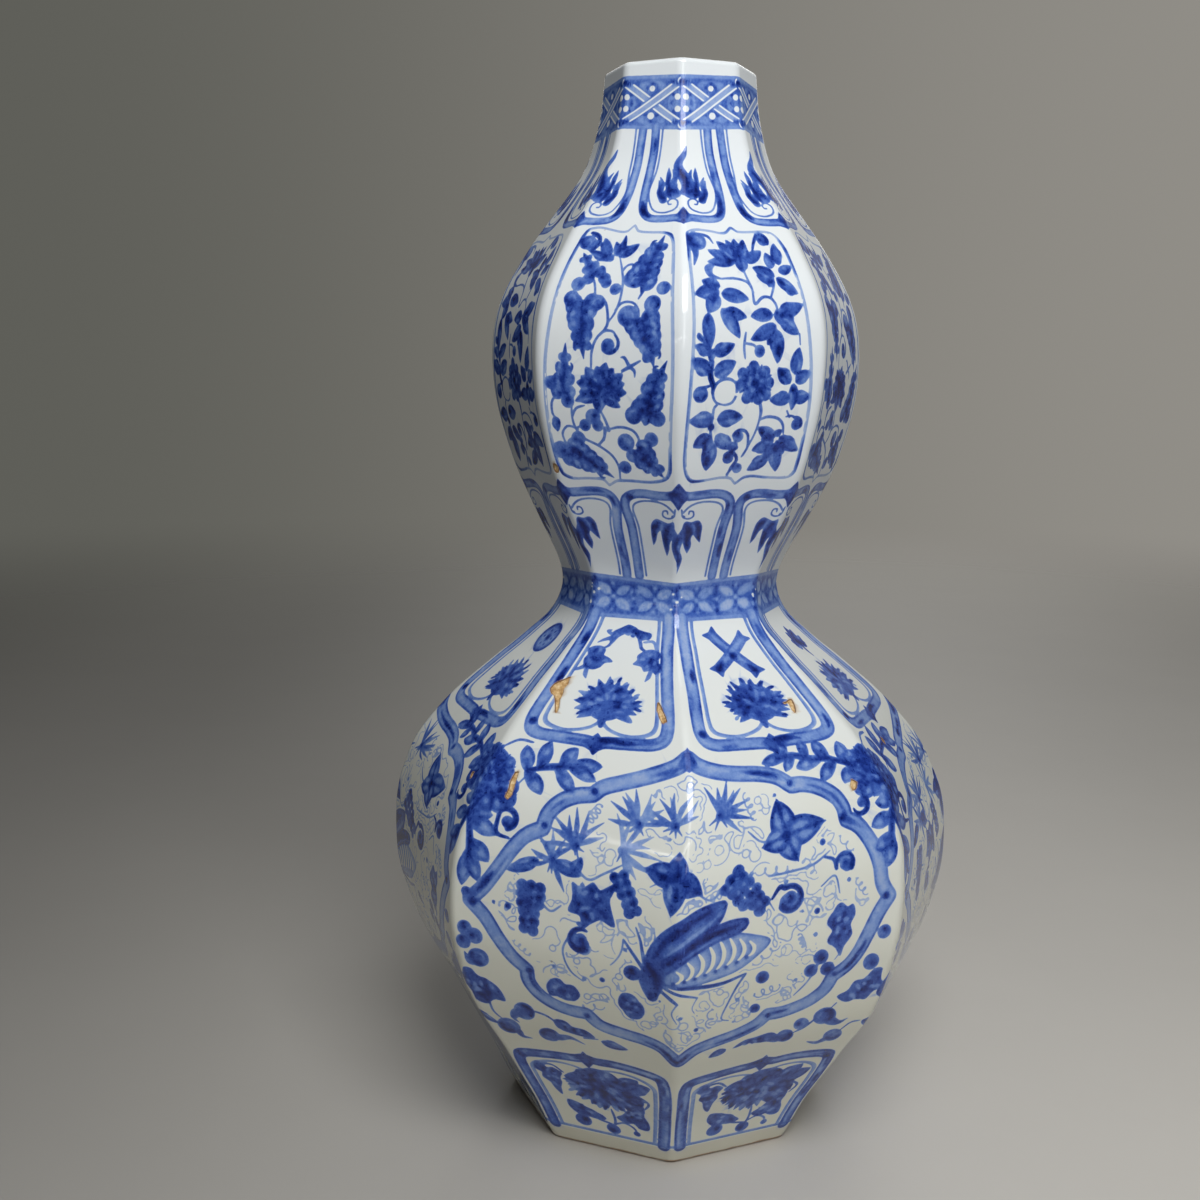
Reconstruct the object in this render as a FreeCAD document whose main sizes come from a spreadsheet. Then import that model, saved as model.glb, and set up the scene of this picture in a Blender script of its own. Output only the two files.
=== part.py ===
import FreeCAD, Part
import os
import Sketcher
from math import cos, sin, radians, pi

os.makedirs("parts", exist_ok=True)

# Octagonal double-gourd vase of press-moulded porcelain tiers luted with slip.
# Frame: origin at the centre of the foot's resting face, +Z up, one ridge faces -Y.
doc = FreeCAD.newDocument("gourd_vase")
V = FreeCAD.Vector

# ---------------------------------------------------------------- dimensions
sheet = doc.addObject("Spreadsheet::Sheet", "Dims")
row = [0]


def put(alias, value):
    row[0] += 1
    cell = "B%d" % row[0]
    sheet.set("A%d" % row[0], alias)
    sheet.set(cell, str(value))
    sheet.setAlias(cell, alias)


# heights of the luting joints, from the resting face up
put("foot_top", 6.0)
put("floor_top", 12.0)
put("seat_top", 16.0)
put("belly_joint", 82.0)
put("waist_joint", 162.0)
put("bulb_joint", 226.0)
put("neck_joint", 284.0)
put("mouth_top", 310.0)
# rounding of the eight ridges, outside and inside
put("ridge_round", 4.0)
put("inner_round", 3.0)
# foot and floor, radius across the ridges
put("foot_out_low", 47.2)
put("foot_out_top", 50.5)
put("foot_in", 39.5)
put("foot_edge", 0.8)
put("seat_radius", 45.0)
put("coil_foot_width", 4.6)
put("coil_top_width", 0.9)
# slip bands: half thickness, reach into the wall, bead standing proud inside
put("slip_half", 0.5)
put("slip_reach", 2.4)
put("slip_bead", 0.8)
put("foot_slip_in", 46.4)
put("foot_slip_out", 48.8)

# Every level of a tier: height above the resting face, radius across the ridges, wall measured level.
TIERS = {
    "lower_belly": [(6, 50.5, 5.5), (16, 55.9, 10.9), (25, 61.4, 7.2), (37, 68.6, 6.8), (48, 75.6, 6.4),
                    (58, 80.5, 5.8), (67, 83.6, 5.4), (75, 85.6, 5.2), (82, 86.1, 5.2)],
    "upper_belly": [(82, 86.1, 5.2), (90, 85.9, 5.3), (98, 84.6, 5.5), (107, 81.4, 6.0), (116, 76.7, 6.9),
                    (125, 69.4, 7.6), (133, 61.2, 8.2), (140, 52.6, 8.3), (146, 45.1, 8.0), (152, 38.0, 7.4),
                    (157, 34.3, 6.6), (162, 32.6, 6.0)],
    "lower_bulb": [(162, 32.6, 6.0), (168, 33.3, 6.0), (175, 36.3, 6.4), (183, 40.7, 6.4), (192, 45.3, 5.8),
                   (202, 49.4, 5.4), (213, 52.5, 5.0), (226, 54.3, 4.8)],
    "upper_bulb": [(226, 54.3, 4.8), (234, 54.3, 4.8), (242, 52.8, 5.1), (250, 49.6, 5.7), (257, 45.6, 6.2),
                   (264, 40.9, 6.5), (270, 36.3, 6.5), (277, 31.2, 6.2), (284, 27.0, 5.4)],
    "neck": [(284, 27.0, 5.4), (291, 24.4, 4.8), (299, 22.7, 4.4), (306, 22.0, 4.2), (310, 21.7, 4.2)],
}
JOINTS = {"lower_belly": ("foot_top", "belly_joint"), "upper_belly": ("belly_joint", "waist_joint"),
          "lower_bulb": ("waist_joint", "bulb_joint"), "upper_bulb": ("bulb_joint", "neck_joint"),
          "neck": ("neck_joint", "mouth_top")}
for tier, levels in TIERS.items():
    for i, (z, r, w) in enumerate(levels):
        put("%s_height_%02d" % (tier, i), z)
        put("%s_radius_%02d" % (tier, i), r)
        put("%s_wall_%02d" % (tier, i), w)
doc.recompute()


def val(alias):
    return float(sheet.get(alias))


# ---------------------------------------------------------------- helpers
C8 = cos(radians(22.5))
K8 = 1.0 / C8 - 1.0          # how far a unit rounding draws a ridge in from its sharp corner


def plane(body, role):
    for f in body.Origin.OriginFeatures:
        if f.Role == role:
            return f


def new_body(label, z_alias=None):
    b = doc.addObject("PartDesign::Body", label)
    b.Label = label
    if z_alias:
        b.setExpression("Placement.Base.z", "Dims.%s * 1 mm" % z_alias)
    return b


def add_octagon(sk, radius, rnd, tag, expr_r, expr_rnd):
    """Regular octagon with rounded corners, one corner towards -Y. radius is across the rounded corners."""
    apo = (radius + K8 * rnd) * C8
    first = sk.GeometryCount
    half = apo * sin(radians(22.5)) / C8 - rnd * sin(radians(22.5)) / C8
    ang = [radians(-90 + 22.5 + 45 * k) for k in range(8)]
    ends = []
    for a in ang:
        n = V(cos(a), sin(a), 0)
        t = V(-sin(a), cos(a), 0)
        ends.append((n * apo - t * half, n * apo + t * half))
    for p, q in ends:
        sk.addGeometry(Part.LineSegment(p, q), False)
    for k in range(8):
        a0, a1 = ang[k], ang[k] + radians(45)
        am = 0.5 * (a0 + a1)
        rc = (apo - rnd) / C8
        c = V(rc * cos(am), rc * sin(am), 0)
        sk.addGeometry(Part.ArcOfCircle(Part.Circle(c, V(0, 0, 1), rnd), a0, a1), False)
    sk.addGeometry(Part.Circle(V(0, 0, 0), V(0, 0, 1), apo), True)
    sk.addGeometry(Part.Circle(V(0, 0, 0), V(0, 0, 1), (apo - rnd) / C8), True)
    ring = first + 16
    con = []
    for k in range(8):
        con.append(Sketcher.Constraint("Tangent", first + k, 2, first + 8 + k, 1))
        con.append(Sketcher.Constraint("Tangent", first + 8 + k, 2, first + (k + 1) % 8, 1))
    for k in range(8):
        con.append(Sketcher.Constraint("Tangent", first + k, ring))
        if k:
            con.append(Sketcher.Constraint("Equal", first + 8, first + 8 + k))
    for k in range(8):
        con.append(Sketcher.Constraint("PointOnObject", first + 8 + k, 3, ring + 1))
    con.append(Sketcher.Constraint("Coincident", ring, 3, -1, 1))
    con.append(Sketcher.Constraint("Coincident", ring + 1, 3, -1, 1))
    con.append(Sketcher.Constraint("PointOnObject", first + 15, 3, -2))
    sk.addConstraint(con)
    i = sk.addConstraint(Sketcher.Constraint("Radius", ring, apo))
    sk.renameConstraint(i, "apothem" + tag)
    sk.setExpression("Constraints.apothem" + tag,
                     "(%s + Dims.%s * %.6f) * %.9f * 1 mm" % (expr_r, expr_rnd, K8, C8))
    j = sk.addConstraint(Sketcher.Constraint("Radius", first + 8, rnd))
    sk.renameConstraint(j, "rounding" + tag)
    sk.setExpression("Constraints.rounding" + tag, "Dims.%s * 1 mm" % expr_rnd)


def octagon_sketch(body, name, height_expr, rings):
    """Sketch parallel to the body's XY plane. rings is a list of (value, rounding value, expression, alias)."""
    sk = body.newObject("Sketcher::SketchObject", name)
    sk.AttachmentSupport = [(plane(body, "XY_Plane"), "")]
    sk.MapMode = "FlatFace"
    if height_expr:
        sk.setExpression("AttachmentOffset.Base.z", height_expr)
    for n, (value, rnd, expr, alias) in enumerate(rings):
        add_octagon(sk, value, rnd, "" if n == 0 else "_%d" % n, expr, alias)
    return sk


def loft(body, kind, name, sections):
    f = body.newObject("PartDesign::" + kind, name)
    f.Profile = (sections[0], [""])
    f.Sections = [(s, [""]) for s in sections[1:]]
    f.Ruled = False
    f.Closed = False
    return f


def pocket(body, name, sk, length_expr, upward):
    f = body.newObject("PartDesign::Pocket", name)
    f.Profile = (sk, [""])
    f.Type = 0
    f.setExpression("Length", length_expr)
    f.Reversed = bool(upward)
    return f


RO, RI = val("ridge_round"), val("inner_round")

# ---------------------------------------------------------------- the hollow tiers
bodies = []
for tier, levels in TIERS.items():
    low, high = JOINTS[tier]
    b = new_body(tier, low)
    outer, inner = [], []
    for i, (z, r, w) in enumerate(levels):
        key = "%s_%%s_%02d" % (tier, i)
        h = "(Dims.%s - Dims.%s) * 1 mm" % (key % "height", low)
        outer.append(octagon_sketch(b, "%s_out_%02d" % (tier, i), h,
                                    [(r, RO, "Dims.%s" % (key % "radius"), "ridge_round")]))
    loft(b, "AdditiveLoft", tier + "_shell", outer)
    for i, (z, r, w) in enumerate(levels):
        if tier == "lower_belly" and i == 0:
            continue                       # below the seat the wall is bored straight for the floor
        key = "%s_%%s_%02d" % (tier, i)
        h = "(Dims.%s - Dims.%s) * 1 mm" % (key % "height", low)
        inner.append(octagon_sketch(b, "%s_in_%02d" % (tier, i), h,
                                    [(r - w, RI, "(Dims.%s - Dims.%s)" % (key % "radius", key % "wall"),
                                      "inner_round")]))
    loft(b, "SubtractiveLoft", tier + "_hollow", inner)
    if tier == "lower_belly":
        # straight seat that takes the floor slab
        sk = octagon_sketch(b, "seat_outline", "", [(val("seat_radius"), RI, "Dims.seat_radius", "inner_round")])
        pocket(b, "seat", sk, "(Dims.seat_top - Dims.foot_top) * 1 mm", True)
        # scored groove for the slip under the wall
        sk = octagon_sketch(b, "foot_groove_outline", "",
                            [(val("foot_slip_out"), RI, "Dims.foot_slip_out", "inner_round"),
                             (val("foot_slip_in"), RI, "Dims.foot_slip_in", "inner_round")])
        pocket(b, "foot_groove", sk, "Dims.slip_half * 1 mm", True)
    else:
        # rebate for the slip band at the lower joint
        key = "%s_%%s_00" % tier
        e = "(Dims.%s - Dims.%s + Dims.slip_reach)" % (key % "radius", key % "wall")
        v = levels[0][1] - levels[0][2] + val("slip_reach")
        sk = octagon_sketch(b, tier + "_low_rebate_outline", "", [(v, RI, e, "inner_round")])
        pocket(b, tier + "_low_rebate", sk, "Dims.slip_half * 1 mm", True)
    if tier != "neck":
        # rebate for the slip band at the upper joint
        n = len(levels) - 1
        key = "%s_%%s_%02d" % (tier, n)
        e = "(Dims.%s - Dims.%s + Dims.slip_reach)" % (key % "radius", key % "wall")
        v = levels[n][1] - levels[n][2] + val("slip_reach")
        sk = octagon_sketch(b, tier + "_high_rebate_outline", "(Dims.%s - Dims.%s) * 1 mm" % (high, low),
                            [(v, RI, e, "inner_round")])
        pocket(b, tier + "_high_rebate", sk, "Dims.slip_half * 1 mm", False)
    bodies.append(b)

# ---------------------------------------------------------------- slip bands between the tiers
for name, tier in (("belly_slip", "upper_belly"), ("waist_slip", "lower_bulb"), ("bulb_slip", "upper_bulb"),
                   ("neck_slip", "neck")):
    low = JOINTS[tier][0]
    b = new_body(name)
    b.setExpression("Placement.Base.z", "(Dims.%s - Dims.slip_half) * 1 mm" % low)
    inner_r = "Dims.%s_radius_00 - Dims.%s_wall_00" % (tier, tier)
    r0 = TIERS[tier][0][1] - TIERS[tier][0][2]
    sk = octagon_sketch(b, name + "_outline", "",
                        [(r0 + val("slip_reach"), RI, "(%s + Dims.slip_reach)" % inner_r, "inner_round"),
                         (r0 - val("slip_bead"), RI, "(%s - Dims.slip_bead)" % inner_r, "inner_round")])
    pad = b.newObject("PartDesign::Pad", name + "_band")
    pad.Profile = (sk, [""])
    pad.setExpression("Length", "2 * Dims.slip_half * 1 mm")
    bodies.append(b)

b = new_body("foot_slip")
b.setExpression("Placement.Base.z", "(Dims.foot_top - Dims.slip_half) * 1 mm")
sk = octagon_sketch(b, "foot_slip_outline", "",
                    [(val("foot_slip_out"), RI, "Dims.foot_slip_out", "inner_round"),
                     (val("foot_slip_in"), RI, "Dims.foot_slip_in", "inner_round")])
pad = b.newObject("PartDesign::Pad", "foot_slip_band")
pad.Profile = (sk, [""])
pad.setExpression("Length", "2 * Dims.slip_half * 1 mm")
bodies.append(b)

# ---------------------------------------------------------------- foot ring
b = new_body("foot_ring")
s0 = octagon_sketch(b, "foot_low", "", [(val("foot_out_low"), RO, "Dims.foot_out_low", "ridge_round")])
s1 = octagon_sketch(b, "foot_high", "Dims.foot_top * 1 mm",
                    [(val("foot_out_top"), RO, "Dims.foot_out_top", "ridge_round")])
loft(b, "AdditiveLoft", "foot_block", [s0, s1])
sk = octagon_sketch(b, "foot_recess_outline", "", [(val("foot_in"), RI, "Dims.foot_in", "inner_round")])
pocket(b, "foot_recess", sk, "Dims.foot_top * 1 mm", True)
sk = octagon_sketch(b, "foot_top_groove_outline", "Dims.foot_top * 1 mm",
                    [(val("foot_slip_out"), RI, "Dims.foot_slip_out", "inner_round"),
                     (val("foot_slip_in"), RI, "Dims.foot_slip_in", "inner_round")])
pocket(b, "foot_top_groove", sk, "Dims.slip_half * 1 mm", False)
bodies.append(b)
doc.recompute()
# trimmed bottom edge of the foot, outside and inside
tip = b.Tip
edges = []
for i, e in enumerate(tip.Shape.Edges, 1):
    bb = e.BoundBox
    if abs(bb.ZMin) < 1e-6 and abs(bb.ZMax) < 1e-6:
        edges.append("Edge%d" % i)
ch = b.newObject("PartDesign::Chamfer", "foot_edge_trim")
ch.Base = (tip, edges)
ch.setExpression("Size", "Dims.foot_edge * 1 mm")

# ---------------------------------------------------------------- floor
b = new_body("floor_slab", "foot_top")
sk = octagon_sketch(b, "floor_outline", "", [(val("seat_radius"), RI, "Dims.seat_radius", "inner_round")])
pad = b.newObject("PartDesign::Pad", "floor_plate")
pad.Profile = (sk, [""])
pad.setExpression("Length", "(Dims.floor_top - Dims.foot_top) * 1 mm")
bodies.append(b)

# coil of clay worked into the angle between floor and wall
b = new_body("floor_slip", "floor_top")
sk = octagon_sketch(b, "coil_outline", "", [(val("seat_radius"), RI, "Dims.seat_radius", "inner_round")])
pad = b.newObject("PartDesign::Pad", "coil_block")
pad.Profile = (sk, [""])
pad.setExpression("Length", "(Dims.seat_top - Dims.floor_top) * 1 mm")
s0 = octagon_sketch(b, "coil_low", "",
                    [(val("seat_radius") - val("coil_foot_width"), RI,
                      "(Dims.seat_radius - Dims.coil_foot_width)", "inner_round")])
s1 = octagon_sketch(b, "coil_high", "(Dims.seat_top - Dims.floor_top) * 1 mm",
                    [(val("seat_radius") - val("coil_top_width"), RI,
                      "(Dims.seat_radius - Dims.coil_top_width)", "inner_round")])
loft(b, "SubtractiveLoft", "coil_slope", [s0, s1])
bodies.append(b)

doc.recompute()

# soften the mouth rim, outside and inside
neck = [x for x in bodies if x.Label == "neck"][0]
tip = neck.Tip
top = val("mouth_top") - val("neck_joint")
edges = []
for i, e in enumerate(tip.Shape.Edges, 1):
    bb = e.BoundBox
    if abs(bb.ZMin - bb.ZMax) < 1e-4 and abs(bb.ZMax - tip.Shape.BoundBox.ZMax) < 1e-4:
        edges.append("Edge%d" % i)
put("rim_round", 1.4)
doc.recompute()
fl = neck.newObject("PartDesign::Fillet", "rim_rounding")
fl.Base = (tip, edges)
fl.setExpression("Radius", "Dims.rim_round * 1 mm")
doc.recompute()

# ---------------------------------------------------------------- checks and export
for o in doc.Objects:
    bad = [s for s in o.State if s in ("Invalid", "Error")]
    if bad:
        raise RuntimeError("%s is %s" % (o.Name, o.State))
for b in bodies:
    s = b.Shape
    if s.isNull() or not s.isValid() or len(s.Solids) != 1:
        raise RuntimeError("bad shape: %s solids %d" % (b.Label, len(s.Solids)))
for b in bodies:
    bb = b.Shape.BoundBox
    print("%-14s volume %10.1f mm3  z %.2f..%.2f  x %.2f..%.2f" % (b.Label, b.Shape.Volume, bb.ZMin, bb.ZMax,
                                                                  bb.XMin, bb.XMax))
    b.Shape.exportStep("parts/%s.step" % b.Label)
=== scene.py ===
import math
import bpy
import numpy as np
from mathutils import Matrix, Vector
from mathutils.geometry import delaunay_2d_cdt


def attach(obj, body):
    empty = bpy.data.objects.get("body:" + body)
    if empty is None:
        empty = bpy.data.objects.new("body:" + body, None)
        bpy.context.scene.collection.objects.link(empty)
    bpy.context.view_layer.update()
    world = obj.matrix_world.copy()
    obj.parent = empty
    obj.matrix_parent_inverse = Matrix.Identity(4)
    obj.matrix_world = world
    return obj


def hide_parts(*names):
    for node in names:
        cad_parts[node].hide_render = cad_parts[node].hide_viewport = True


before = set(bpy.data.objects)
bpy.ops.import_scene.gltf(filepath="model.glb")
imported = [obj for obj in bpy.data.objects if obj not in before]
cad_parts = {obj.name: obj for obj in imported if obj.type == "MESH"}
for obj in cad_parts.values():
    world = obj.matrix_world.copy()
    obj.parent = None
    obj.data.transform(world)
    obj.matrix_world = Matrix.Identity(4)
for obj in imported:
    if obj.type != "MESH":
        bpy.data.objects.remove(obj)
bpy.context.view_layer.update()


# ------------------------------------------------------------------ shape of the vase (mm)
# ridge radius over height, and the small sideways drift and twist of a hand-pressed body
PZ = [0, 5, 14, 25, 37, 48, 58, 67, 75, 83, 91, 99, 107, 115, 123, 130, 136, 141, 145, 149, 152, 155, 158, 162,
      167, 173, 180, 188, 197, 206, 215, 224, 233, 242, 250, 257, 263, 269, 275, 282, 290, 299, 306, 310]
PR = [47.2, 49.9, 54.4, 61.0, 68.4, 75.6, 80.3, 83.2, 85.0, 85.5, 85.3, 84.1, 81.3, 77.4, 71.1, 64.4, 57.4, 51.3,
      46.15, 41.4, 37.9, 35.3, 33.7, 32.55, 32.95, 35.3, 39.1, 43.2, 47.4, 50.5, 52.9, 54.1, 54.2, 52.8, 49.6,
      45.5, 41.6, 37.1, 32.5, 27.75, 24.7, 22.7, 21.95, 21.65]
WZ = [0, 20, 45, 70, 95, 120, 145, 165, 190, 220, 250, 280, 310]
WX = [-0.30, -0.01, 1.0, 0.45, 0.3, -0.6, -0.85, -0.7, 0.1, -0.05, -0.3, -0.15, 0.0]
WA = [1.9, 1.4, 0.1, 0.1, 1.0, 3.1, 2.5, 1.7, 0.1, 0.1, 0.8, 0.4, -0.9]
RND = 4.0
C8 = math.cos(math.radians(22.5))
T8 = math.tan(math.radians(22.5))
K8 = 1.0 / C8 - 1.0
TOP = 310.0


def spline(xs, ys):
    """Natural cubic spline through the points, as a function of arrays."""
    x = np.array(xs, float)
    y = np.array(ys, float)
    n = len(x)
    h = np.diff(x)
    A = np.zeros((n, n))
    b = np.zeros(n)
    A[0, 0] = A[-1, -1] = 1.0
    for i in range(1, n - 1):
        A[i, i - 1], A[i, i], A[i, i + 1] = h[i - 1], 2 * (h[i - 1] + h[i]), h[i]
        b[i] = 6 * ((y[i + 1] - y[i]) / h[i] - (y[i] - y[i - 1]) / h[i - 1])
    m = np.linalg.solve(A, b)

    def f(q):
        q = np.asarray(q, float)
        i = np.clip(np.searchsorted(x, q, side="right") - 1, 0, n - 2)
        a = (x[i + 1] - q) / h[i]
        c = (q - x[i]) / h[i]
        return a * y[i] + c * y[i + 1] + ((a ** 3 - a) * m[i] + (c ** 3 - c) * m[i + 1]) * h[i] ** 2 / 6
    return f


RADIUS = spline(PZ, PR)
DRIFT = spline(WZ, WX)
TWIST = spline(WZ, WA)
_z = np.linspace(0, TOP, 3101)
_ap = (RADIUS(_z) + K8 * RND) * C8
_arc = np.concatenate([[0], np.cumsum(np.hypot(np.diff(_z), np.diff(_ap)))])
VTOP = float(_arc[-1])


def v_of_z(z):
    return np.interp(z, _z, _arc)


def z_of_v(v):
    return np.interp(v, _arc, _z)


def facet(z, radius=None, rnd=RND):
    """apothem, half of the flat, width along the surface from ridge to ridge."""
    r = RADIUS(z) if radius is None else radius
    a = (r + K8 * rnd) * C8
    flat = (a - rnd) * T8
    return a, flat, 2 * flat + rnd * math.pi / 4


_s = facet(_z)[2]


def width(v):
    return np.interp(v, _arc, _s)


def place(t, z, radius=None, rnd=RND, z_out=None):
    """Point of a rounded octagon: t counts facets from the ridge at the front (-Y) towards +X."""
    t = np.asarray(t, float)
    z = np.asarray(z, float)
    a, flat, S = facet(z, radius, rnd)
    k = np.floor(t)
    s = (t - k - 0.5) * S
    ang = np.radians(-90 + 45 * k + 22.5) + np.radians(TWIST(z))
    e = np.abs(s) - flat
    th = np.clip(e, 0, None) / rnd
    xn = np.where(e <= 0, a, (a - rnd) + rnd * np.cos(th))
    xt = np.where(e <= 0, s, np.sign(s) * (flat + rnd * np.sin(th)))
    X = xn * np.cos(ang) - xt * np.sin(ang) + DRIFT(z)
    Y = xn * np.sin(ang) + xt * np.cos(ang)
    return np.stack([X, Y, (z if z_out is None else np.asarray(z_out, float)) + 0 * X], -1)


# ------------------------------------------------------------------ the painted field
# One ink-density field unrolled over the outside: columns run round the vase, rows up its profile.
PX = 448
DV = 0.12
NF = 8
PAD = 560
COLS = NF * PX
ROWS = int(VTOP / DV) + 2
INK = np.zeros((ROWS, COLS + 2 * PAD), np.float32)
CHIP = np.zeros((ROWS, COLS + 2 * PAD), np.float32)
T_LEFT = -4.0
ROW_S = width(np.arange(ROWS) * DV)


class Pen:
    """A local drawing frame, in mm, on the unrolled surface. x runs along the facet from t0, y up the profile."""

    def __init__(self, t0, v0=0.0, seed=0, m=None, rng=None, field=None):
        self.t0 = t0
        self.v0 = v0
        self.m = np.eye(3) if m is None else m
        self.rng = np.random.default_rng(seed) if rng is None else rng
        self.field = INK if field is None else field
        self.dip = None

    def at(self, x, y, ang=0.0, s=1.0, flip=False, sy=None):
        c, d = math.cos(math.radians(ang)), math.sin(math.radians(ang))
        sx = -s if flip else s
        q = s if sy is None else sy
        m = np.array([[c * sx, -d * q, x], [d * sx, c * q, y], [0, 0, 1.0]])
        return Pen(self.t0, self.v0, m=self.m @ m, rng=self.rng, field=self.field)

    def scale(self):
        return math.sqrt(abs(np.linalg.det(self.m[:2, :2])))

    def cells(self, P):
        P = np.asarray(P, float)
        q = P @ self.m[:2, :2].T + self.m[:2, 2]
        v = self.v0 + q[:, 1]
        t = self.t0 + q[:, 0] / width(v)
        if self.dip:
            v = v - self.dip(t, v)
        return (t - T_LEFT) * PX + PAD, v / DV

    def wob(self, a):
        return self.rng.uniform(-a, a)

    # ---- areas
    def fill(self, P, tone=0.58, mode="max"):
        c, r = self.cells(P)
        x0, y0 = int(math.floor(c.min())) - 1, int(math.floor(r.min())) - 1
        x1, y1 = int(math.ceil(c.max())) + 2, int(math.ceil(r.max())) + 2
        y0, y1 = max(y0, 0), min(y1, ROWS)
        x0, x1 = max(x0, 0), min(x1, self.field.shape[1])
        if x1 - x0 < 2 or y1 - y0 < 2:
            return
        c = c - x0
        r = r - y0
        h, w = y1 - y0, x1 - x0
        c2, r2 = np.roll(c, -1), np.roll(r, -1)
        lo = np.ceil(np.minimum(r, r2) - 0.5).astype(int)
        hi = np.ceil(np.maximum(r, r2) - 0.5).astype(int)
        n = hi - lo
        idx = np.repeat(np.arange(len(c)), n)
        if not len(idx):
            return
        start = np.repeat(np.cumsum(n) - n, n)
        row = lo[idx] + np.arange(len(idx)) - start
        den = (r2 - r)
        den = np.where(np.abs(den) < 1e-9, 1e-9, den)
        xc = c[idx] + (row + 0.5 - r[idx]) * (c2[idx] - c[idx]) / den[idx]
        col = np.clip(np.ceil(xc - 0.5).astype(int), 0, w)
        ok = (row >= 0) & (row < h)
        tog = np.zeros((h, w + 1), np.int32)
        np.add.at(tog, (row[ok], col[ok]), 1)
        mask = (np.cumsum(tog, 1)[:, :w] & 1).astype(np.float32)
        self._lay(mask, x0, y0, tone, mode)

    def _lay(self, mask, x0, y0, tone, mode):
        h, w = mask.shape
        A = self.field[y0:y0 + h, x0:x0 + w]
        if mode == "max":
            np.maximum(A, mask * tone, out=A)
        elif mode == "over":
            A *= (1 - mask)
            A += mask * tone
        elif mode == "erase":
            A *= (1 - mask * tone)
        elif mode == "deepen":
            A += mask * tone * (1 - A) * (A > 0.05)
        else:
            A += mask * tone * (1 - A)

    # ---- lines
    def line(self, P, w=0.5, tone=0.85, mode="max", taper=(1.0, 1.0), closed=False, smooth=True, step=None):
        """Brush line along the points. w is the full width in mm, a number or one per point."""
        P = np.asarray(P, float)
        if closed:
            P = np.vstack([P, P[:1]])
        n = len(P)
        if np.isscalar(w):
            W = np.full(n, float(w))
        else:
            W = np.array(list(w) + ([w[0]] if closed else []), float)
        if smooth and n > 2:
            P, W = curve(P, W, closed, step=step)
            n = len(P)
        u = np.linspace(0, 1, n)
        e = 0.28
        if taper[0] < 1:
            W = W * np.where(u < e, taper[0] + (1 - taper[0]) * np.sin(u / e * math.pi / 2), 1)
        if taper[1] < 1:
            W = W * np.where(u > 1 - e, taper[1] + (1 - taper[1]) * np.sin((1 - u) / e * math.pi / 2), 1)
        c, r = self.cells(P)
        W = W * 0.5 * self.scale()
        sy = DV
        x0 = int(math.floor(c.min())) - 2
        y0 = int(math.floor(r.min())) - 2
        rr = np.clip(r.astype(int), 0, ROWS - 1)
        sxs = ROW_S[rr] / PX
        mg = W.max() + 0.2
        x0 -= int(mg / sxs.min()) + 1
        y0 -= int(mg / sy) + 1
        x1 = int(math.ceil(c.max() + mg / sxs.min())) + 3
        y1 = int(math.ceil(r.max() + mg / sy)) + 3
        y0, y1 = max(y0, 0), min(y1, ROWS)
        x0, x1 = max(x0, 0), min(x1, self.field.shape[1])
        if x1 - x0 < 2 or y1 - y0 < 2:
            return
        mask = np.zeros((y1 - y0, x1 - x0), np.float32)
        for i in range(n - 1):
            sx = 0.5 * (sxs[i] + sxs[i + 1])
            m = max(W[i], W[i + 1]) + 0.15
            a0 = max(int(min(c[i], c[i + 1]) - m / sx) - x0, 0)
            a1 = min(int(max(c[i], c[i + 1]) + m / sx) + 2 - x0, x1 - x0)
            b0 = max(int(min(r[i], r[i + 1]) - m / sy) - y0, 0)
            b1 = min(int(max(r[i], r[i + 1]) + m / sy) + 2 - y0, y1 - y0)
            if a1 <= a0 or b1 <= b0:
                continue
            X = ((np.arange(a0, a1) + x0 + 0.5 - c[i]) * sx)[None, :]
            Y = ((np.arange(b0, b1) + y0 + 0.5 - r[i]) * sy)[:, None]
            dx, dy = (c[i + 1] - c[i]) * sx, (r[i + 1] - r[i]) * sy
            L2 = dx * dx + dy * dy + 1e-12
            q = np.clip((X * dx + Y * dy) / L2, 0, 1)
            dist = np.sqrt((X - q * dx) ** 2 + (Y - q * dy) ** 2)
            ww = W[i] + (W[i + 1] - W[i]) * q
            v = np.clip((ww - dist) / 0.12 + 0.5, 0, 1)
            S = mask[b0:b1, a0:a1]
            np.maximum(S, v, out=S)
        self._lay(mask, x0, y0, tone, mode)

    def disc(self, x, y, r, tone=0.58, mode="max", ry=None, ang=0.0, n=22):
        a = np.linspace(0, 2 * math.pi, n, endpoint=False)
        ry = r if ry is None else ry
        c, d = math.cos(math.radians(ang)), math.sin(math.radians(ang))
        px, py = r * np.cos(a), ry * np.sin(a)
        self.fill(np.stack([x + px * c - py * d, y + px * d + py * c], -1), tone, mode)


def curve(P, W=None, closed=False, step=None):
    """Centripetal-like smooth curve through the points (Catmull-Rom), evenly divided."""
    P = np.asarray(P, float)
    n = len(P)
    if closed:
        Q = np.vstack([P[-2], P, P[1]])
    else:
        Q = np.vstack([2 * P[0] - P[1], P, 2 * P[-1] - P[-2]])
    out = []
    wo = []
    seg = np.hypot(*np.diff(P, axis=0).T)
    for i in range(n - 1):
        k = int(max(2, min(24, round(seg[i] / (step or max(0.45, min(1.2, seg.mean() / 5)))))))
        u = np.arange(k) / k
        a, b, c, d = Q[i], Q[i + 1], Q[i + 2], Q[i + 3]
        u = u[:, None]
        out.append(0.5 * ((2 * b) + (c - a) * u + (2 * a - 5 * b + 4 * c - d) * u ** 2 + (3 * b - a - 3 * c + d) * u ** 3))
        if W is not None:
            wo.append(W[i] + (W[i + 1] - W[i]) * u[:, 0])
    out.append(P[-1:])
    R = np.vstack(out)
    if W is None:
        return R
    wo.append(W[-1:])
    return R, np.concatenate(wo)

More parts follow.
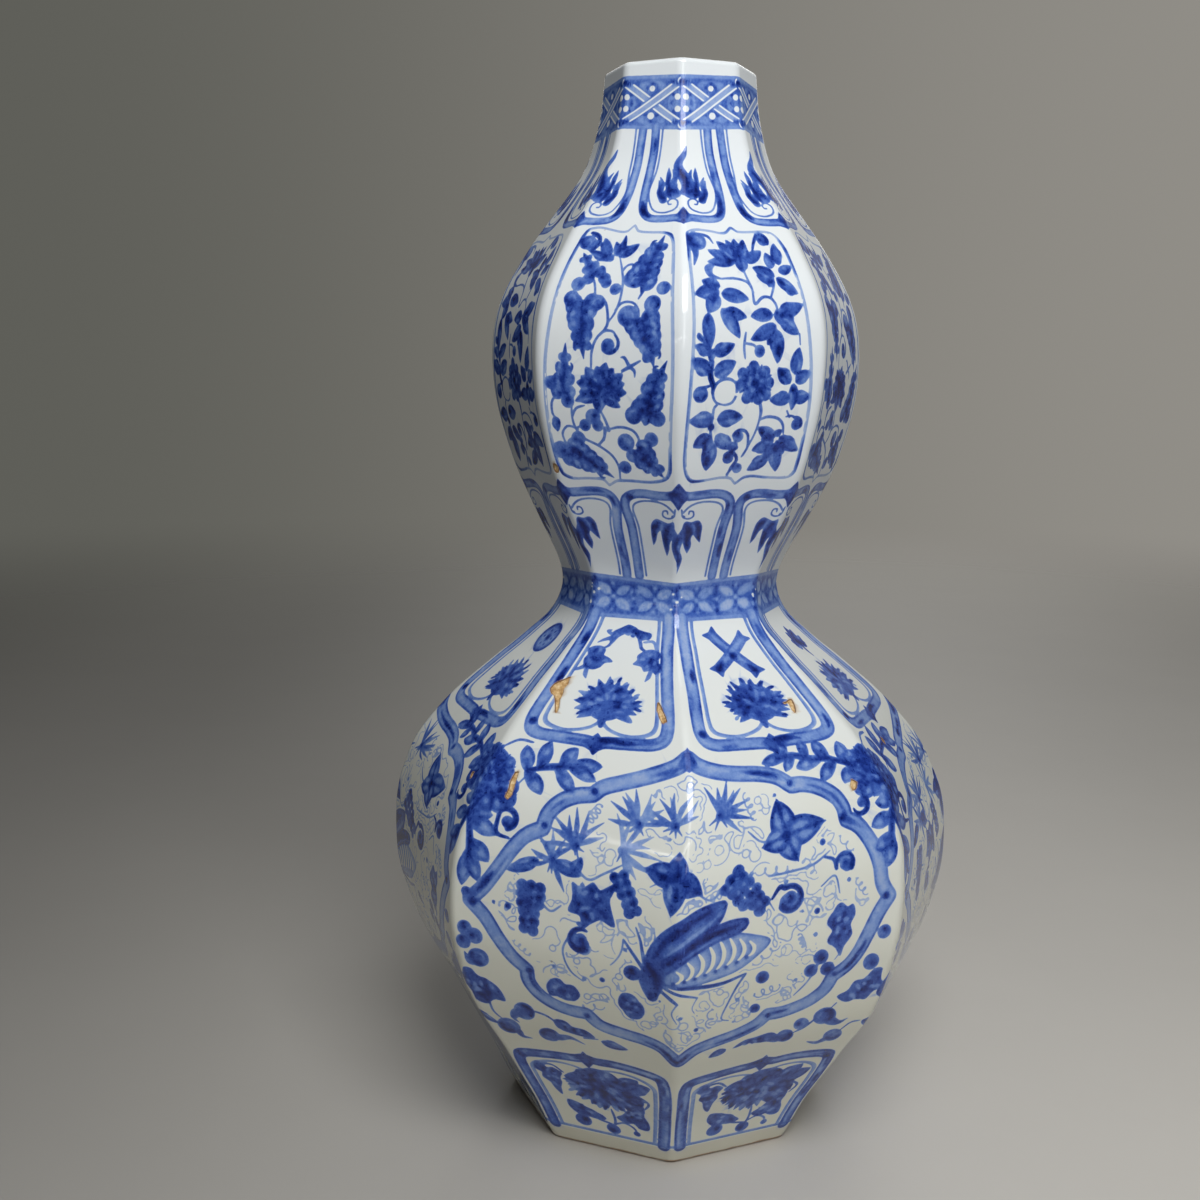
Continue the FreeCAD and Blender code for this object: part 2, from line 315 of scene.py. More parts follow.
# ------------------------------------------------------------------ brush motifs
MID, DARK, PALE = 0.58, 0.88, 0.30


def oval(P0, P1, w, n=16, pinch=0.72):
    """Outline of a leaf blade from P0 to a pointed tip at P1."""
    P0 = np.array(P0, float)
    P1 = np.array(P1, float)
    d = P1 - P0
    L = math.hypot(*d) + 1e-9
    t = d / L
    nn = np.array([-t[1], t[0]])
    u = np.linspace(0, 1, n)
    prof = np.sin(math.pi * u ** pinch) ** 0.8 * (1 - 0.25 * u)
    A = P0 + np.outer(u * L, t) + np.outer(prof * w / 2, nn)
    B = P0 + np.outer(u * L, t) - np.outer(prof * w / 2, nn)
    return np.vstack([A, B[-2:0:-1]]), A, B


def plump(P0, P1, w, n=18, k=0.52, q=0.72):
    """Outline of a full-bodied lobe: round at the base, broadest past the middle, drawn to a short point."""
    P0 = np.array(P0, float)
    P1 = np.array(P1, float)
    d = P1 - P0
    L = math.hypot(*d) + 1e-9
    t = d / L
    nn = np.array([-t[1], t[0]])
    u = np.linspace(0, 1, n)
    prof = np.where(u < k, np.sqrt(np.clip(1 - (1 - u / k) ** 2, 0, 1)), np.cos(np.clip((u - k) / (1 - k), 0, 1) * math.pi / 2) ** q)
    A = P0 + np.outer(u * L, t) + np.outer(prof * w / 2, nn)
    B = P0 + np.outer(u * L, t) - np.outer(prof * w / 2, nn)
    return np.vstack([A, B[-2:0:-1]]), A, B


def blade(p, x0, y0, x1, y1, w, tone=None, rim=True, rib=True, bend=0.0):
    """A painted leaf blade: a loaded wash, one heavier edge and ink pooled at the base or tip."""
    j = p.rng.uniform(-0.22, 0.22, 4)
    x0, y0, x1, y1 = x0 + j[0], y0 + j[1], x1 + j[2], y1 + j[3]
    tone = p.rng.uniform(0.52, 0.68) if tone is None else tone
    P, A, B = plump((x0, y0), (x1, y1), w * 1.08, k=0.42, q=0.92) if w > 2.2 else oval((x0, y0), (x1, y1), w * 1.1)
    if bend:
        d = np.array([x1 - x0, y1 - y0])
        nn = np.array([-d[1], d[0]])
        for Q in (P, A, B):
            u = np.clip(((Q - [x0, y0]) @ d) / (d @ d), 0, 1)
            Q += np.outer(np.sin(u * math.pi) * bend, nn)
    p.fill(P, tone)
    d = np.array([x1 - x0, y1 - y0])
    ang = math.degrees(math.atan2(d[1], d[0]))
    L = math.hypot(*d)
    side = 1 if p.rng.random() < 0.5 else -1
    nn = np.array([-d[1], d[0]]) / (L + 1e-9)
    if tone > 0.5 and w > 2.0 and p.rng.random() < 0.7:
        q0 = np.array([x0, y0]) + d * p.rng.uniform(0.2, 0.4) - nn * side * w * 0.2
        f = p.rng.uniform(0.25, 0.42)
        p.line([q0, q0 + d * f * 0.5, q0 + d * f], w=[w * 0.12, w * 0.30, w * 0.12], tone=0.36, mode="over", smooth=False)
    if rim and tone > 0.5:
        E, F = (A, B) if side > 0 else (B, A)
        p.line(E[2:-1], w=0.62, tone=0.84, taper=(0.3, 0.5), smooth=False)
        if p.rng.random() < 0.5:
            m = int(p.rng.integers(3, 9))
            p.line(F[m:m + 7], w=0.5, tone=0.80, taper=(0.3, 0.3), smooth=False)
    if rib and w > 2.2 and p.rng.random() < 0.6:
        q0 = np.array([x0, y0]) + d * 0.05
        q1 = np.array([x0, y0]) + d * p.rng.uniform(0.5, 0.8)
        p.line([q0, q1], w=0.6, tone=0.86, taper=(1, 0.2), smooth=False)
    if p.rng.random() < 0.5 and tone > 0.5:
        c = np.array([x0, y0]) + d * (p.rng.uniform(0.12, 0.34) if p.rng.random() < 0.6 else p.rng.uniform(0.6, 0.8)) + nn * side * w * 0.12
        p.disc(c[0], c[1], L * p.rng.uniform(0.12, 0.2), 0.88, ry=w * p.rng.uniform(0.16, 0.26), ang=ang, n=14)


def blades(p, rows, **kw):
    for r in rows:
        blade(p, *r, **kw)


def slim(p, rows):
    """A spray of slimmer blades with short ones set between neighbours that start close together."""
    more = []
    for i, a in enumerate(rows):
        for b in rows[i + 1:]:
            if math.hypot(a[0] - b[0], a[1] - b[1]) > 2.2 or min(a[4], b[4]) < 3.3:
                continue
            la, lb = math.hypot(a[2] - a[0], a[3] - a[1]), math.hypot(b[2] - b[0], b[3] - b[1])
            u, v = math.atan2(a[3] - a[1], a[2] - a[0]), math.atan2(b[3] - b[1], b[2] - b[0])
            gap = (v - u + math.pi) % (2 * math.pi) - math.pi
            if 0.8 < abs(gap) < 1.7:
                m = u + gap / 2
                x, y = (a[0] + b[0]) / 2, (a[1] + b[1]) / 2
                L = 0.30 * (la + lb)
                if not any(abs((math.atan2(r[3] - y, r[2] - x) - m + math.pi) % (2 * math.pi) - math.pi) < 0.38
                           and math.hypot(r[0] - x, r[1] - y) < 3.5 for r in rows):
                    more.append((x, y, x + L * math.cos(m), y + L * math.sin(m), 2.3))
    blades(p, [(r[0], r[1], r[2], r[3], r[4] * (0.84 if r[4] > 3.2 else 0.92)) for r in rows] + more)


def knob(p, x, y, r, gap=None, tone=None):
    """Round curled lobe: wash, ink gathered to one side, an optional reserved crescent."""
    tone = p.rng.uniform(0.48, 0.62) if tone is None else tone
    x += p.wob(0.12)
    y += p.wob(0.12)
    p.disc(x, y, r * p.rng.uniform(0.98, 1.08), tone, ry=r * p.rng.uniform(0.96, 1.08))
    b = p.rng.uniform(0, 6.28)
    q = r * p.rng.uniform(0.25, 0.45)
    if gap is None:
        p.disc(x + q * math.cos(b), y + q * math.sin(b), r * p.rng.uniform(0.34, 0.5), 0.84, ry=r * p.rng.uniform(0.3, 0.44),
               ang=math.degrees(b), n=14)
    else:
        a0 = gap + 100
        a = np.radians(np.linspace(a0, a0 + 160, 12))
        p.line(np.stack([x + r * 0.66 * np.cos(a), y + r * 0.66 * np.sin(a)], -1), w=[0.2] + [r * 0.42] * 10 + [0.2], tone=0.82,
               smooth=False)
        a = np.radians(np.linspace(gap - 80, gap + 80, 12))
        p.line(np.stack([x + r * 0.5 * np.cos(a), y + r * 0.5 * np.sin(a)], -1), w=[0.1] + [0.5] * 10 + [0.1],
               tone=0.36, mode="over", smooth=False)


def curlicue(p, x, y, r, a0, sweep, w=0.8, tail=None, tone=0.80, ball=0.62, btone=None):
    """A hooked tendril: an arc round (x, y) ending in a filled ball. a0 is where the arc begins, in degrees."""
    a = np.radians(np.linspace(a0, a0 + sweep, 16))
    rr = np.linspace(r, r * 0.86, 16)
    P = np.stack([x + rr * np.cos(a), y + rr * np.sin(a)], -1)
    if tail is not None:
        P = np.vstack([np.array(tail, float), P])
    n = len(P)
    p.line(P, w=np.linspace(w * 0.8, w * 1.25, n), tone=tone, taper=(0.5, 1), step=0.5)
    e = a[-1]
    bx, by = x + r * (1 - ball) * 0.9 * math.cos(e), y + r * (1 - ball) * 0.9 * math.sin(e)
    knob(p, bx, by, r * ball, tone=btone)


def spine_leaf(p, base, tip, w, curls=(), lobes=4, bend=0.0, tone=None):
    """Pointed leaf built of round lobes that shrink towards the tip, ink pooled along its middle, curled lobes at its base."""
    B = np.array(base, float)
    T = np.array(tip, float)
    d = T - B
    L = math.hypot(*d)
    t = d / L
    nn = np.array([-t[1], t[0]])
    tone = p.rng.uniform(0.48, 0.60) if tone is None else tone

    def at(u, s):
        return B + t * L * u + nn * (s + bend * math.sin(u * math.pi) * L)
    core = [at(u, w * 0.36 * (1 - u) ** 0.7) for u in np.linspace(0, 1, 9)] + \
           [at(u, -w * 0.36 * (1 - u) ** 0.7) for u in np.linspace(1, 0, 9)]
    p.fill(core, tone + 0.04)
    for i in range(lobes):
        u = 0.06 + 0.70 * i / max(1, lobes - 1)
        for s in (1, -1):
            r = w * 0.29 * (1 - 0.60 * u) * p.rng.uniform(0.88, 1.12)
            c = at(u + p.wob(0.03), s * w * 0.30 * (1 - 0.72 * u))
            p.disc(c[0], c[1], r, tone + p.rng.uniform(-0.08, 0.08))
    for i in range(lobes):
        u = 0.06 + 0.70 * i / max(1, lobes - 1)
        for s in (1, -1):
            c = at(u + p.wob(0.03), s * w * 0.17 * (1 - 0.72 * u))
            r = w * 0.29 * (1 - 0.60 * u)
            if p.rng.random() < 0.75:
                p.disc(c[0], c[1], r * p.rng.uniform(0.36, 0.6), 0.84, ry=r * p.rng.uniform(0.3, 0.5), ang=p.rng.uniform(0, 180), n=14)
            if p.rng.random() < 0.45:
                e = at(u + p.wob(0.02), s * w * 0.36 * (1 - 0.72 * u))
                p.disc(e[0], e[1], r * 0.42, 0.36, ry=r * 0.3, ang=math.degrees(math.atan2(t[1], t[0])) + s * 50, mode="over", n=12)
            if p.rng.random() < 0.6:
                e = at(u + 0.04, s * w * 0.30 * (1 - 0.72 * u))
                a0 = math.degrees(math.atan2(nn[1] * s, nn[0] * s))
                a = np.radians(np.linspace(a0 - 80, a0 + 60, 10))
                p.line(np.stack([e[0] + r * 0.9 * np.cos(a), e[1] + r * 0.9 * np.sin(a)], -1), w=0.55, tone=0.84, taper=(0.3, 0.3), smooth=False)
    q = [at(u, p.wob(w * 0.04)) for u in np.linspace(0.02, 0.74, 5)]
    p.line(q, w=[w * 0.07, w * 0.13, w * 0.11, w * 0.10, 0.3], tone=0.86)
    p.line([at(0.62, 0), at(0.85, 0), at(1.0, 0)], w=[w * 0.26, w * 0.17, 0.25], tone=tone + 0.06)
    p.line([at(0.78, 0), at(0.90, 0), at(1.02, 0)], w=[0.3, 0.9, 0.2], tone=0.84)
    for c in curls:
        knob(p, c[0], c[1], c[2], gap=(c[3] if len(c) > 3 else None), tone=tone)


def stems(p, rows, w=0.5, tone=0.62):
    for r in rows:
        p.line(r, w=w * p.rng.uniform(0.85, 1.2), tone=tone, taper=(0.7, 0.5))


def peony(p, x, y, R, n=8):
    """Full round flower: loose notched petals about a dark heart."""
    off = p.rng.uniform(0, 6.28)
    p.disc(x, y, R * 0.62, 0.60)
    for k in range(n):
        a = off + 2 * math.pi * k / n + p.wob(0.16)
        g = p.rng.uniform(0.56, 0.76)
        u = p.rng.uniform(0.85, 1.15)
        cx, cy = x + R * g * math.cos(a), y + R * g * math.sin(a)
        p.disc(cx, cy, R * 0.34 * u, p.rng.uniform(0.48, 0.66), ry=R * 0.29, ang=math.degrees(a))
        for s in (-1, 1):
            if p.rng.random() < 0.6:
                e = a + s * 0.28
                p.disc(x + R * (g + 0.06) * math.cos(e), y + R * (g + 0.06) * math.sin(e), R * 0.12, 0.38, ry=R * 0.05, ang=math.degrees(a), mode="over", n=12)
        p.line([(x + R * 0.3 * math.cos(a), y + R * 0.3 * math.sin(a)), (cx, cy)], w=[0.9, 0.4], tone=0.86, smooth=False)
        b = np.linspace(a - 1.0, a + 0.8, 10)
        p.line(np.stack([cx + R * 0.28 * np.cos(b), cy + R * 0.28 * np.sin(b)], -1), w=0.5, tone=0.82, taper=(0.4, 0.4), smooth=False)
        a2 = a + math.pi / n
        p.line([(x + R * 1.02 * math.cos(a2), y + R * 1.02 * math.sin(a2)), (x + R * 0.84 * math.cos(a2), y + R * 0.84 * math.sin(a2))],
               w=[0.8, 0.2], tone=0.0, mode="over", smooth=False)
        p.line([(x + R * 0.84 * math.cos(a2), y + R * 0.84 * math.sin(a2)), (x + R * 0.45 * math.cos(a2), y + R * 0.45 * math.sin(a2))],
               w=[0.3, 0.9], tone=0.84, smooth=False)
    for k in range(6):
        a = off + 0.35 + 2 * math.pi * k / 6 + p.wob(0.2)
        cx, cy = x + R * 0.30 * math.cos(a), y + R * 0.30 * math.sin(a)
        p.disc(cx, cy, R * 0.16, 0.42, ry=R * 0.1, ang=math.degrees(a) + p.wob(30), mode="over", n=14)
    p.disc(x, y, R * 0.22, 0.90)
    p.disc(x + R * 0.2, y - R * 0.3, R * 0.16, 0.88)


def petal(p, c, tip, w, tone=0.62, light=False, core=True, sharp=False):
    """Plump pointed lobe with ink pooled down its middle and along one edge, thinner wash beside the vein."""
    c, q = np.array(c, float), np.array(tip, float)
    d = q - c
    L = math.hypot(*d)
    ang = math.degrees(math.atan2(d[1], d[0]))
    nn = np.array([-d[1], d[0]]) / (L + 1e-9)
    P, A, B = plump(c - d * 0.14, q, w * 1.06, k=0.40, q=1.1) if sharp else plump(c - d * 0.14, q, w * 1.06)
    p.fill(P, tone)
    side = 1 if p.rng.random() < 0.5 else -1
    E, F = (A, B) if side > 0 else (B, A)
    if light:
        for s in (1, -1):
            z = c + d * 0.22 + nn * s * w * 0.2
            f = p.rng.uniform(0.3, 0.44)
            p.line([z, z + d * f * 0.5, z + d * f], w=[w * 0.1, w * 0.30, w * 0.1], tone=0.32, mode="over", smooth=False)
        p.line([c, c + d * 0.78], w=[0.8, 0.3], tone=0.82, smooth=False)
    else:
        if p.rng.random() < 0.75:
            z = c + d * p.rng.uniform(0.16, 0.36) - nn * side * w * 0.2
            f = p.rng.uniform(0.25, 0.4)
            p.line([z, z + d * f * 0.5, z + d * f], w=[w * 0.1, w * 0.28, w * 0.1], tone=0.36, mode="over", smooth=False)
        if core:
            z = c + d * p.rng.uniform(0.2, 0.5) + nn * side * w * 0.12
            p.disc(z[0], z[1], L * p.rng.uniform(0.16, 0.26), 0.86, ry=w * p.rng.uniform(0.12, 0.2), ang=ang + p.wob(14), n=16)
            p.line([c, c + d * p.rng.uniform(0.5, 0.8)], w=[0.7, 0.3], tone=0.84, smooth=False)
    p.line(E[3:-1], w=0.62, tone=0.84, taper=(0.3, 0.6), smooth=False)
    if p.rng.random() < 0.5:
        p.line(F[6:-2], w=0.5, tone=0.78, taper=(0.3, 0.5), smooth=False)
    if p.rng.random() < 0.6:
        p.line([c + d * 0.72, q], w=[w * 0.2, 0.25], tone=0.86, smooth=False)


def foliage(p, c, tips, tone=0.62, light=False, heart=True, sharp=False):
    """Spray of plump lobes from one point."""
    for (x, y, w) in tips:
        petal(p, c, (x, y), w, tone=tone + p.wob(0.05), light=light, sharp=sharp)
    if heart:
        p.disc(c[0], c[1], 1.25, 0.84)


def lobed(p, vein, tips, tone=0.56):
    """One divided leaf: a narrow middle with a pointed lobe swept out to each tip and bare notches between them."""
    V = curve(vein)
    p.line(vein, w=[1.2, 2.2, 1.4], tone=tone + 0.04)
    for (x, y, w) in tips:
        j = int(np.argmin(np.hypot(V[:, 0] - x, V[:, 1] - y)))
        j = max(0, j - int(len(V) * 0.30))
        q = np.array([x, y])
        d = q - V[j]
        w = w * 0.86
        P, A, B = plump(V[j] - d * 0.06, q, w, k=0.56, q=0.95)
        p.fill(P, tone + p.wob(0.06))
        E = A if p.rng.random() < 0.5 else B
        p.line(E[5:-1], w=0.6, tone=0.82, taper=(0.3, 0.5), smooth=False)
        z = V[j] + d * 0.40
        p.line([z, z + d * 0.18, z + d * 0.36], w=[w * 0.1, w * 0.34, w * 0.1], tone=0.34, mode="over", smooth=False)
        p.line([V[j], V[j] + d * 0.5], w=[0.8, 0.3], tone=0.86, smooth=False)
    p.line(vein, w=[0.8, 0.8, 0.4], tone=0.86)


def mass(p, P, tone=0.64, cores=6, r=1.0, rim=True):
    """Solid painted silhouette, ink heaped in soft pools inside it."""
    Q = curve(np.vstack([P, P[:1]]), closed=True, step=0.5)
    p.fill(Q, tone)
    if rim:
        n = len(Q)
        for _ in range(max(2, n // 40)):
            i = int(p.rng.integers(0, n - 8))
            p.line(Q[i:i + int(p.rng.integers(8, 24))], w=0.62, tone=0.84, taper=(0.4, 0.4), smooth=False)
    lo, hi = Q.min(0), Q.max(0)
    c = Q.mean(0)
    for _ in range(cores):
        k = int(p.rng.integers(0, len(Q)))
        z = c + (Q[k] - c) * p.rng.uniform(0.1, 0.66)
        p.disc(z[0], z[1], r * p.rng.uniform(0.7, 1.5), 0.84, ry=r * p.rng.uniform(0.4, 0.8), ang=p.rng.uniform(0, 180), n=14)
    for _ in range(cores - cores // 3):
        k = int(p.rng.integers(0, len(Q)))
        z = c + (Q[k] - c) * p.rng.uniform(0.3, 0.7)
        p.disc(z[0], z[1], r * p.rng.uniform(0.6, 1.1), 0.36, ry=r * 0.5, ang=p.rng.uniform(0, 180), mode="over", n=14)


def blossom(p, x, y, R, n=9, tone=0.62):
    """Heavy round flower painted as a heap of lobes."""
    off = p.rng.uniform(0, 6.28)
    for k in range(n):
        a = off + 2 * math.pi * k / n
        r = R * p.rng.uniform(0.30, 0.38)
        cx, cy = x + R * 0.68 * math.cos(a), y + R * 0.68 * math.sin(a)
        p.disc(cx, cy, r, tone + p.wob(0.05))
    p.disc(x, y, R * 0.62, tone)
    for k in range(n):
        a = off + 2 * math.pi * (k + 0.5) / n
        p.line([(x + R * 0.95 * math.cos(a), y + R * 0.95 * math.sin(a)), (x + R * 0.42 * math.cos(a), y + R * 0.42 * math.sin(a))],
               w=[0.3, 0.8], tone=0.84, smooth=False)
        a += 0.35
        p.disc(x + R * 0.66 * math.cos(a), y + R * 0.66 * math.sin(a), R * 0.13, 0.40 if k % 3 else 0.84, ry=R * 0.09, ang=math.degrees(a), mode="over", n=12)
    for k in range(5):
        a = off + k * 1.2566
        p.disc(x + R * 0.28 * math.cos(a), y + R * 0.28 * math.sin(a), R * 0.15, 0.84, ry=R * 0.1, ang=math.degrees(a) + 90, n=12)


def spiky(p, x, y, R, n=13, a0=-40, a1=220, ry=0.9, stalk=True, tone=0.62):
    """Chrysanthemum seen from the side: a solid head with a fringe of pointed petals."""
    for rad, m, wd in ((1.0, n, 0.36), (0.80, n - 1, 0.40)):
        for i in range(m):
            a = math.radians(a0 + (a1 - a0) * (i + (0.5 if rad < 1 else 0)) / (m - (0 if rad < 1 else 1)))
            rr = R * rad * p.rng.uniform(0.92, 1.08)
            tx, ty = x + rr * math.cos(a), y + rr * math.sin(a) * ry
            P, A, B = oval((x + R * 0.1 * math.cos(a), y + R * 0.1 * math.sin(a)), (tx, ty), R * wd, n=12, pinch=0.72)
            p.fill(P, tone + p.wob(0.05))
    p.disc(x, y, R * 0.62, tone, ry=R * 0.6 * ry)
    for rad, m in ((0.86, n), (0.55, n - 3), (0.3, 6)):
        for i in range(m):
            a = math.radians(a0 + (a1 - a0) * (i + 0.5) / m + p.wob(5))
            q = R * rad * p.rng.uniform(0.9, 1.1)
            k = p.rng.random()
            p.disc(x + q * math.cos(a), y + q * math.sin(a) * ry, R * p.rng.uniform(0.10, 0.16), 0.84 if k < 0.62 else 0.42,
                   ry=R * 0.055, ang=math.degrees(a) + p.wob(25), mode="max" if k < 0.62 else "over", n=12)
    if stalk:
        p.line([(x, y - R * 0.2), (x, y - R * 0.62)], w=[R * 0.34, R * 0.16], tone=tone + 0.04, smooth=False)


def wide_band(p, P, w, closed=False, tone=0.30, edge=0.60, ew=0.55, patches=8, corners=(), raw=False):
    """Broad outline: soft heavier edges about a thin wash, with lengths of pooled ink along it."""
    Q = np.array(P, float) if raw else curve(np.vstack([P, P[:1]]) if closed else P, closed=closed)
    p.line(Q, w=w, tone=edge, smooth=False)
    p.line(Q, w=w - 2 * ew, tone=tone, mode="over", smooth=False)
    n = len(Q)
    d = np.gradient(Q, axis=0)
    nn = np.stack([-d[:, 1], d[:, 0]], -1) / (np.hypot(d[:, 0], d[:, 1])[:, None] + 1e-9)
    # uneven wash
    for i in range(0, n - 6, 16):
        m = int(p.rng.integers(14, 34))
        seg, sn = Q[i:i + m], nn[i:i + m]
        if len(seg) < 3:
            continue
        ww = np.sin(np.linspace(0.3, math.pi - 0.3, len(seg))) * w * p.rng.uniform(0.25, 0.5)
        p.line(seg + sn * p.wob(w * 0.22), w=ww, tone=p.rng.choice([0.20, 0.26, 0.34, 0.40]), mode="over", smooth=False)
    # heavier edges here and there
    for s in (1, -1):
        i = int(p.rng.integers(0, 12))
        while i < n - 6:
            m = int(p.rng.integers(10, 42))
            seg, sn = Q[i:i + m], nn[i:i + m]
            if len(seg) > 3:
                p.line(seg + sn * s * (w * 0.5 - 0.24), w=0.44, tone=0.80, taper=(0.3, 0.3), smooth=False)
            i += m + int(p.rng.integers(4, 26))
    for _ in range(patches):
        i = int(p.rng.integers(0, n - 6))
        m = int(p.rng.integers(6, max(7, n // 12)))
        seg, sn = Q[i:i + m], nn[i:i + m]
        if len(seg) < 3:
            continue
        ww = np.sin(np.linspace(0.2, math.pi - 0.2, len(seg))) * w * p.rng.uniform(0.2, 0.5)
        p.line(seg + sn * p.wob(w * 0.2), w=ww, tone=0.82 if p.rng.random() < 0.35 else 0.60, mode="over", smooth=False)
    for (x, y, r) in corners:
        p.disc(x, y, r, 0.82, mode="over", n=16)

# ------------------------------------------------------------------ painted bands, bottom to top
FL_FRAME = [(-12.3, 293.5), (-11, 295.7), (-8, 296.2), (-4.5, 295.3), (-1.5, 294.5), (0.6, 294.7), (2.1, 296.5),
            (3.3, 294.7), (6, 294.1), (11, 293.8), (13, 293), (14.2, 291), (15.3, 286), (16.6, 278), (17.9, 268),
            (18.5, 259), (18.4, 250), (17.6, 241), (16.7, 233), (16, 228), (14.3, 225.7), (10, 224.8), (4, 225),
            (0, 224.8), (-2.4, 223.4), (-3.7, 225), (-8, 225.3), (-13, 225.1), (-15.8, 226.4), (-17.2, 230),
            (-18.2, 237), (-18.7, 247), (-18.6, 257), (-17.8, 266), (-16.4, 277), (-14.6, 286)]
FR_FRAME = [(-15.8, 291.5), (-15.5, 293.6), (-13, 294.7), (-9, 294.5), (-5.5, 293.9), (-3.8, 294.4), (-2.2, 295.9),
            (-0.6, 294.7), (3, 294.8), (7, 295.2), (10, 294.6), (11.6, 292.6), (12.8, 289.5), (14.3, 282),
            (15.6, 273), (16.6, 264), (17.4, 255), (17.6, 246), (17.2, 238), (16.6, 231), (16, 227.4), (13.6, 226),
            (8, 226.1), (3, 226.6), (0.3, 226), (-1.5, 224.4), (-2.9, 225.9), (-6, 226.3), (-11, 225.5),
            (-14.6, 225.4), (-16.4, 227), (-17.6, 231), (-18.1, 238), (-18.3, 246), (-18.2, 256), (-17.9, 266),
            (-17.5, 276), (-16.8, 285)]


def thin_frame(p, P, corners):
    p.line(P, w=0.60, tone=0.27, closed=True)
    c = np.mean(P, 0)
    p.line([(c[0] + (x - c[0]) * 0.965, c[1] + (y - c[1]) * 0.988) for x, y in P], w=0.36, tone=0.18, closed=True)
    n = len(P)
    for i in corners:
        q = [P[(i + k) % n] for k in (-1, 0, 1)]
        p.line(q, w=[0.3, 0.8, 0.3], tone=0.84)
    for _ in range(4):
        i = int(p.rng.integers(0, n))
        q = [P[(i + k) % n] for k in (0, 1, 2, 3)]
        p.line(q, w=0.5, tone=0.64, taper=(0.4, 0.4))


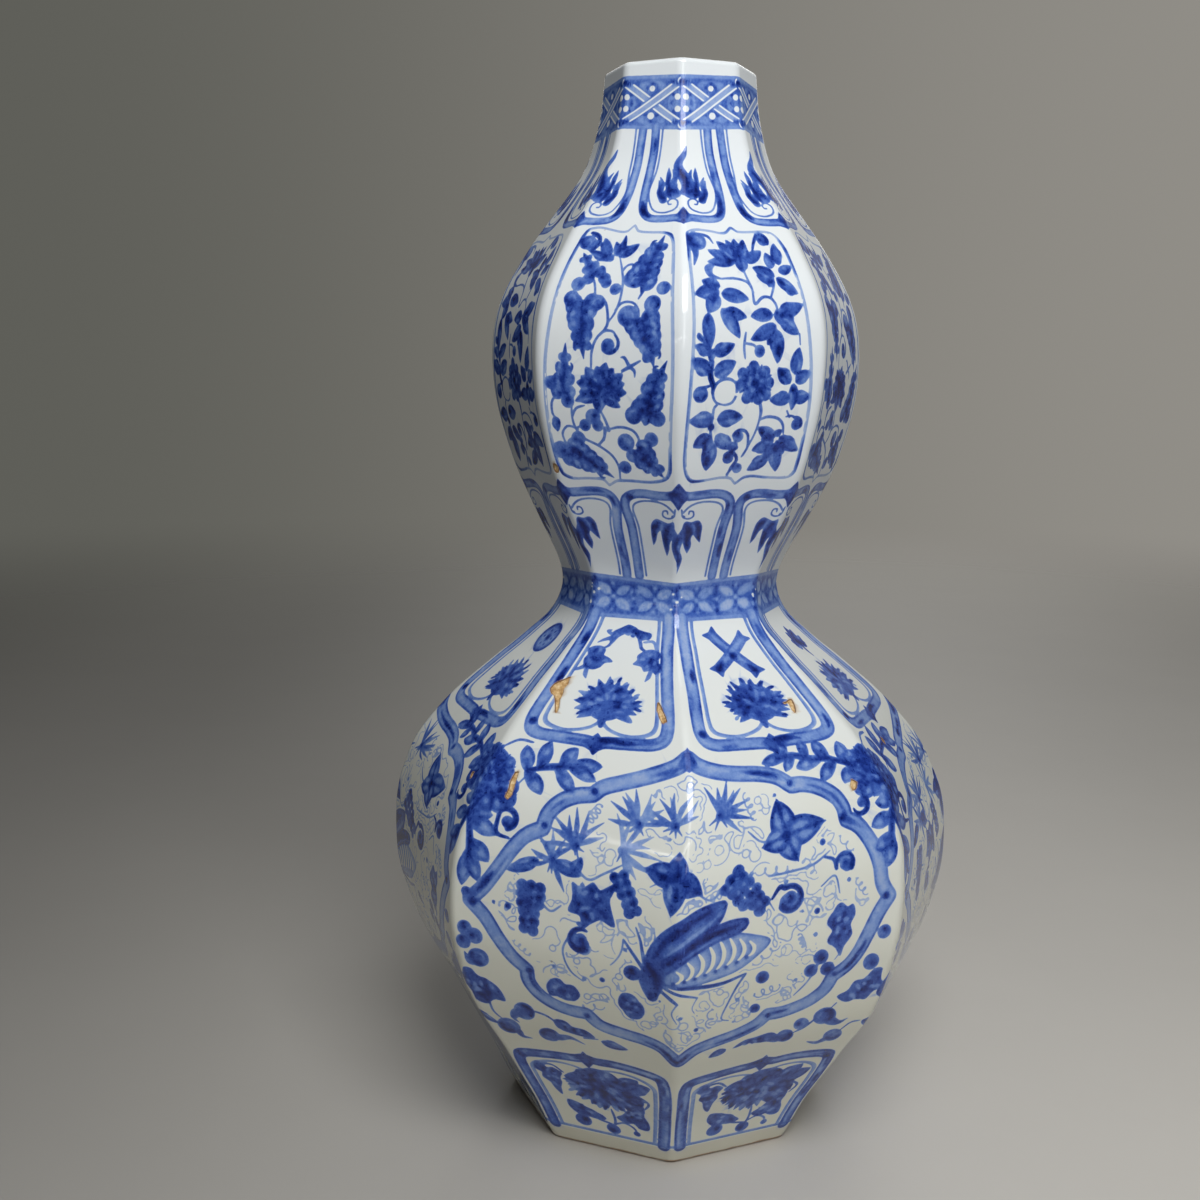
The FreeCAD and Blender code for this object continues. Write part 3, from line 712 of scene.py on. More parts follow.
def vine_panel(t0, seed):
    p = Pen(t0, 0, seed)
    thin_frame(p, FL_FRAME, (10, 19, 28, 0))
    stems(p, [[(1.2, 225.5), (1.3, 229), (-0.3, 232.3), (-4, 235), (-8, 237), (-10.3, 240), (-11, 244), (-10.3, 248)],
              [(-4, 235), (-2, 237.3), (-1.6, 240), (-0.4, 239.2), (-1.2, 242), (-2.6, 245)],
              [(-0.5, 239.6), (3, 240.3), (6.5, 239.4), (8, 237), (7, 235.3)],
              [(-2.2, 236.5), (-1, 239.8)], [(-9.5, 239.5), (-12.5, 240.3), (-14.3, 238.2), (-13.6, 235.5), (-12.3, 234.2)],
              [(-15, 249), (-16.6, 247), (-16.8, 244), (-16, 242.5)], [(-10.8, 243), (-9.6, 245.2), (-7, 246)],
              [(-4.8, 256), (-4.7, 260), (-3.6, 263.4), (-1.4, 265.5), (1, 265.5), (2.6, 263.8)],
              [(-2.4, 264.6), (-0.6, 267), (-0.7, 270), (-1.6, 273), (-3.2, 275)],
              [(-0.6, 267.5), (1.4, 270.5), (2.4, 274.5), (2.3, 279), (1.2, 283), (0.1, 286)],
              [(1.3, 271), (3.2, 273), (6, 273), (7.8, 271.3), (8.3, 269.5)], [(7.5, 274), (8.7, 276.5), (8.6, 278)],
              [(-5, 275.4), (-5.5, 278), (-6.3, 280)], [(1.7, 282), (2.5, 283.5), (4, 284), (5, 282.6)],
              [(-10, 239.8), (-7.4, 240.8)]], w=0.62, tone=0.6)
    curlicue(p, -9.6, 291.4, 3.0, 95, -150, w=0.8, tail=[(-4.6, 286.5), (-6.2, 290.2), (-7.6, 292.8)])
    knob(p, -10.5, 291.3, 2.3, gap=10)
    blades(p, [(-3.2, 285.6, -5.6, 292.6, 2.6), (-3, 285.4, -9.4, 288.4, 2.2), (-0.2, 286, 0.4, 293.6, 1.6),
               (-1, 286.4, -2.3, 291.3, 2.0), (-0.3, 286.2, 4.8, 290.3, 2.6), (0, 286.3, 1.7, 289, 2.2),
               (-1.5, 285.3, -5, 286.7, 2)])
    spine_leaf(p, (7, 278.5), (11.3, 292.5), 8.2, curls=[(6, 279, 2.1, 120), (14, 276.9, 1.9, 200)], lobes=5)
    blade(p, 8.7, 279, 8.4, 275, 1.6, rib=False)
    spine_leaf(p, (-6, 280.5), (-10.8, 287.8), 6.0, curls=[(-10.5, 278.6, 2.1), (-3.2, 280, 1.7)], lobes=3)
    knob(p, -2.4, 278.7, 1.5)
    knob(p, 0.6, 276.8, 1.6)
    spine_leaf(p, (-8.2, 274), (-7, 258.6), 8.6, curls=[(-11.7, 274.4, 2.3, 60), (-4, 273, 2.3, 110)], lobes=5, bend=-0.03)
    spine_leaf(p, (8.6, 269), (13, 256.4), 8.8, curls=[(5, 269.3, 2.8, 60), (11.6, 272.4, 2.4, 200)], lobes=5, bend=0.04)
    curlicue(p, 0.4, 262.2, 2.6, 60, -200, w=0.9, ball=0.72)
    # flower
    for i, a in enumerate(np.linspace(-35, 215, 12)):
        R = 6.6 * (1.0 if i % 2 else 0.9)
        c, s = math.cos(math.radians(a)), math.sin(math.radians(a))
        blade(p, -2 + 1.2 * c, 250.6 + 1.0 * s, -2 + R * 1.15 * c, 250.8 + R * s, 3.0)
    for a in np.linspace(10, 170, 6):
        c, s = math.cos(math.radians(a)), math.sin(math.radians(a))
        blade(p, -2, 250.2, -2 + 4.6 * c, 250.4 + 5.2 * s, 2.6)
    blades(p, [(-2.4, 250, -3, 243.8, 3.4), (-1.5, 249, 3.6, 245.6, 2.4), (-3, 249.5, -9.8, 247.2, 2.4)])
    knob(p, -0.8, 252.2, 1.6)
    p.line([(4.2, 255.2), (6.2, 256.2), (9.2, 257.8)], w=[0.8, 1.0, 0.5], tone=0.6)
    p.line([(6.2, 256.3), (4.8, 258.6), (3.7, 258.7)], w=[0.9, 0.8, 0.3], tone=0.6)
    p.line([(6.2, 256.2), (7.6, 255.2), (7.7, 253.6)], w=[0.8, 0.8, 0.3], tone=0.6)
    spine_leaf(p, (-13, 248.6), (-12.4, 262.2), 6.6, curls=[(-16.7, 252, 1.8), (-11.8, 247.2, 2.0)], lobes=4)
    spine_leaf(p, (10.4, 243.4), (16.6, 257.6), 8.0, curls=[(7, 243.6, 2.5, 120), (13.8, 242.7, 2.1)], lobes=5, bend=0.03)
    blade(p, 10.6, 244.5, 9.8, 240.8, 2.4, rib=False)
    knob(p, -4.8, 243, 2.1)
    knob(p, -3.6, 240.6, 1.7)
    knob(p, -7.2, 240.6, 1.6)
    blade(p, -15.9, 242.8, -16, 238.6, 2.2, rib=False)
    spine_leaf(p, (-13, 233.5), (-0.8, 226.0), 7.8, curls=[(-9.6, 237, 2.0), (-15.4, 233.4, 2.4)], lobes=5, bend=0.03)
    spine_leaf(p, (7.0, 234.2), (13.8, 226.6), 7.6, curls=[(4.1, 236.2, 2.4, 40), (11.5, 237, 1.9)], lobes=4)
    knob(p, 3.2, 229, 1.8)


def spray_panel(t0, seed):
    p = Pen(t0, 0, seed)
    thin_frame(p, FR_FRAME, (0, 12, 19, 29))
    stems(p, [[(-4.3, 227), (-3.6, 229.5), (-2, 231.6)], [(-1, 232.3), (0.6, 235.4), (2.2, 239.5), (2.9, 244), (2, 248)],
              [(2.9, 242.6), (5.2, 243.4), (8.2, 243), (10, 241.4), (10.6, 238.8)],
              [(-10.9, 243.5), (-10.9, 245.6), (-9.8, 246.8)], [(-10.9, 243.2), (-11.2, 240), (-10.4, 237)],
              [(-8, 246.5), (-5.8, 247.2), (-4.7, 249.6), (-5.2, 252.4), (-7.7, 253.4), (-10.4, 252.4), (-11.6, 249.8),
               (-10.6, 247.3), (-8, 246.5)],
              [(-8.2, 279.8), (-4.4, 280), (-1, 279), (0.4, 276.2)], [(-1.6, 283), (-0.8, 280), (0.3, 277)],
              [(0.1, 276.5), (0.4, 273), (2.8, 274.9), (5.2, 274.8), (6.7, 272.8), (6.8, 270.5)],
              [(5.4, 275), (6.4, 277.4), (7.2, 279.4)], [(-2.7, 265.4), (-3.2, 262), (-2.8, 258.6)],
              [(-2.7, 262.6), (-0.6, 262.3), (0.4, 261.6)], [(13.3, 265.3), (13.5, 262.5)],
              [(2.4, 247.5), (3.2, 245), (2.8, 242.5)], [(10.8, 245), (11.8, 243.2)]], w=0.62, tone=0.6)
    p.line([(-12, 257.8), (-12.6, 254), (-11.6, 251.5), (-11.9, 249.6)], w=[0.6, 1.6, 1.4, 0.4], tone=0.85)
    knob(p, -13.4, 291, 2.6, gap=30)
    p.line([(-14.6, 290), (-14.4, 287), (-15.6, 283.6)], w=[2.4, 1.7, 0.4], tone=0.6)
    p.line([(-12.4, 293.2), (-9.8, 292.6), (-8.6, 290.4)], w=[0.9, 0.8, 0.3], tone=0.6)
    slim(p, [(-3.2, 285.2, -11.8, 284.8, 3.0), (-3, 285.4, -11, 288.4, 3.2), (-2.7, 285.4, -7.6, 291.4, 3.2),
               (-2.3, 285.2, -4.8, 291.8, 2.6), (-1.7, 285, -2.2, 292.2, 3.0), (-1.2, 285, 0.7, 292, 2.8),
               (-0.6, 285, 5, 288.8, 3.4), (-1.8, 286.4, -1.4, 281.8, 3.2)])
    p.line([(-10, 284), (-11.7, 282.6), (-11.2, 280.6), (-8.4, 279.7)], w=[1.0, 2.4, 1.4, 0.4], tone=0.58)
    curlicue(p, 6.0, 292.2, 1.9, 130, -160, w=1.1, tail=[(2.4, 288.2), (3.4, 291)], ball=0.8)
    slim(p, [(7, 283.2, 6, 288.4, 2.8), (9.4, 284.6, 9.8, 291.4, 2.9), (8.8, 282.4, 13.4, 284.6, 2.6),
               (7.6, 281.2, 1.2, 283.6, 3.2), (7.4, 279.6, 2.2, 281.2, 3.0), (8, 280.6, 13.8, 276.2, 3.4),
               (6.6, 280, 5.2, 277.8, 1.8)])
    knob(p, 11.5, 277, 1.4)
    slim(p, [(-9.6, 276.4, -16.8, 275, 4.4), (-9.4, 277.6, -14.4, 279, 3.6), (-9.2, 275.6, -1.2, 274.2, 4.2),
               (-10.2, 275, -13.6, 270.2, 4.4), (-8.8, 271.2, -2.2, 269.2, 2.8), (-9.4, 271.6, -4.6, 263.6, 4.0),
               (-13.4, 270.4, -13, 260.6, 3.8), (-16.9, 265, -14.8, 262.6, 1.4), (-12.8, 260, -17.6, 261.8, 2.8),
               (-12.4, 259.6, -6, 262.6, 3.2), (-12.7, 254.8, -18.3, 258.2, 4.2), (-11.7, 254.4, -5.2, 258, 4.4),
               (-12.2, 261, -12.6, 257.4, 2.2)])
    knob(p, -10.9, 273.9, 1.5)
    knob(p, -15, 249.2, 2.2, gap=100)
    p.line([(-14.2, 251), (-12.4, 251.6)], w=[0.9, 0.5], tone=0.7)
    slim(p, [(5.6, 270.4, -1.2, 269.6, 3.8), (7, 270.6, 14.6, 273.4, 4.2), (7.8, 269.2, 13.4, 265.2, 3.8),
               (6.2, 267.4, -1.4, 263.4, 4.0), (6.4, 266.4, 6.8, 257.2, 4.2), (6.6, 271.6, 8.6, 267.2, 2.6)])
    knob(p, 1.3, 260.7, 1.6)
    peony(p, 0.6, 252.3, 6.0)
    slim(p, [(12.2, 254.8, 13.6, 261.8, 3.8), (10.9, 252.4, 7.2, 256.6, 3.8), (12.5, 252.4, 17, 255.4, 3.6),
               (11.6, 248.6, 5, 248.2, 3.8), (12.2, 248.4, 17.3, 249.4, 3.9), (12, 252.4, 12, 245, 2.6)])
    p.disc(11.9, 250.8, 0.8, 0.95)
    curlicue(p, 13.9, 241.4, 1.9, 110, -130, w=0.8, tail=[(10.7, 243.4), (12.4, 243.7)], ball=0.8)
    slim(p, [(-10.6, 242.8, -17.8, 242.2, 4.4), (-9.6, 242.8, -2.2, 243.2, 4.6), (-10.6, 238.4, -15.4, 234.8, 4.0),
               (-9.6, 238.6, -4.2, 234.6, 4.0), (-10.2, 236.4, -11, 228.2, 4.6), (-5.6, 235.6, -2.4, 235, 2.4)])
    p.disc(-11.1, 240.6, 1.0, 0.92)
    curlicue(p, -2.2, 237.6, 2.4, 10, 150, w=0.8, tail=[(-0.6, 232.6), (0.4, 235)], ball=0.66)
    curlicue(p, -4.4, 231.6, 2.1, -10, 150, w=1.0, tail=[(-4.6, 227.2), (-3.4, 229)], ball=0.72)
    knob(p, -1.6, 229, 1.4, tone=0.46)
    slim(p, [(8.2, 237.6, 2.6, 240.6, 3.6), (9.3, 237.6, 15.9, 233.8, 3.9), (7.8, 236, 1.6, 234, 3.4),
               (8.3, 236, 9.9, 227.6, 4.2), (7.2, 232.4, 1, 228.2, 3.6), (8.4, 238.4, 10.4, 239.4, 2.0)])


def neck_lappet(t0, seed):
    p = Pen(t0, 0, seed)
    S = lambda v: float(width(v)) * 0.5
    L = [(-S(328.6) + 1.9, 328.9), (-S(322) + 2.1, 322), (-S(315) + 2.1, 315), (-S(308) + 2.3, 308), (-11.4, 302.5),
         (-10.6, 299.6), (-8.6, 298.4), (-4.5, 298.3), (-2.2, 298.5), (0, 297.9), (2.2, 298.5), (4.5, 298.3),
         (8.6, 298.4), (10.6, 299.6), (11.2, 302.5), (S(308) - 2.3, 308), (S(315) - 2.1, 315), (S(322) - 2.1, 322),
         (S(328.6) - 1.9, 328.9)]
    wide_band(p, L, 2.4, ew=0.45, patches=6)
    p.line([(-11.4, 304.5), (-11.2, 301), (-9.6, 299)], w=[0.6, 1.9, 0.8], tone=0.90)
    p.line([(10.9, 306), (11.0, 301.6), (9.4, 299.2)], w=[0.6, 1.9, 0.8], tone=0.90)
    p.fill([(-2.4, 299.4), (-1.2, 300.2), (0, 302.2), (1.2, 300.2), (2.4, 299.4), (0.9, 298.2), (0, 296.2), (-0.9, 298.2)], 0.72)
    p.line([(-1.5, 299.6), (0, 301.9), (1.5, 299.6)], w=0.4, tone=0.9, smooth=False)
    p.disc(0, 297.1, 0.6, 0.9)
    q = [(-S(328.6) + 4.0, 328.9), (-S(322) + 4.0, 322), (-S(315) + 4.0, 315), (-9.6, 308), (-9.2, 303), (-8.0, 300.9),
         (-5.4, 300.3), (-3.0, 301.0), (-1.2, 303.0), (0, 305.2)]
    for s in (1, -1):
        p.line([(s * x, y) for x, y in q[:-2]], w=0.5, tone=0.46)
        p.line([(s * 5.4, 300.3), (s * 3.0, 301.0), (s * 1.6, 302.4), (s * 1.5, 304.3), (s * 2.9, 305.1), (s * 4.2, 304.2),
                (s * 4.0, 303.1), (s * 3.3, 303.2)], w=0.42, tone=0.66)
        p.line([(s * 1.2, 306.2), (s * 2.0, 307.0), (s * 4.2, 306.2), (s * 5.2, 305.0)], w=0.4, tone=0.6)
        p.fill([(s * 1.6, 306.9), (s * 4.4, 305.9), (s * 4.9, 303.7), (s * 6.4, 304.4), (s * 7.3, 306.8), (s * 6.9, 309.5),
                (s * 6.7, 312.2), (s * 5.9, 310), (s * 5.4, 307.6), (s * 4.8, 308.4), (s * 4.8, 311.2), (s * 4.3, 314.4),
                (s * 3.7, 316.2), (s * 3.0, 313.4), (s * 3.5, 310.4), (s * 2.6, 308.8), (s * 1.3, 310.4)], 0.62)
        p.line([(s * 2, 307.6), (s * 3.6, 308.2), (s * 4.1, 310.4), (s * 3.7, 313)], w=[1.4, 1.2, 0.9, 0.3], tone=0.86)
        p.line([(s * 5.2, 304.8), (s * 6.4, 306.4), (s * 6.5, 309)], w=[1.3, 1.0, 0.3], tone=0.86)
    p.line([(0.6, 307.4), (1.5, 309.4), (0.5, 312.4), (-1.0, 315.4), (-0.9, 317.6), (0.5, 320), (1.1, 322.4)],
           w=[2.6, 3.6, 3.3, 2.8, 2.1, 1.4, 0.4], tone=0.58)
    p.line([(0.9, 308.4), (1.2, 310.4), (0.1, 313), (-1.1, 315.8)], w=[1.0, 1.8, 1.5, 0.5], tone=0.88)
    for s in (1, -1):
        p.line([(s * 1.8, 306.6), (s * 2.7, 309.6), (s * 2.0, 312.6), (s * 2.6, 315.2)], w=[2.6, 2.2, 1.4, 0.3], tone=0.56)
        p.line([(s * 5.6, 304.6), (s * 6.4, 307.6), (s * 5.6, 310.4), (s * 6.2, 312.8)], w=[2.2, 2.0, 1.2, 0.3], tone=0.58)
        p.line([(s * 3.6, 305.8), (s * 4.4, 308.6)], w=[1.2, 0.5], tone=0.86)


def low_lappet(t0, seed):
    p = Pen(t0, 0, seed)
    k = lambda v: float(width(v)) * 0.5
    L = [(-k(195) + 1.9, 194.8), (-k(203) + 2.0, 203), (-k(211) + 2.1, 211), (-15.6, 217.6), (-14.6, 220.4), (-11, 221.4),
         (-6, 220.9), (-3, 220.9), (0, 221.4), (3, 220.9), (6, 221.2), (11, 221.6), (14.4, 220.6), (15.4, 217.6),
         (k(211) - 2.1, 211), (k(203) - 2.0, 203), (k(195) - 1.9, 194.8)]
    wide_band(p, L, 2.7, ew=0.5, patches=8, corners=((-14.2, 220.2, 1.1),))
    p.fill([(-3.2, 221.4), (-1.6, 222.4), (0, 224.8), (1.6, 222.4), (3.2, 221.4), (1.8, 219.4), (0, 216.6), (-1.8, 219.4)], 0.66)
    p.line([(-2.6, 220.4), (-0.9, 218.6), (0, 216.9), (0.9, 218.6), (2.6, 220.4)], w=0.5, tone=0.9, smooth=False)
    p.line([(-1.7, 222.2), (0, 224.4), (1.7, 222.2)], w=0.6, tone=0.88, smooth=False)
    p.disc(-0.6, 221.2, 0.5, 0.95)
    p.disc(0.7, 219.6, 0.5, 0.95)
    for s in (1, -1):
        p.line([(s * (k(195) - 4.0), 194.9), (s * (k(203) - 4.1), 203), (s * (k(211) - 4.2), 211), (s * 13.2, 216.4), (s * 12.2, 218.5),
                (s * 9, 219.2), (s * 5.4, 218.8), (s * 3.0, 217.6), (s * 1.4, 215.9)], w=0.55, tone=0.5)
        p.line([(s * 0.9, 216.8), (s * 1.2, 214.6), (s * 2.8, 213.9), (s * 4.4, 214.7), (s * 4.3, 216.2), (s * 3.2, 216.3),
                (s * 3.0, 215.4)], w=0.42, tone=0.7)
    # hanging flame in two wings about a bare drop, with a long tail
    arcs = ([(0, 208.9), (-0.9, 210.6), (-1.0, 212.0), (-1.4, 213.0), (-2.8, 212.4), (-4.6, 213.1), (-6.4, 213.7), (-7.7, 212.2), (-7.7, 209.6), (-7.0, 204.9)],
            [(-7.0, 204.9), (-6.2, 206.6), (-5.9, 208.9), (-5.0, 210.2)], [(-5.0, 210.2), (-4.5, 207.8), (-3.9, 204.8), (-2.9, 201.5)],
            [(-2.9, 201.5), (-2.3, 203.8), (-2.2, 206.0), (-1.5, 207.4)], [(-1.5, 207.4), (-1.6, 204.6), (-0.8, 201.4), (0.1, 199.0), (-0.1, 195.6)],
            [(-0.1, 195.6), (0.8, 198.4), (1.4, 201.1), (0.7, 203.7), (1.4, 206.6)], [(1.4, 206.6), (1.9, 204.6), (2.8, 202.5)],
            [(2.8, 202.5), (4.0, 205.2), (3.8, 207.6), (4.5, 208.9)], [(4.5, 208.9), (5.2, 207.8), (6.6, 206.0)],
            [(6.6, 206.0), (7.0, 209.2), (7.1, 211.8), (5.9, 213.4), (3.8, 212.8), (2.4, 213.2), (1.5, 212.4), (1.1, 210.8), (0, 208.9)])
    p.fill(np.vstack([curve(a) for a in arcs]), 0.64)
    for pts, w in (([(-5.6, 212.2), (-6.8, 211.0), (-7.0, 208.4), (-6.9, 206.0)], [1.2, 1.8, 1.2, 0.4]), ([(-2.6, 211.6), (-3.6, 209.0), (-3.4, 206.2), (-2.9, 203.2)], [1.4, 1.9, 1.5, 0.4]),
                   ([(0.2, 208.0), (-0.4, 204.8), (0.4, 201.8), (0.2, 198.4)], [1.4, 1.2, 1.0, 0.4]), ([(2.4, 212.0), (3.2, 209.4), (2.7, 206.6), (2.9, 204.0)], [1.4, 2.2, 1.3, 0.4]),
                   ([(5.0, 212.4), (6.1, 211.0), (6.0, 208.8), (6.4, 207.0)], [1.2, 1.7, 1.1, 0.4])):
        p.line(pts, w=w, tone=0.90)
    for s in (1, -1):
        p.line([(s * 4.4, 212.4), (s * 4.9, 211.0), (s * 4.7, 209.6)], w=[0.4, 0.7, 0.3], tone=0.36, mode="over")
        p.disc(s * 1.5, 214.6, 0.5, 0.66, n=10)
    p.line([(0.5, 206.4), (0.2, 204.4), (0.9, 202.4)], w=[0.3, 0.6, 0.3], tone=0.36, mode="over")


def lattice(k, seed):
    """Neck band on one facet: an X of paired pale bars on a blue ground, white discs and dark dots."""
    p = Pen(k + 0.5, 0, seed)
    p.dip = lambda t, v: (1.5 - 0.7 * np.clip((v - 328.9) / 14.0, 0, 1)) * np.clip(1 - np.abs((t + 1) % 2 - 1), 0, 1)
    W = lambda f, v: f * float(width(v))
    lo, hi = 329.6, 341.9
    vs = np.linspace(328.9, 342.9, 8)
    p.fill([(W(-0.5, v), v) for v in vs] + [(W(0.5, v), v) for v in vs[::-1]], 0.56, mode="over")
    for (f, v, rx, ry) in ((0, 340.4, 4.0, 1.3), (0, 331.2, 4.4, 1.3), (-0.36, 335.8, 1.5, 2.7), (0.36, 335.8, 1.5, 2.7)):
        p.disc(W(f, v), v, rx, 0.32, ry=ry, mode="over")
        p.disc(W(f, v) + 0.3, v, rx * 0.4, 0.50, ry=ry * 0.5, mode="over")
    for a in (-1, 1):
        P = [(W(a * f, v), v) for f, v in ((-0.5, lo + 0.4), (-0.25, lo + 3.2), (0, 335.8), (0.25, hi - 3.2), (0.5, hi - 0.4))]
        p.line(P, w=3.0, tone=0.70, mode="over", smooth=False)
        p.line(P, w=2.4, tone=0.06, mode="over", smooth=False)
        p.line(P, w=1.3, tone=0.27, mode="over", smooth=False)
    for v in (329.3, 342.5):
        p.line([(W(-0.5, v), v), (W(0, v), v), (W(0.5, v), v)], w=0.6, tone=0.22, mode="over", smooth=False)
        p.line([(W(-0.5, v), v + 0.45), (W(0.5, v), v + 0.45)], w=0.28, tone=0.5, mode="over", smooth=False)
        p.line([(W(-0.5, v), v - 0.45), (W(0.5, v), v - 0.45)], w=0.28, tone=0.5, mode="over", smooth=False)
    for (f, v, r) in ((0, 339.6, 0.95), (0, 332.3, 1.15)):
        x = W(f, v)
        p.disc(x, v, r * 0.9, 0.12, mode="over")
        for dx, dy in ((-r - 0.5, 0.2), (r + 0.5, 0.1), (0.1, -r - 0.35 if v < 335 else r + 0.3)):
            p.disc(x + dx, v + dy, 0.42, 0.92, mode="over", n=10)
    for s in (-1, 1):
        for dv in (-1.6, 1.6):
            v = 335.8 + dv
            x = s * (float(width(v)) * 0.5 - 1.15)
            p.disc(x, v, 0.9, 0.12, mode="over")
            p.disc(x - s * 1.2, v + np.sign(dv) * 0.5, 0.36, 0.92, mode="over", n=10)
        v = 335.8
        p.disc(s * (float(width(v)) * 0.5 - 2.8), v, 0.45, 0.85, mode="over", n=10)
        for v in (330.4, 341.2):
            x0 = s * float(width(v)) * 0.5
            p.line([(x0 - s * 0.1, v), (x0 - s * 2.6, v + (0.3 if v < 335 else -0.2))], w=[1.8, 0.4], tone=0.90, mode="over")


def waist(k, seed):
    """Waist band on one facet: interlaced coins in reserve on blue, with a dotted heart between them."""
    p = Pen(k + 0.5, 0, seed)
    p.dip = lambda t, v: 1.7 * np.clip((v - 183.5) / 10.9, 0, 1) * np.clip(1 - np.abs((t + 1) % 2 - 1), 0, 1)
    vs = np.linspace(182.3, 194.4, 7)
    p.fill([(-float(width(v)) * 0.5, v) for v in vs] + [(float(width(v)) * 0.5, v) for v in vs[::-1]], 0.54)
    S = float(width(188.3))
    v = 188.4
    for f in (-0.25, 0.25):
        x = f * S
        for a in (38, 142, 218, 322):
            ux, uy = math.cos(math.radians(a)), math.sin(math.radians(a))
            P, A, B = oval((x + ux * 0.9 + p.wob(0.2), v + uy * 1.0), (x + ux * 6.7 + p.wob(0.4), v + uy * 6.4 + p.wob(0.3)),
                           p.rng.uniform(3.1, 3.8), n=12, pinch=0.85)
            P[:, 1] = np.clip(P[:, 1], 183.7, 193.1)
            p.line(np.vstack([P, P[:1]]), w=0.62, tone=0.80 if p.rng.random() < 0.4 else 0.64, mode="over", smooth=False)
            p.fill(P, 0.18 if p.rng.random() < 0.65 else 0.30, mode="over")
            if p.rng.random() < 0.6:
                q = np.array([x + ux * 3.8, v + uy * 3.7])
                d = np.array([ux, uy * 0.7])
                p.line([q - d * 1.1, q + p.wob(0.2), q + d * 1.0], w=[0.3, 0.55, 0.3], tone=0.46, mode="over", smooth=False)
        p.disc(x, v, 0.62, 0.16, mode="over", n=10)
        for a in (0, 90, 180, 270):
            p.disc(x + 1.6 * math.cos(math.radians(a)), v + 1.6 * math.sin(math.radians(a)), 0.38, 0.9, mode="over", n=8)
        for s in (-1, 1):
            p.disc(x + p.wob(0.3), v + s * 3.9, 0.55, 0.26, mode="over", n=10)
            for e in (-1, 1):
                p.disc(x + e * 0.9, v + s * 3.2, 0.3, 0.9, mode="over", n=8)
    for f in (-0.5, 0, 0.5):
        x = f * S
        for dy in (-3.6, -1.3, 1.2, 3.6):
            p.disc(x + p.wob(0.4), v + dy, 0.42, 0.92, mode="over", n=8)
        for dx, dy in ((-1.1, -2.4), (1.1, -2.5), (-1.0, 2.4), (1.2, 2.2), (0, 0)):
            p.disc(x + dx + p.wob(0.5), v + dy + p.wob(0.7), p.rng.uniform(0.34, 0.58), 0.04 if f and p.rng.random() < 0.55 else 0.22, mode="over", n=10)
    for v in (182.7, 194.1):
        w2 = float(width(v)) * 0.5
        p.line([(-w2, v), (0, v), (w2, v)], w=0.8, tone=0.24, mode="over", smooth=False)
        p.line([(-w2, v - 0.55), (w2, v - 0.55)], w=0.26, tone=0.55, mode="over", smooth=False)
        p.line([(-w2, v + 0.55), (w2, v + 0.55)], w=0.26, tone=0.55, mode="over", smooth=False)
    p.disc(-float(width(193.6)) * 0.5 + 0.7, 193.4, 0.7, 0.9, mode="over")


SH_BAND = [(-11.3, 183.4), (-11.7, 181.2), (-13.0, 174.5), (-14.9, 166.5), (-17.0, 158), (-19.0, 150.5), (-19.9, 146), (-19.2, 143), (-16.6, 141.6),
           (-11, 141.2), (-5, 140.9), (-2, 140.6), (0, 139.6), (2, 140.6), (5, 140.9), (11, 141.1), (16.0, 141.6),
           (18.6, 143.2), (19.0, 146.4), (18.0, 151.5), (15.6, 160.5), (13.6, 168.5), (12.2, 175), (11.2, 181.2), (10.9, 183.4)]
SH_LINE = [(-8.6, 182.6), (-8.9, 180.9), (-10.4, 173), (-12.3, 165), (-14.5, 156), (-16.1, 149.2), (-16.3, 146.2), (-14.8, 144.6), (-10.5, 143.5),
           (-6, 143.9), (-2.4, 145.2), (0, 147.0), (2.4, 145.0), (6, 143.6), (10.5, 143.3), (14.4, 144.4), (15.7, 146.6),
           (15.1, 151), (12.8, 160.5), (10.8, 168.5), (9.4, 175), (8.5, 180.9), (8.3, 182.6)]


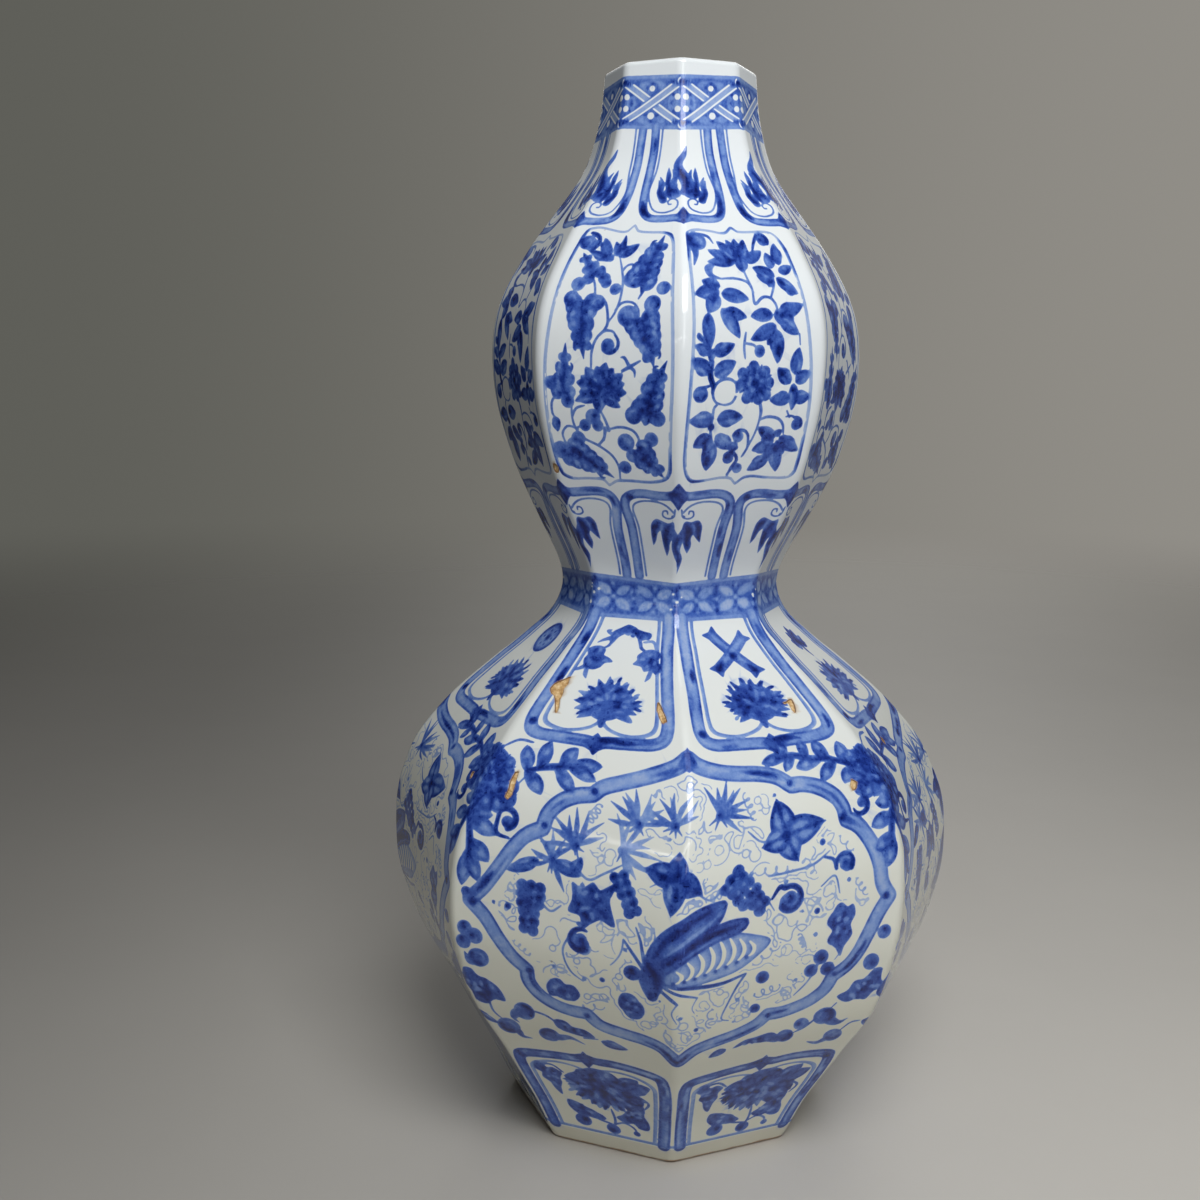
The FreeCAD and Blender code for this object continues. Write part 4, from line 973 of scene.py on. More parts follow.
def shoulder(k, seed, charm):
    p = Pen(k + 0.5, 0, seed)
    wide_band(p, SH_BAND, 3.6, ew=0.6, patches=7, corners=((-19.4, 145.2, 1.3),))
    p.fill([(-4, 140.6), (-1.6, 141.8), (0, 143.6), (1.6, 141.8), (4, 140.6), (1.8, 139.3), (0.2, 136.9), (-1.8, 139.3)], 0.72)
    p.line([(-1.6, 139.4), (0.1, 137.2), (1.8, 139.4)], w=0.7, tone=0.88, smooth=False)
    p.line([(1.2, 141.2), (5, 141.6), (9, 141)], w=[1.2, 1.8, 0.4], tone=0.84)
    p.line(SH_LINE, w=1.05, tone=0.30)
    p.line([(x * 0.965, y + 0.35) for x, y in SH_LINE], w=0.32, tone=0.62)
    spiky(p, 0.4, 152.8, 9.6, n=14, a0=-36, a1=216, ry=0.94)
    p.line([(0, 149.6), (-0.2, 147.4), (0.2, 145.8)], w=[2.6, 1.8, 1.4], tone=0.74)
    if charm == 0:      # a wreath of leaves
        mass(p, [(-5.0, 174.6), (-4.4, 177.4), (-2.4, 178.8), (-0.8, 180.2), (1.2, 179.8), (2.6, 178.6), (4.8, 178.0), (6.6, 177.6), (6.4, 176.0), (4.4, 175.2),
                 (4.2, 173.6), (3.0, 176.0), (1.2, 177.4), (-0.8, 177.2), (-2.6, 175.8), (-3.8, 173.6)], 0.58, cores=4, r=0.8)
        p.line([(-5.0, 175.4), (-6.8, 174.6), (-8.2, 173.6)], w=[1.4, 1.0, 0.4], tone=0.48)
        p.line([(-5.2, 177.0), (-6.2, 177.8), (-5.0, 178.2)], w=[1.0, 0.9, 0.3], tone=0.5)
        p.line([(4.4, 174.6), (5.0, 172.8), (6.4, 171.8)], w=[0.9, 1.0, 0.7], tone=0.66)
        p.line([(-4.0, 174.6), (-4.6, 172.8), (-5.6, 172.0)], w=[0.9, 0.9, 0.6], tone=0.56)
        p.line([(5.4, 174.8), (8.0, 175.2), (9.4, 172.6)], w=[0.7, 1.0, 0.5], tone=0.42)
        mass(p, [(-10.2, 171.2), (-8.4, 172.4), (-6.2, 172.3), (-5.0, 171.0), (-5.2, 169.4), (-3.4, 168.6), (-2.0, 167.2), (-4.2, 166.6), (-5.2, 164.9),
                 (-7.4, 164.4), (-9.6, 165.2), (-10.4, 167.4), (-9.6, 169.2)], 0.58, cores=6, r=0.9)
        mass(p, [(4.6, 170.2), (6.8, 172.2), (9.4, 172.4), (11.0, 170.8), (10.4, 168.6), (12.2, 166.8), (11.6, 164.4), (9.8, 165.4), (7.8, 164.8), (6.6, 166.4),
                 (4.0, 167.0), (4.9, 168.6)], 0.56, cores=6, r=0.9)
        p.line([(-9.4, 165.2), (-11.4, 163.9), (-12.4, 163.4)], w=[1.8, 1.1, 0.4], tone=0.44)
        p.line([(-9.0, 164.8), (-8.8, 162.4), (-8.2, 160.8)], w=[1.2, 1.4, 0.3], tone=0.46)
        p.line([(9.8, 165.2), (9.6, 163.0), (9.0, 161.4)], w=[1.2, 1.3, 0.3], tone=0.44)
    elif charm == 1:    # crossed tablets
        for (x0, y0, x1, y1, w) in ((-4.3, 178.2, 5.6, 163.6, 3.7), (6.0, 176.4, -6.6, 165.0, 3.2)):
            d = np.array([x1 - x0, y1 - y0])
            L = math.hypot(*d)
            d = d / L
            n = np.array([-d[1], d[0]])
            A = np.array([x0, y0])
            B = np.array([x1, y1])
            q = [A + n * w * 0.56 - d * 0.5, A + n * w * 0.42 + d * 1.2, B + n * w * 0.42 - d * 1.2, B + n * w * 0.6 + d * 0.6,
                 B + d * 0.1, B - n * w * 0.6 + d * 0.6, B - n * w * 0.42 - d * 1.2, A - n * w * 0.42 + d * 1.2, A - n * w * 0.56 - d * 0.5,
                 A + d * 0.2]
            p.fill(q, 0.46, mode="over")
            p.line(q + q[:1], w=0.6, tone=0.72, smooth=False)
            p.line([A + d * 1.5, A + d * (L * 0.45)], w=[0.8, 1.5], tone=0.34, mode="over", smooth=False)
            p.line([A + d * (L * 0.55), A + d * (L * 0.8)], w=[1.3, 0.6], tone=0.36, mode="over", smooth=False)
            p.line([B - d * 4.0 - n * 0.3, B - d * 1.0], w=[0.8, 2.2], tone=0.86, smooth=False)
        p.disc(0.2, 169.9, 1.2, 0.80)
    elif charm == 2:    # coin with a wheel of petals
        p.disc(0, 171, 5.2, 0.80, ry=5.8)
        p.disc(0, 171, 4.4, 0.52, ry=5.0, mode="over")
        for a in range(0, 360, 60):
            c, s = math.cos(math.radians(a)), math.sin(math.radians(a))
            p.disc(2.5 * c, 171 + 2.9 * s, 1.15, 0.30, ry=1.3, mode="over", n=14)
            p.disc(2.5 * c, 171 + 2.9 * s, 0.5, 0.85, mode="over", n=10)
        p.disc(0, 171, 1.0, 0.88, mode="over")
    else:               # artemisia leaf
        for (a, L) in ((90, 7.5), (62, 6.6), (118, 6.6), (30, 5.8), (150, 5.8), (0, 4.6), (180, 4.6)):
            c, s = math.cos(math.radians(a)), math.sin(math.radians(a))
            blade(p, 0.4 * c, 168.6 + 0.4 * s, L * c * 0.95, 168.6 + L * s, 2.6)
        p.line([(0, 172), (0, 167), (0.8, 163.8)], w=[0.6, 1.2, 0.5], tone=0.84)


def base_panel(k, seed):
    p = Pen(k + 0.5, 0, seed)
    h = lambda v: float(width(v)) * 0.5
    B = [(-h(7) + 2.4, 7.2), (-h(14) + 2.4, 14), (-h(22) + 2.5, 22), (-h(30) + 2.6, 30), (-h(36) + 3.0, 36), (-h(38) + 4.8, 39.0),
         (-14, 40.6), (-8, 41.6), (-3, 42.2), (0, 43.4), (3, 42.6), (8, 43.0), (14, 42.6), (h(39) - 5.0, 41.0), (h(36) - 3.0, 38),
         (h(30) - 2.6, 30), (h(22) - 2.5, 22), (h(14) - 2.4, 14), (h(7) - 2.4, 7.2)]
    wide_band(p, B, 3.6, tone=0.50, edge=0.76, ew=0.75, patches=16, corners=((-h(37) + 4.2, 38.2, 1.3), (h(37) - 4.2, 39.8, 1.3)))
    p.fill([(-3, 43.2), (-1.4, 44.2), (0, 46.6), (1.4, 44.2), (3, 43.2), (1.6, 41.4), (0, 38.6), (-1.6, 41.4)], 0.72)
    p.line([(-1.7, 41.4), (0, 39), (1.7, 41.4)], w=0.6, tone=0.88, smooth=False)
    q = [(-h(8) + 5.0, 8.2), (-h(14) + 5.0, 14), (-h(22) + 5.1, 22), (-h(30) + 5.3, 30), (-h(34) + 5.8, 34.4), (-15, 37.0), (-10, 38.2),
         (-5, 38.0), (-1.6, 36.8), (0, 35.4), (1.6, 37.0), (5, 38.8), (10, 39.4), (15, 38.4), (h(34) - 5.8, 35.4), (h(30) - 5.3, 30),
         (h(22) - 5.1, 22), (h(14) - 5.0, 14), (h(8) - 5.0, 8.2)]
    p.line(q, w=0.9, tone=0.30)
    p.line([(x * 0.96, y - 0.3) for x, y in q], w=0.3, tone=0.62)
    # flower hanging from the bracket, leaves and a low curling stem
    stems(p, [[(2.6, 11.6), (3.4, 15), (3.0, 20)], [(2.8, 12.8), (6, 14.4), (8.8, 13), (9.6, 10.6)], [(2.4, 12.6), (-2.4, 14), (-5, 17)],
              [(-9, 33.6), (-11.6, 36.0), (-14.4, 35.8), (-16, 33.4)], [(12.6, 30), (15.6, 27), (14.0, 23.6)]], w=0.7, tone=0.7)
    spiky(p, 2.4, 31.6, 12.6, n=15, a0=186, a1=352, ry=0.98, stalk=False, tone=0.66)
    for (x0, y0, x1, y1, w) in ((-1, 33, -9.4, 32.0, 5.0), (-2, 33.6, -4.2, 37.0, 4.4), (5, 33.6, 6.4, 38.2, 4.6), (8, 33, 14.4, 37.6, 4.8), (10, 31.6, 17.6, 34.8, 4.6),
                                (11.4, 29.6, 12.6, 23.8, 3.4), (2.4, 32, 1.8, 37.0, 4.4)):
        blade(p, x0, y0, x1, y1, w, tone=0.66)
    for i in range(16):
        p.disc(2.4 + p.wob(8.5), 30.6 + p.wob(4.6), p.rng.uniform(0.8, 1.5), 0.86, ry=p.rng.uniform(0.5, 0.8), ang=p.rng.uniform(0, 180), n=12)
    mass(p, [(-17.4, 36.4), (-15.2, 36.2), (-14.0, 34.4), (-12.0, 35.0), (-9.8, 33.4), (-10.8, 31.0), (-10.4, 28.6), (-11.2, 26.0), (-11.6, 22.2), (-13.4, 24.6),
             (-14.4, 27.6), (-16.0, 29.4), (-15.8, 31.6), (-17.8, 33.0)], 0.66, cores=8, r=1.0)
    mass(p, [(-10.2, 20.4), (-7.6, 20.0), (-5.4, 18.6), (-3.0, 17.6), (-1.4, 16.4), (0.2, 14.6), (-2.2, 13.6), (-4.8, 13.8), (-7.2, 13.6), (-9.0, 15.2),
             (-10.4, 17.4)], 0.66, cores=6, r=1.0)
    p.disc(-7.0, 11.9, 2.6, 0.66)
    p.disc(-6.4, 12.4, 1.2, 0.84, n=12)
    mass(p, [(4.0, 16.4), (6.2, 18.4), (8.4, 21.4), (10.6, 23.8), (13.0, 25.4), (13.4, 22.4), (12.8, 19.4), (13.6, 16.6), (13.2, 13.6), (10.6, 13.4), (9.0, 15.0),
             (6.6, 14.4)], 0.66, cores=8, r=1.1)
    p.disc(2.2, 10.6, 2.2, 0.66)
    p.disc(1.8, 10.2, 1.0, 0.84, n=12)
    p.disc(9.4, 10.6, 1.1, 0.62)
    # line that closes the panels above the foot
    for v, w, t in ((7.9, 0.9, 0.34), (7.4, 0.34, 0.62)):
        p.line([(-h(v), v), (0, v), (h(v), v)], w=w, tone=t, smooth=False)

# ------------------------------------------------------------------ the large medallion and the field below it
MED_ARCS = [[(0, 138.8), (3.0, 136.2), (8, 134.2), (14, 133.0), (20, 132.3), (25.6, 130.9), (30.0, 128.0)],
            [(30.0, 128.0), (33.6, 128.0), (38, 126.8), (42.8, 124.0), (45.6, 120.6), (46.6, 117.4)],
            [(46.6, 117.4), (50.6, 115.4), (54.8, 110.6), (57.6, 104.8), (58.9, 99.6), (61.4, 95.8)],
            [(61.4, 95.8), (58.6, 91.8), (55.8, 86.4), (52.8, 80.8), (49.6, 77.0), (45.6, 74.4)],
            [(45.6, 74.4), (43.4, 70.4), (39.4, 67.4), (34.5, 65.6), (30, 64.7), (26.4, 64.9)],
            [(26.4, 64.9), (23.2, 61.8), (17, 59.1), (10.5, 57.3), (5, 55.2), (0.5, 50.8)],
            [(0.5, 50.8), (-3.6, 56.2), (-8.5, 58.2), (-15, 59.2), (-21.4, 60.6), (-25.2, 64.0)],
            [(-25.2, 64.0), (-30, 63.9), (-35, 65.1), (-39.4, 67.8), (-42.2, 71.6), (-42.6, 75.4)],
            [(-42.6, 75.4), (-46.8, 78.6), (-51.2, 83.8), (-55.2, 89.2), (-60.0, 93.4)],
            [(-60.0, 93.4), (-55.8, 97.8), (-52.2, 103), (-48.4, 108.8), (-44.6, 113.0), (-40.0, 115.4)],
            [(-40.0, 115.4), (-38.8, 119.4), (-35.6, 122.8), (-31.2, 125.0), (-26.4, 125.9)],
            [(-26.4, 125.9), (-23.6, 128.2), (-19, 129.8), (-12.5, 132.0), (-6, 134.6), (-2.6, 136.4), (0, 138.8)]]
MED = [q for A in MED_ARCS for q in A[:-1]]


def grass(p, x, y, s=1.0, a0=-8, a1=188, n=10, pale=False):
    """A fan of slender grass blades springing from one foot."""
    for i in range(n):
        a = math.radians(a0 + (a1 - a0) * i / (n - 1) + p.wob(7))
        L = s * p.rng.uniform(6.2, 9.6)
        c, d = math.cos(a), math.sin(a)
        t = p.rng.uniform(0.28, 0.42) if pale else p.rng.uniform(0.38, 0.60)
        b = p.wob(0.7)
        p.line([(x + 0.4 * c, y + 0.4 * d), (x + L * 0.5 * c - b * d, y + L * 0.5 * d + b * c), (x + L * c, y + L * d)],
               w=[0.7, s * p.rng.uniform(1.1, 1.6), 0.2], tone=t)
    for i in range(4):
        a = math.radians(p.rng.uniform(200, 340))
        L = s * p.rng.uniform(2.0, 4.2)
        p.line([(x, y), (x + L * math.cos(a), y + L * math.sin(a))], w=[0.9, 0.2], tone=0.5 if pale else 0.62)
    p.disc(x, y, 1.15 * s, 0.40 if pale else 0.58)
    if not pale:
        p.disc(x + 0.2, y + 0.3, 0.6 * s, 0.82)


def grapes(p, x0, y0, x1, y1, w, r=1.5):
    """A hanging bunch: round berries run together, ink pooled in some of them."""
    d = np.array([x1 - x0, y1 - y0])
    L = math.hypot(*d)
    d = d / L
    n = np.array([-d[1], d[0]])
    rows = max(3, int(L / (r * 1.5)))
    for i in range(rows):
        u = (i + 0.5) / rows
        ww = w * math.sin(math.pi * min(1, 0.28 + 0.72 * (1 - u)) * 0.62)
        m = max(1, int(round(ww / (r * 1.75))))
        for j in range(m):
            s = (j - (m - 1) / 2) * r * 1.7
            c = np.array([x0, y0]) + d * u * L + n * s + np.array([p.wob(0.25), p.wob(0.25)])
            q = r * p.rng.uniform(0.95, 1.2)
            p.disc(c[0], c[1], q, p.rng.uniform(0.58, 0.70), n=14)
            if p.rng.random() < 0.6:
                p.disc(c[0] + p.wob(0.4), c[1] + p.wob(0.4), q * 0.5, 0.84, n=12)


def wiggle(p, x0, y0, x1, y1, n=4, amp=1.2, w=0.36, tone=0.38):
    """A loose looping tendril in thin wash."""
    d = np.array([x1 - x0, y1 - y0], float)
    L = math.hypot(*d)
    d = d / L
    nn = np.array([-d[1], d[0]])
    u = np.linspace(0, 1, n * 8 + 1)
    ph = p.rng.uniform(0, 6.28)
    a = ph + u * n * math.pi * 1.7
    e = np.sin(np.clip(u, 0, 1) * math.pi) ** 0.3
    P = np.array([x0, y0]) + np.outer(u * L, d) + np.outer(np.sin(a) * amp * e, nn) + np.outer(np.cos(a) * amp * 0.8 * e, d)
    p.line(P, w=w, tone=tone, taper=(0.7, 0.5))


def occupied(p, x, y, r):
    c, q = p.cells([(x, y)])
    c, q = float(c[0]), float(q[0])
    dx = r * PX / float(width(y + p.v0))
    dy = r / DV
    A = p.field[max(0, int(q - dy)):int(q + dy) + 1, max(0, int(c - dx)):int(c + dx) + 1]
    return bool(A.size and A.max() > 0.12)


def tendrils(p, region, count, seed, tone=(0.16, 0.28)):
    """Long wandering scrolls in the palest wash wherever the ground is still bare inside the region."""
    rng = np.random.default_rng(seed)
    Q = np.array(region, float)
    lo, hi = Q.min(0), Q.max(0)

    def inside(x, y):
        X, Y = Q[:, 0], Q[:, 1]
        X2, Y2 = np.roll(X, -1), np.roll(Y, -1)
        m = ((Y > y) != (Y2 > y)) & (x < (X2 - X) * (y - Y) / (Y2 - Y + 1e-12) + X)
        return bool(m.sum() % 2)
    made = tries = 0
    while made < count and tries < count * 40:
        tries += 1
        x, y = rng.uniform(lo[0], hi[0]), rng.uniform(lo[1], hi[1])
        if not inside(x, y) or occupied(p, x, y, 0.9):
            continue
        a = rng.uniform(0, 6.28)
        k = rng.uniform(0.15, 0.5) * rng.choice([-1, 1])
        pts = [(x, y)]
        for i in range(int(rng.integers(26, 90))):
            if i % 4 == 0 and rng.random() < 0.5:
                k = rng.uniform(0.15, 0.75) * -np.sign(k)
            if i % 4 == 2 and rng.random() < 0.12:
                a += rng.choice([-1, 1]) * rng.uniform(1.6, 2.6)
            for turn in (k, -k, 0.9, -0.9, 1.6, -1.6):
                nx, ny = x + 0.66 * math.cos(a + turn), y + 0.66 * math.sin(a + turn)
                if inside(nx, ny) and not (i > 1 and occupied(p, nx, ny, 0.4)):
                    break
            else:
                break
            a += turn
            x, y = nx, ny
            pts.append((x, y))
        if len(pts) < 9:
            continue
        made += 1
        p.line(pts, w=rng.uniform(0.40, 0.52), tone=rng.uniform(*tone), taper=(0.6, 0.4), step=0.5)
        if rng.random() < 0.25:
            p.disc(pts[-1][0], pts[-1][1], rng.uniform(0.4, 0.7), rng.uniform(0.4, 0.56), n=10)


def insect(p):
    """A large winged insect with a banded body, drawn among the leaves."""
    # pale banded hind body
    P = [(-5.0, 81.4), (-1.0, 84.4), (4.6, 88.2), (10.6, 91.0), (16.0, 91.6), (21.0, 90.6), (26.0, 88.4), (21.6, 84.2), (16.6, 81.2), (10.6, 79.6), (3.6, 78.6), (-2.6, 78.8)]
    Q = curve(np.vstack([P, P[:1]]), closed=True)
    p.fill(Q, 0.26, mode="over")
    for i in range(8):
        x = -1.6 + i * 2.9
        h = (4.2, 6.2, 8.0, 9.2, 9.6, 8.8, 7.2, 5.0)[i]
        y = 79.4 + 0.36 * i + (0.05 * i * i)
        C = [(x - 0.4, y + 0.3), (x + 1.6, y + h * 0.30), (x + 1.9, y + h * 0.62), (x + 0.5, y + h * 0.94)]
        p.line([(u + 0.85, v) for u, v in C], w=[0.4, 1.1, 1.2, 0.5], tone=0.04, mode="over")
        p.line(C, w=[0.3, 0.5, 0.5, 0.3], tone=0.46, mode="over")
        p.disc(x + 0.7, y + 0.3, 0.55, 0.80, mode="over", n=10)
    p.line(Q, w=0.5, tone=0.56, smooth=False)
    # two dark fore wings
    for (P, t) in (([(-8.6, 84.2), (-7.8, 88.4), (-4.6, 93.2), (0.4, 97.2), (5.6, 99.8), (11.9, 100.8), (12.3, 98.6), (10.8, 95.4), (6.8, 92.4), (2.0, 89.4), (-2.4, 86.2), (-5.4, 83.6)], 0.64),
                   ([(-5.6, 83.4), (-1.6, 87.8), (3.6, 91.4), (9.0, 94.0), (14.4, 95.4), (18.9, 95.2), (18.6, 93.0), (15.2, 91.4), (9.8, 90.0), (3.6, 87.0), (-1.4, 83.6), (-4.4, 80.8)], 0.66)):
        Q = curve(np.vstack([P, P[:1]]), closed=True)
        p.fill(Q, t, mode="over")
        p.line(Q, w=0.5, tone=0.82, smooth=False)
    p.line([(-6.8, 86), (-3.6, 91.0), (1.6, 95.4), (8.4, 98.8)], w=[0.8, 2.0, 2.2, 0.6], tone=0.84, mode="over")
    p.line([(-3.6, 87.0), (1.4, 91.2), (7.4, 94.8), (11.0, 97.8)], w=[0.4, 1.0, 1.0, 0.4], tone=0.40, mode="over")
    p.line([(-1.2, 86.6), (3.6, 90.0), (8.4, 93.4)], w=[0.3, 0.5, 0.3], tone=0.84, mode="over")
    p.line([(-3.6, 84.4), (1.4, 88.4), (7.4, 91.6), (16.6, 94.0)], w=[0.8, 1.9, 1.9, 0.5], tone=0.90, mode="over")
    p.line([(1.0, 86.6), (7.4, 89.8), (13.0, 91.6)], w=[0.3, 0.6, 0.3], tone=0.42, mode="over")
    # thorax and head
    P = [(-9.4, 83.4), (-7.0, 85.8), (-4.4, 85.0), (-3.4, 82.2), (-3.4, 78.8), (-4.6, 75.6), (-6.2, 73.4), (-8.0, 74.0), (-9.6, 76.8), (-10.4, 79.6)]
    Q = curve(np.vstack([P, P[:1]]), closed=True)
    p.fill(Q, 0.72, mode="over")
    p.line([(-8.2, 84.2), (-5.6, 81.0), (-5.4, 77.0)], w=[1.2, 2.4, 1.0], tone=0.86, mode="over")
    p.line([(-3.0, 84.4), (-3.2, 80.6)], w=[0.6, 0.5], tone=0.46, mode="over", smooth=False)
    p.disc(-12.2, 80.8, 2.5, 0.74, ry=2.3, mode="over")
    p.disc(-12.4, 81.0, 1.2, 0.90, mode="over")
    p.disc(-6.6, 74.6, 1.6, 0.86, mode="over")
    p.line([(-8.8, 83.8), (-9.6, 87), (-10.4, 90.4), (-11.8, 93.6)], w=[1.2, 0.9, 0.7, 0.4], tone=0.66)
    p.line([(-9.6, 83.0), (-11.6, 85.6), (-13.4, 87.8), (-15.0, 89.8)], w=[1.0, 0.9, 0.8, 0.5], tone=0.68)
    p.line([(-15.0, 89.8), (-15.4, 86.6), (-16.6, 84.0), (-18.6, 81.6)], w=[0.5, 0.45, 0.4, 0.3], tone=0.46)
    p.line([(-7.0, 85.6), (-6.4, 90.4), (-6.9, 94.6)], w=[0.5, 0.45, 0.3], tone=0.42)
    # legs
    p.line([(-3.6, 79.0), (4, 78.0), (12, 77.8), (19.4, 79.8)], w=[1.0, 1.3, 1.1, 0.6], tone=0.66)
    p.line([(0, 78.4), (8, 77.9), (15, 78.4)], w=[0.3, 0.5, 0.3], tone=0.86)
    p.line([(19.4, 79.8), (17.0, 76.0), (14.6, 71.0), (12.8, 66.2), (15.0, 65.0)], w=[0.7, 0.6, 0.5, 0.4, 0.3], tone=0.60)
    p.line([(-3.0, 77.8), (1.4, 76.0), (5.8, 74.6)], w=[0.9, 0.8, 0.5], tone=0.62)
    p.line([(-4.2, 76.8), (-1.4, 74.6), (0.2, 73.2)], w=[0.9, 1.1, 0.7], tone=0.66)
    p.line([(0.2, 73.2), (-1.2, 70.0), (0.2, 66.6)], w=[0.4, 0.4, 0.3], tone=0.44)
    p.line([(5.8, 74.6), (4.4, 71.2), (6.0, 68.4)], w=[0.4, 0.35, 0.3], tone=0.40)


def medallion(t0, seed):
    p = Pen(t0, 0, seed)
    Q = np.vstack([curve(A)[:-1] for A in MED_ARCS] + [[MED_ARCS[0][0]]])
    wide_band(p, Q, 4.4, closed=True, tone=0.28, edge=0.56, ew=0.6, patches=18, raw=True,
              corners=((-59, 93, 1.2), (60.4, 96, 1.1), (29.6, 128.6, 1.0), (45.6, 118.0, 1.0), (46.2, 75.0, 0.9), (26.6, 64.4, 0.9),
                       (-25.2, 63.2, 0.9), (-42.0, 75.0, 1.0), (-39.6, 116.2, 1.0), (-26.0, 126.8, 1.0)))
    p.fill([(-4.5, 134.2), (-2, 136.4), (-0.6, 139.0), (0, 142), (0.8, 139.0), (2.2, 136.4), (4.5, 134.8), (1.6, 136.0), (0.2, 134.6), (-1.4, 135.8)], 0.7, mode="over")
    p.line([(-2.3, 137.0), (0, 141.2), (2.2, 137.0)], w=0.6, tone=0.86, smooth=False)
    p.line([(-3, 54.6), (0.4, 50.4), (3.2, 54)], w=0.7, tone=0.86, smooth=False)
    # grass along the top and the left
    grass(p, -13.6, 119.6, 1.15, 8, 172, 9)
    grass(p, -3.6, 120.4, 1.0, 20, 176, 8)
    grass(p, 8.6, 122.4, 1.1, -30, 118, 9)
    grass(p, -30.4, 112.0, 1.1, 24, 176, 8)
    grass(p, -17.4, 112.6, 1.15, -76, 100, 9, pale=True)
    grass(p, -36.6, 107.6, 1.05, -60, 196, 9)
    blades(p, [(-40.4, 107.2, -49.6, 103.2, 3.2), (-35.6, 107.6, -27.8, 104.4, 3.2), (-30.6, 105.2, -28.6, 109.6, 2.6)])
    # leaves
    foliage(p, (28.4, 115.4), [(25.2, 125.0, 6.6), (40.4, 117.8, 7.0), (32.6, 108.4, 6.4), (21.4, 113.0, 6.0)], tone=0.58, light=True, sharp=True)
    foliage(p, (-2.4, 107.6), [(-11.0, 109.2, 5.6), (-2.0, 114.2, 5.0), (5.4, 103.2, 5.8), (-2.8, 97.8, 5.6)], tone=0.66, sharp=True)
    mass(p, [(-30.4, 102.8), (-27.6, 101.6), (-24.6, 103.4), (-22.4, 101.4), (-18.6, 103.4), (-19.4, 99.2), (-17.6, 92.6), (-22.0, 94.2), (-26.6, 90.6), (-27.6, 94.0),
             (-31.0, 95.0), (-30.0, 98.6)], 0.70, cores=10, r=1.2)
    # bunches and berries
    grapes(p, -42.0, 101.0, -42.2, 86.6, 7.4, r=1.55)
    grapes(p, -18.2, 107.4, -12.2, 96.4, 6.0, r=1.4)
    grapes(p, 12.2, 106.6, 24.0, 97.4, 7.4, r=1.5)
    mass(p, [(44.2, 93.4), (46.4, 95.6), (48.6, 94.2), (50.4, 95.0), (51.2, 92.2), (50.0, 89.6), (50.6, 86.6), (48.4, 83.4), (47.4, 80.6), (45.8, 83.2), (43.4, 85.6), (44.8, 88.4),
             (43.0, 90.8)], 0.66, cores=8, r=1.1)
    for (x, y, r, a0, sw, w, tail) in ((31.0, 99.0, 3.4, 120, -260, 1.6, [(25.6, 99.6), (27.6, 102.4)]), (46.8, 106.2, 2.7, 200, -230, 1.3, [(40.2, 108.6), (43.2, 107.6)]),
                                       (-27.0, 87.4, 3.2, 60, 240, 1.6, ())):
        curlicue(p, x, y, r, a0, sw, w=w, tail=list(tail) or None)
        p.disc(x, y, r * 0.62, 0.62)
        p.disc(x + 0.3, y, r * 0.3, 0.84, n=12)
    for (x, y, r) in ((41.6, 81.2, 2.3), (38.8, 77.4, 2.1), (43.8, 77.2, 2.2), (24.4, 77.8, 2.0), (22.6, 67.8, 1.6), (39.4, 94.6, 0.9), (-20.6, 76.8, 0.8), (14.6, 93.6, 0.7),
                      (-48.4, 93.4, 1.0), (39.6, 112.4, 0.9), (5.6, 63.6, 0.7)):
        p.disc(x, y, r, 0.64)
        p.disc(x + p.wob(r * 0.2), y + p.wob(r * 0.2), r * 0.5, 0.84, n=12)
    mass(p, [(-35.2, 73.8), (-33.2, 74.4), (-31.4, 72.6), (-29.0, 72.6), (-27.4, 70.2), (-29.0, 67.8), (-31.8, 67.4), (-33.8, 68.4), (-35.8, 68.4), (-36.6, 71.0)], 0.66, cores=6)
    mass(p, [(-14.6, 73.8), (-12.2, 74.0), (-10.4, 72.4), (-9.0, 69.6), (-9.6, 66.4), (-12.6, 65.6), (-14.6, 67.6), (-15.8, 70.6)], 0.68, cores=6)
    insect(p)
    # stems that tie the leaves together
    stems(p, [[(-30, 107), (-26, 104), (-22, 106), (-17, 109.0)], [(-9, 104.6), (-6, 106.4)], [(4, 103.6), (8, 101.6), (12, 105.0)], [(24.6, 99.2), (26.6, 96.4)],
              [(-33, 96), (-36, 94), (-40, 97)], [(24, 105.6), (30, 106), (37, 107), (42, 110)], [(40, 101), (44, 103.4), (46, 98)],
              [(-29, 90), (-32, 84), (-30, 78), (-26, 75)], [(34, 70), (38, 74), (41, 79)], [(46.8, 81), (44.6, 78.2)],
              [(17.0, 117.6), (20.6, 114.8), (23.6, 114.2)]], w=0.55, tone=0.44)
    for a in ((-24, 123.6, -27.6, 118), (15.6, 127.6, 19, 120), (20, 107, 31, 106.6), (-44.6, 92, -51.6, 94), (-30, 83, -21.6, 86),
              (50.4, 102, 54.4, 97), (21, 81.6, 29.6, 87.4), (-47, 84, -40.6, 79.4), (13.6, 104, 6.4, 101.6), (38, 104.4, 33.4, 109.4),
              (44.4, 113.4, 49.6, 108.6), (36.6, 84.4, 34.4, 89.2), (22, 72, 30, 74), (-28, 65.4, -20, 67.8), (10, 70.4, 9, 62.6)):
        wiggle(p, *a, n=int(p.rng.integers(3, 6)), amp=p.rng.uniform(0.8, 1.3), w=0.46, tone=p.rng.uniform(0.24, 0.36))
    tendrils(p, [(x * 0.90, 95 + (y - 95) * 0.90) for x, y in MED], 66, seed + 7)
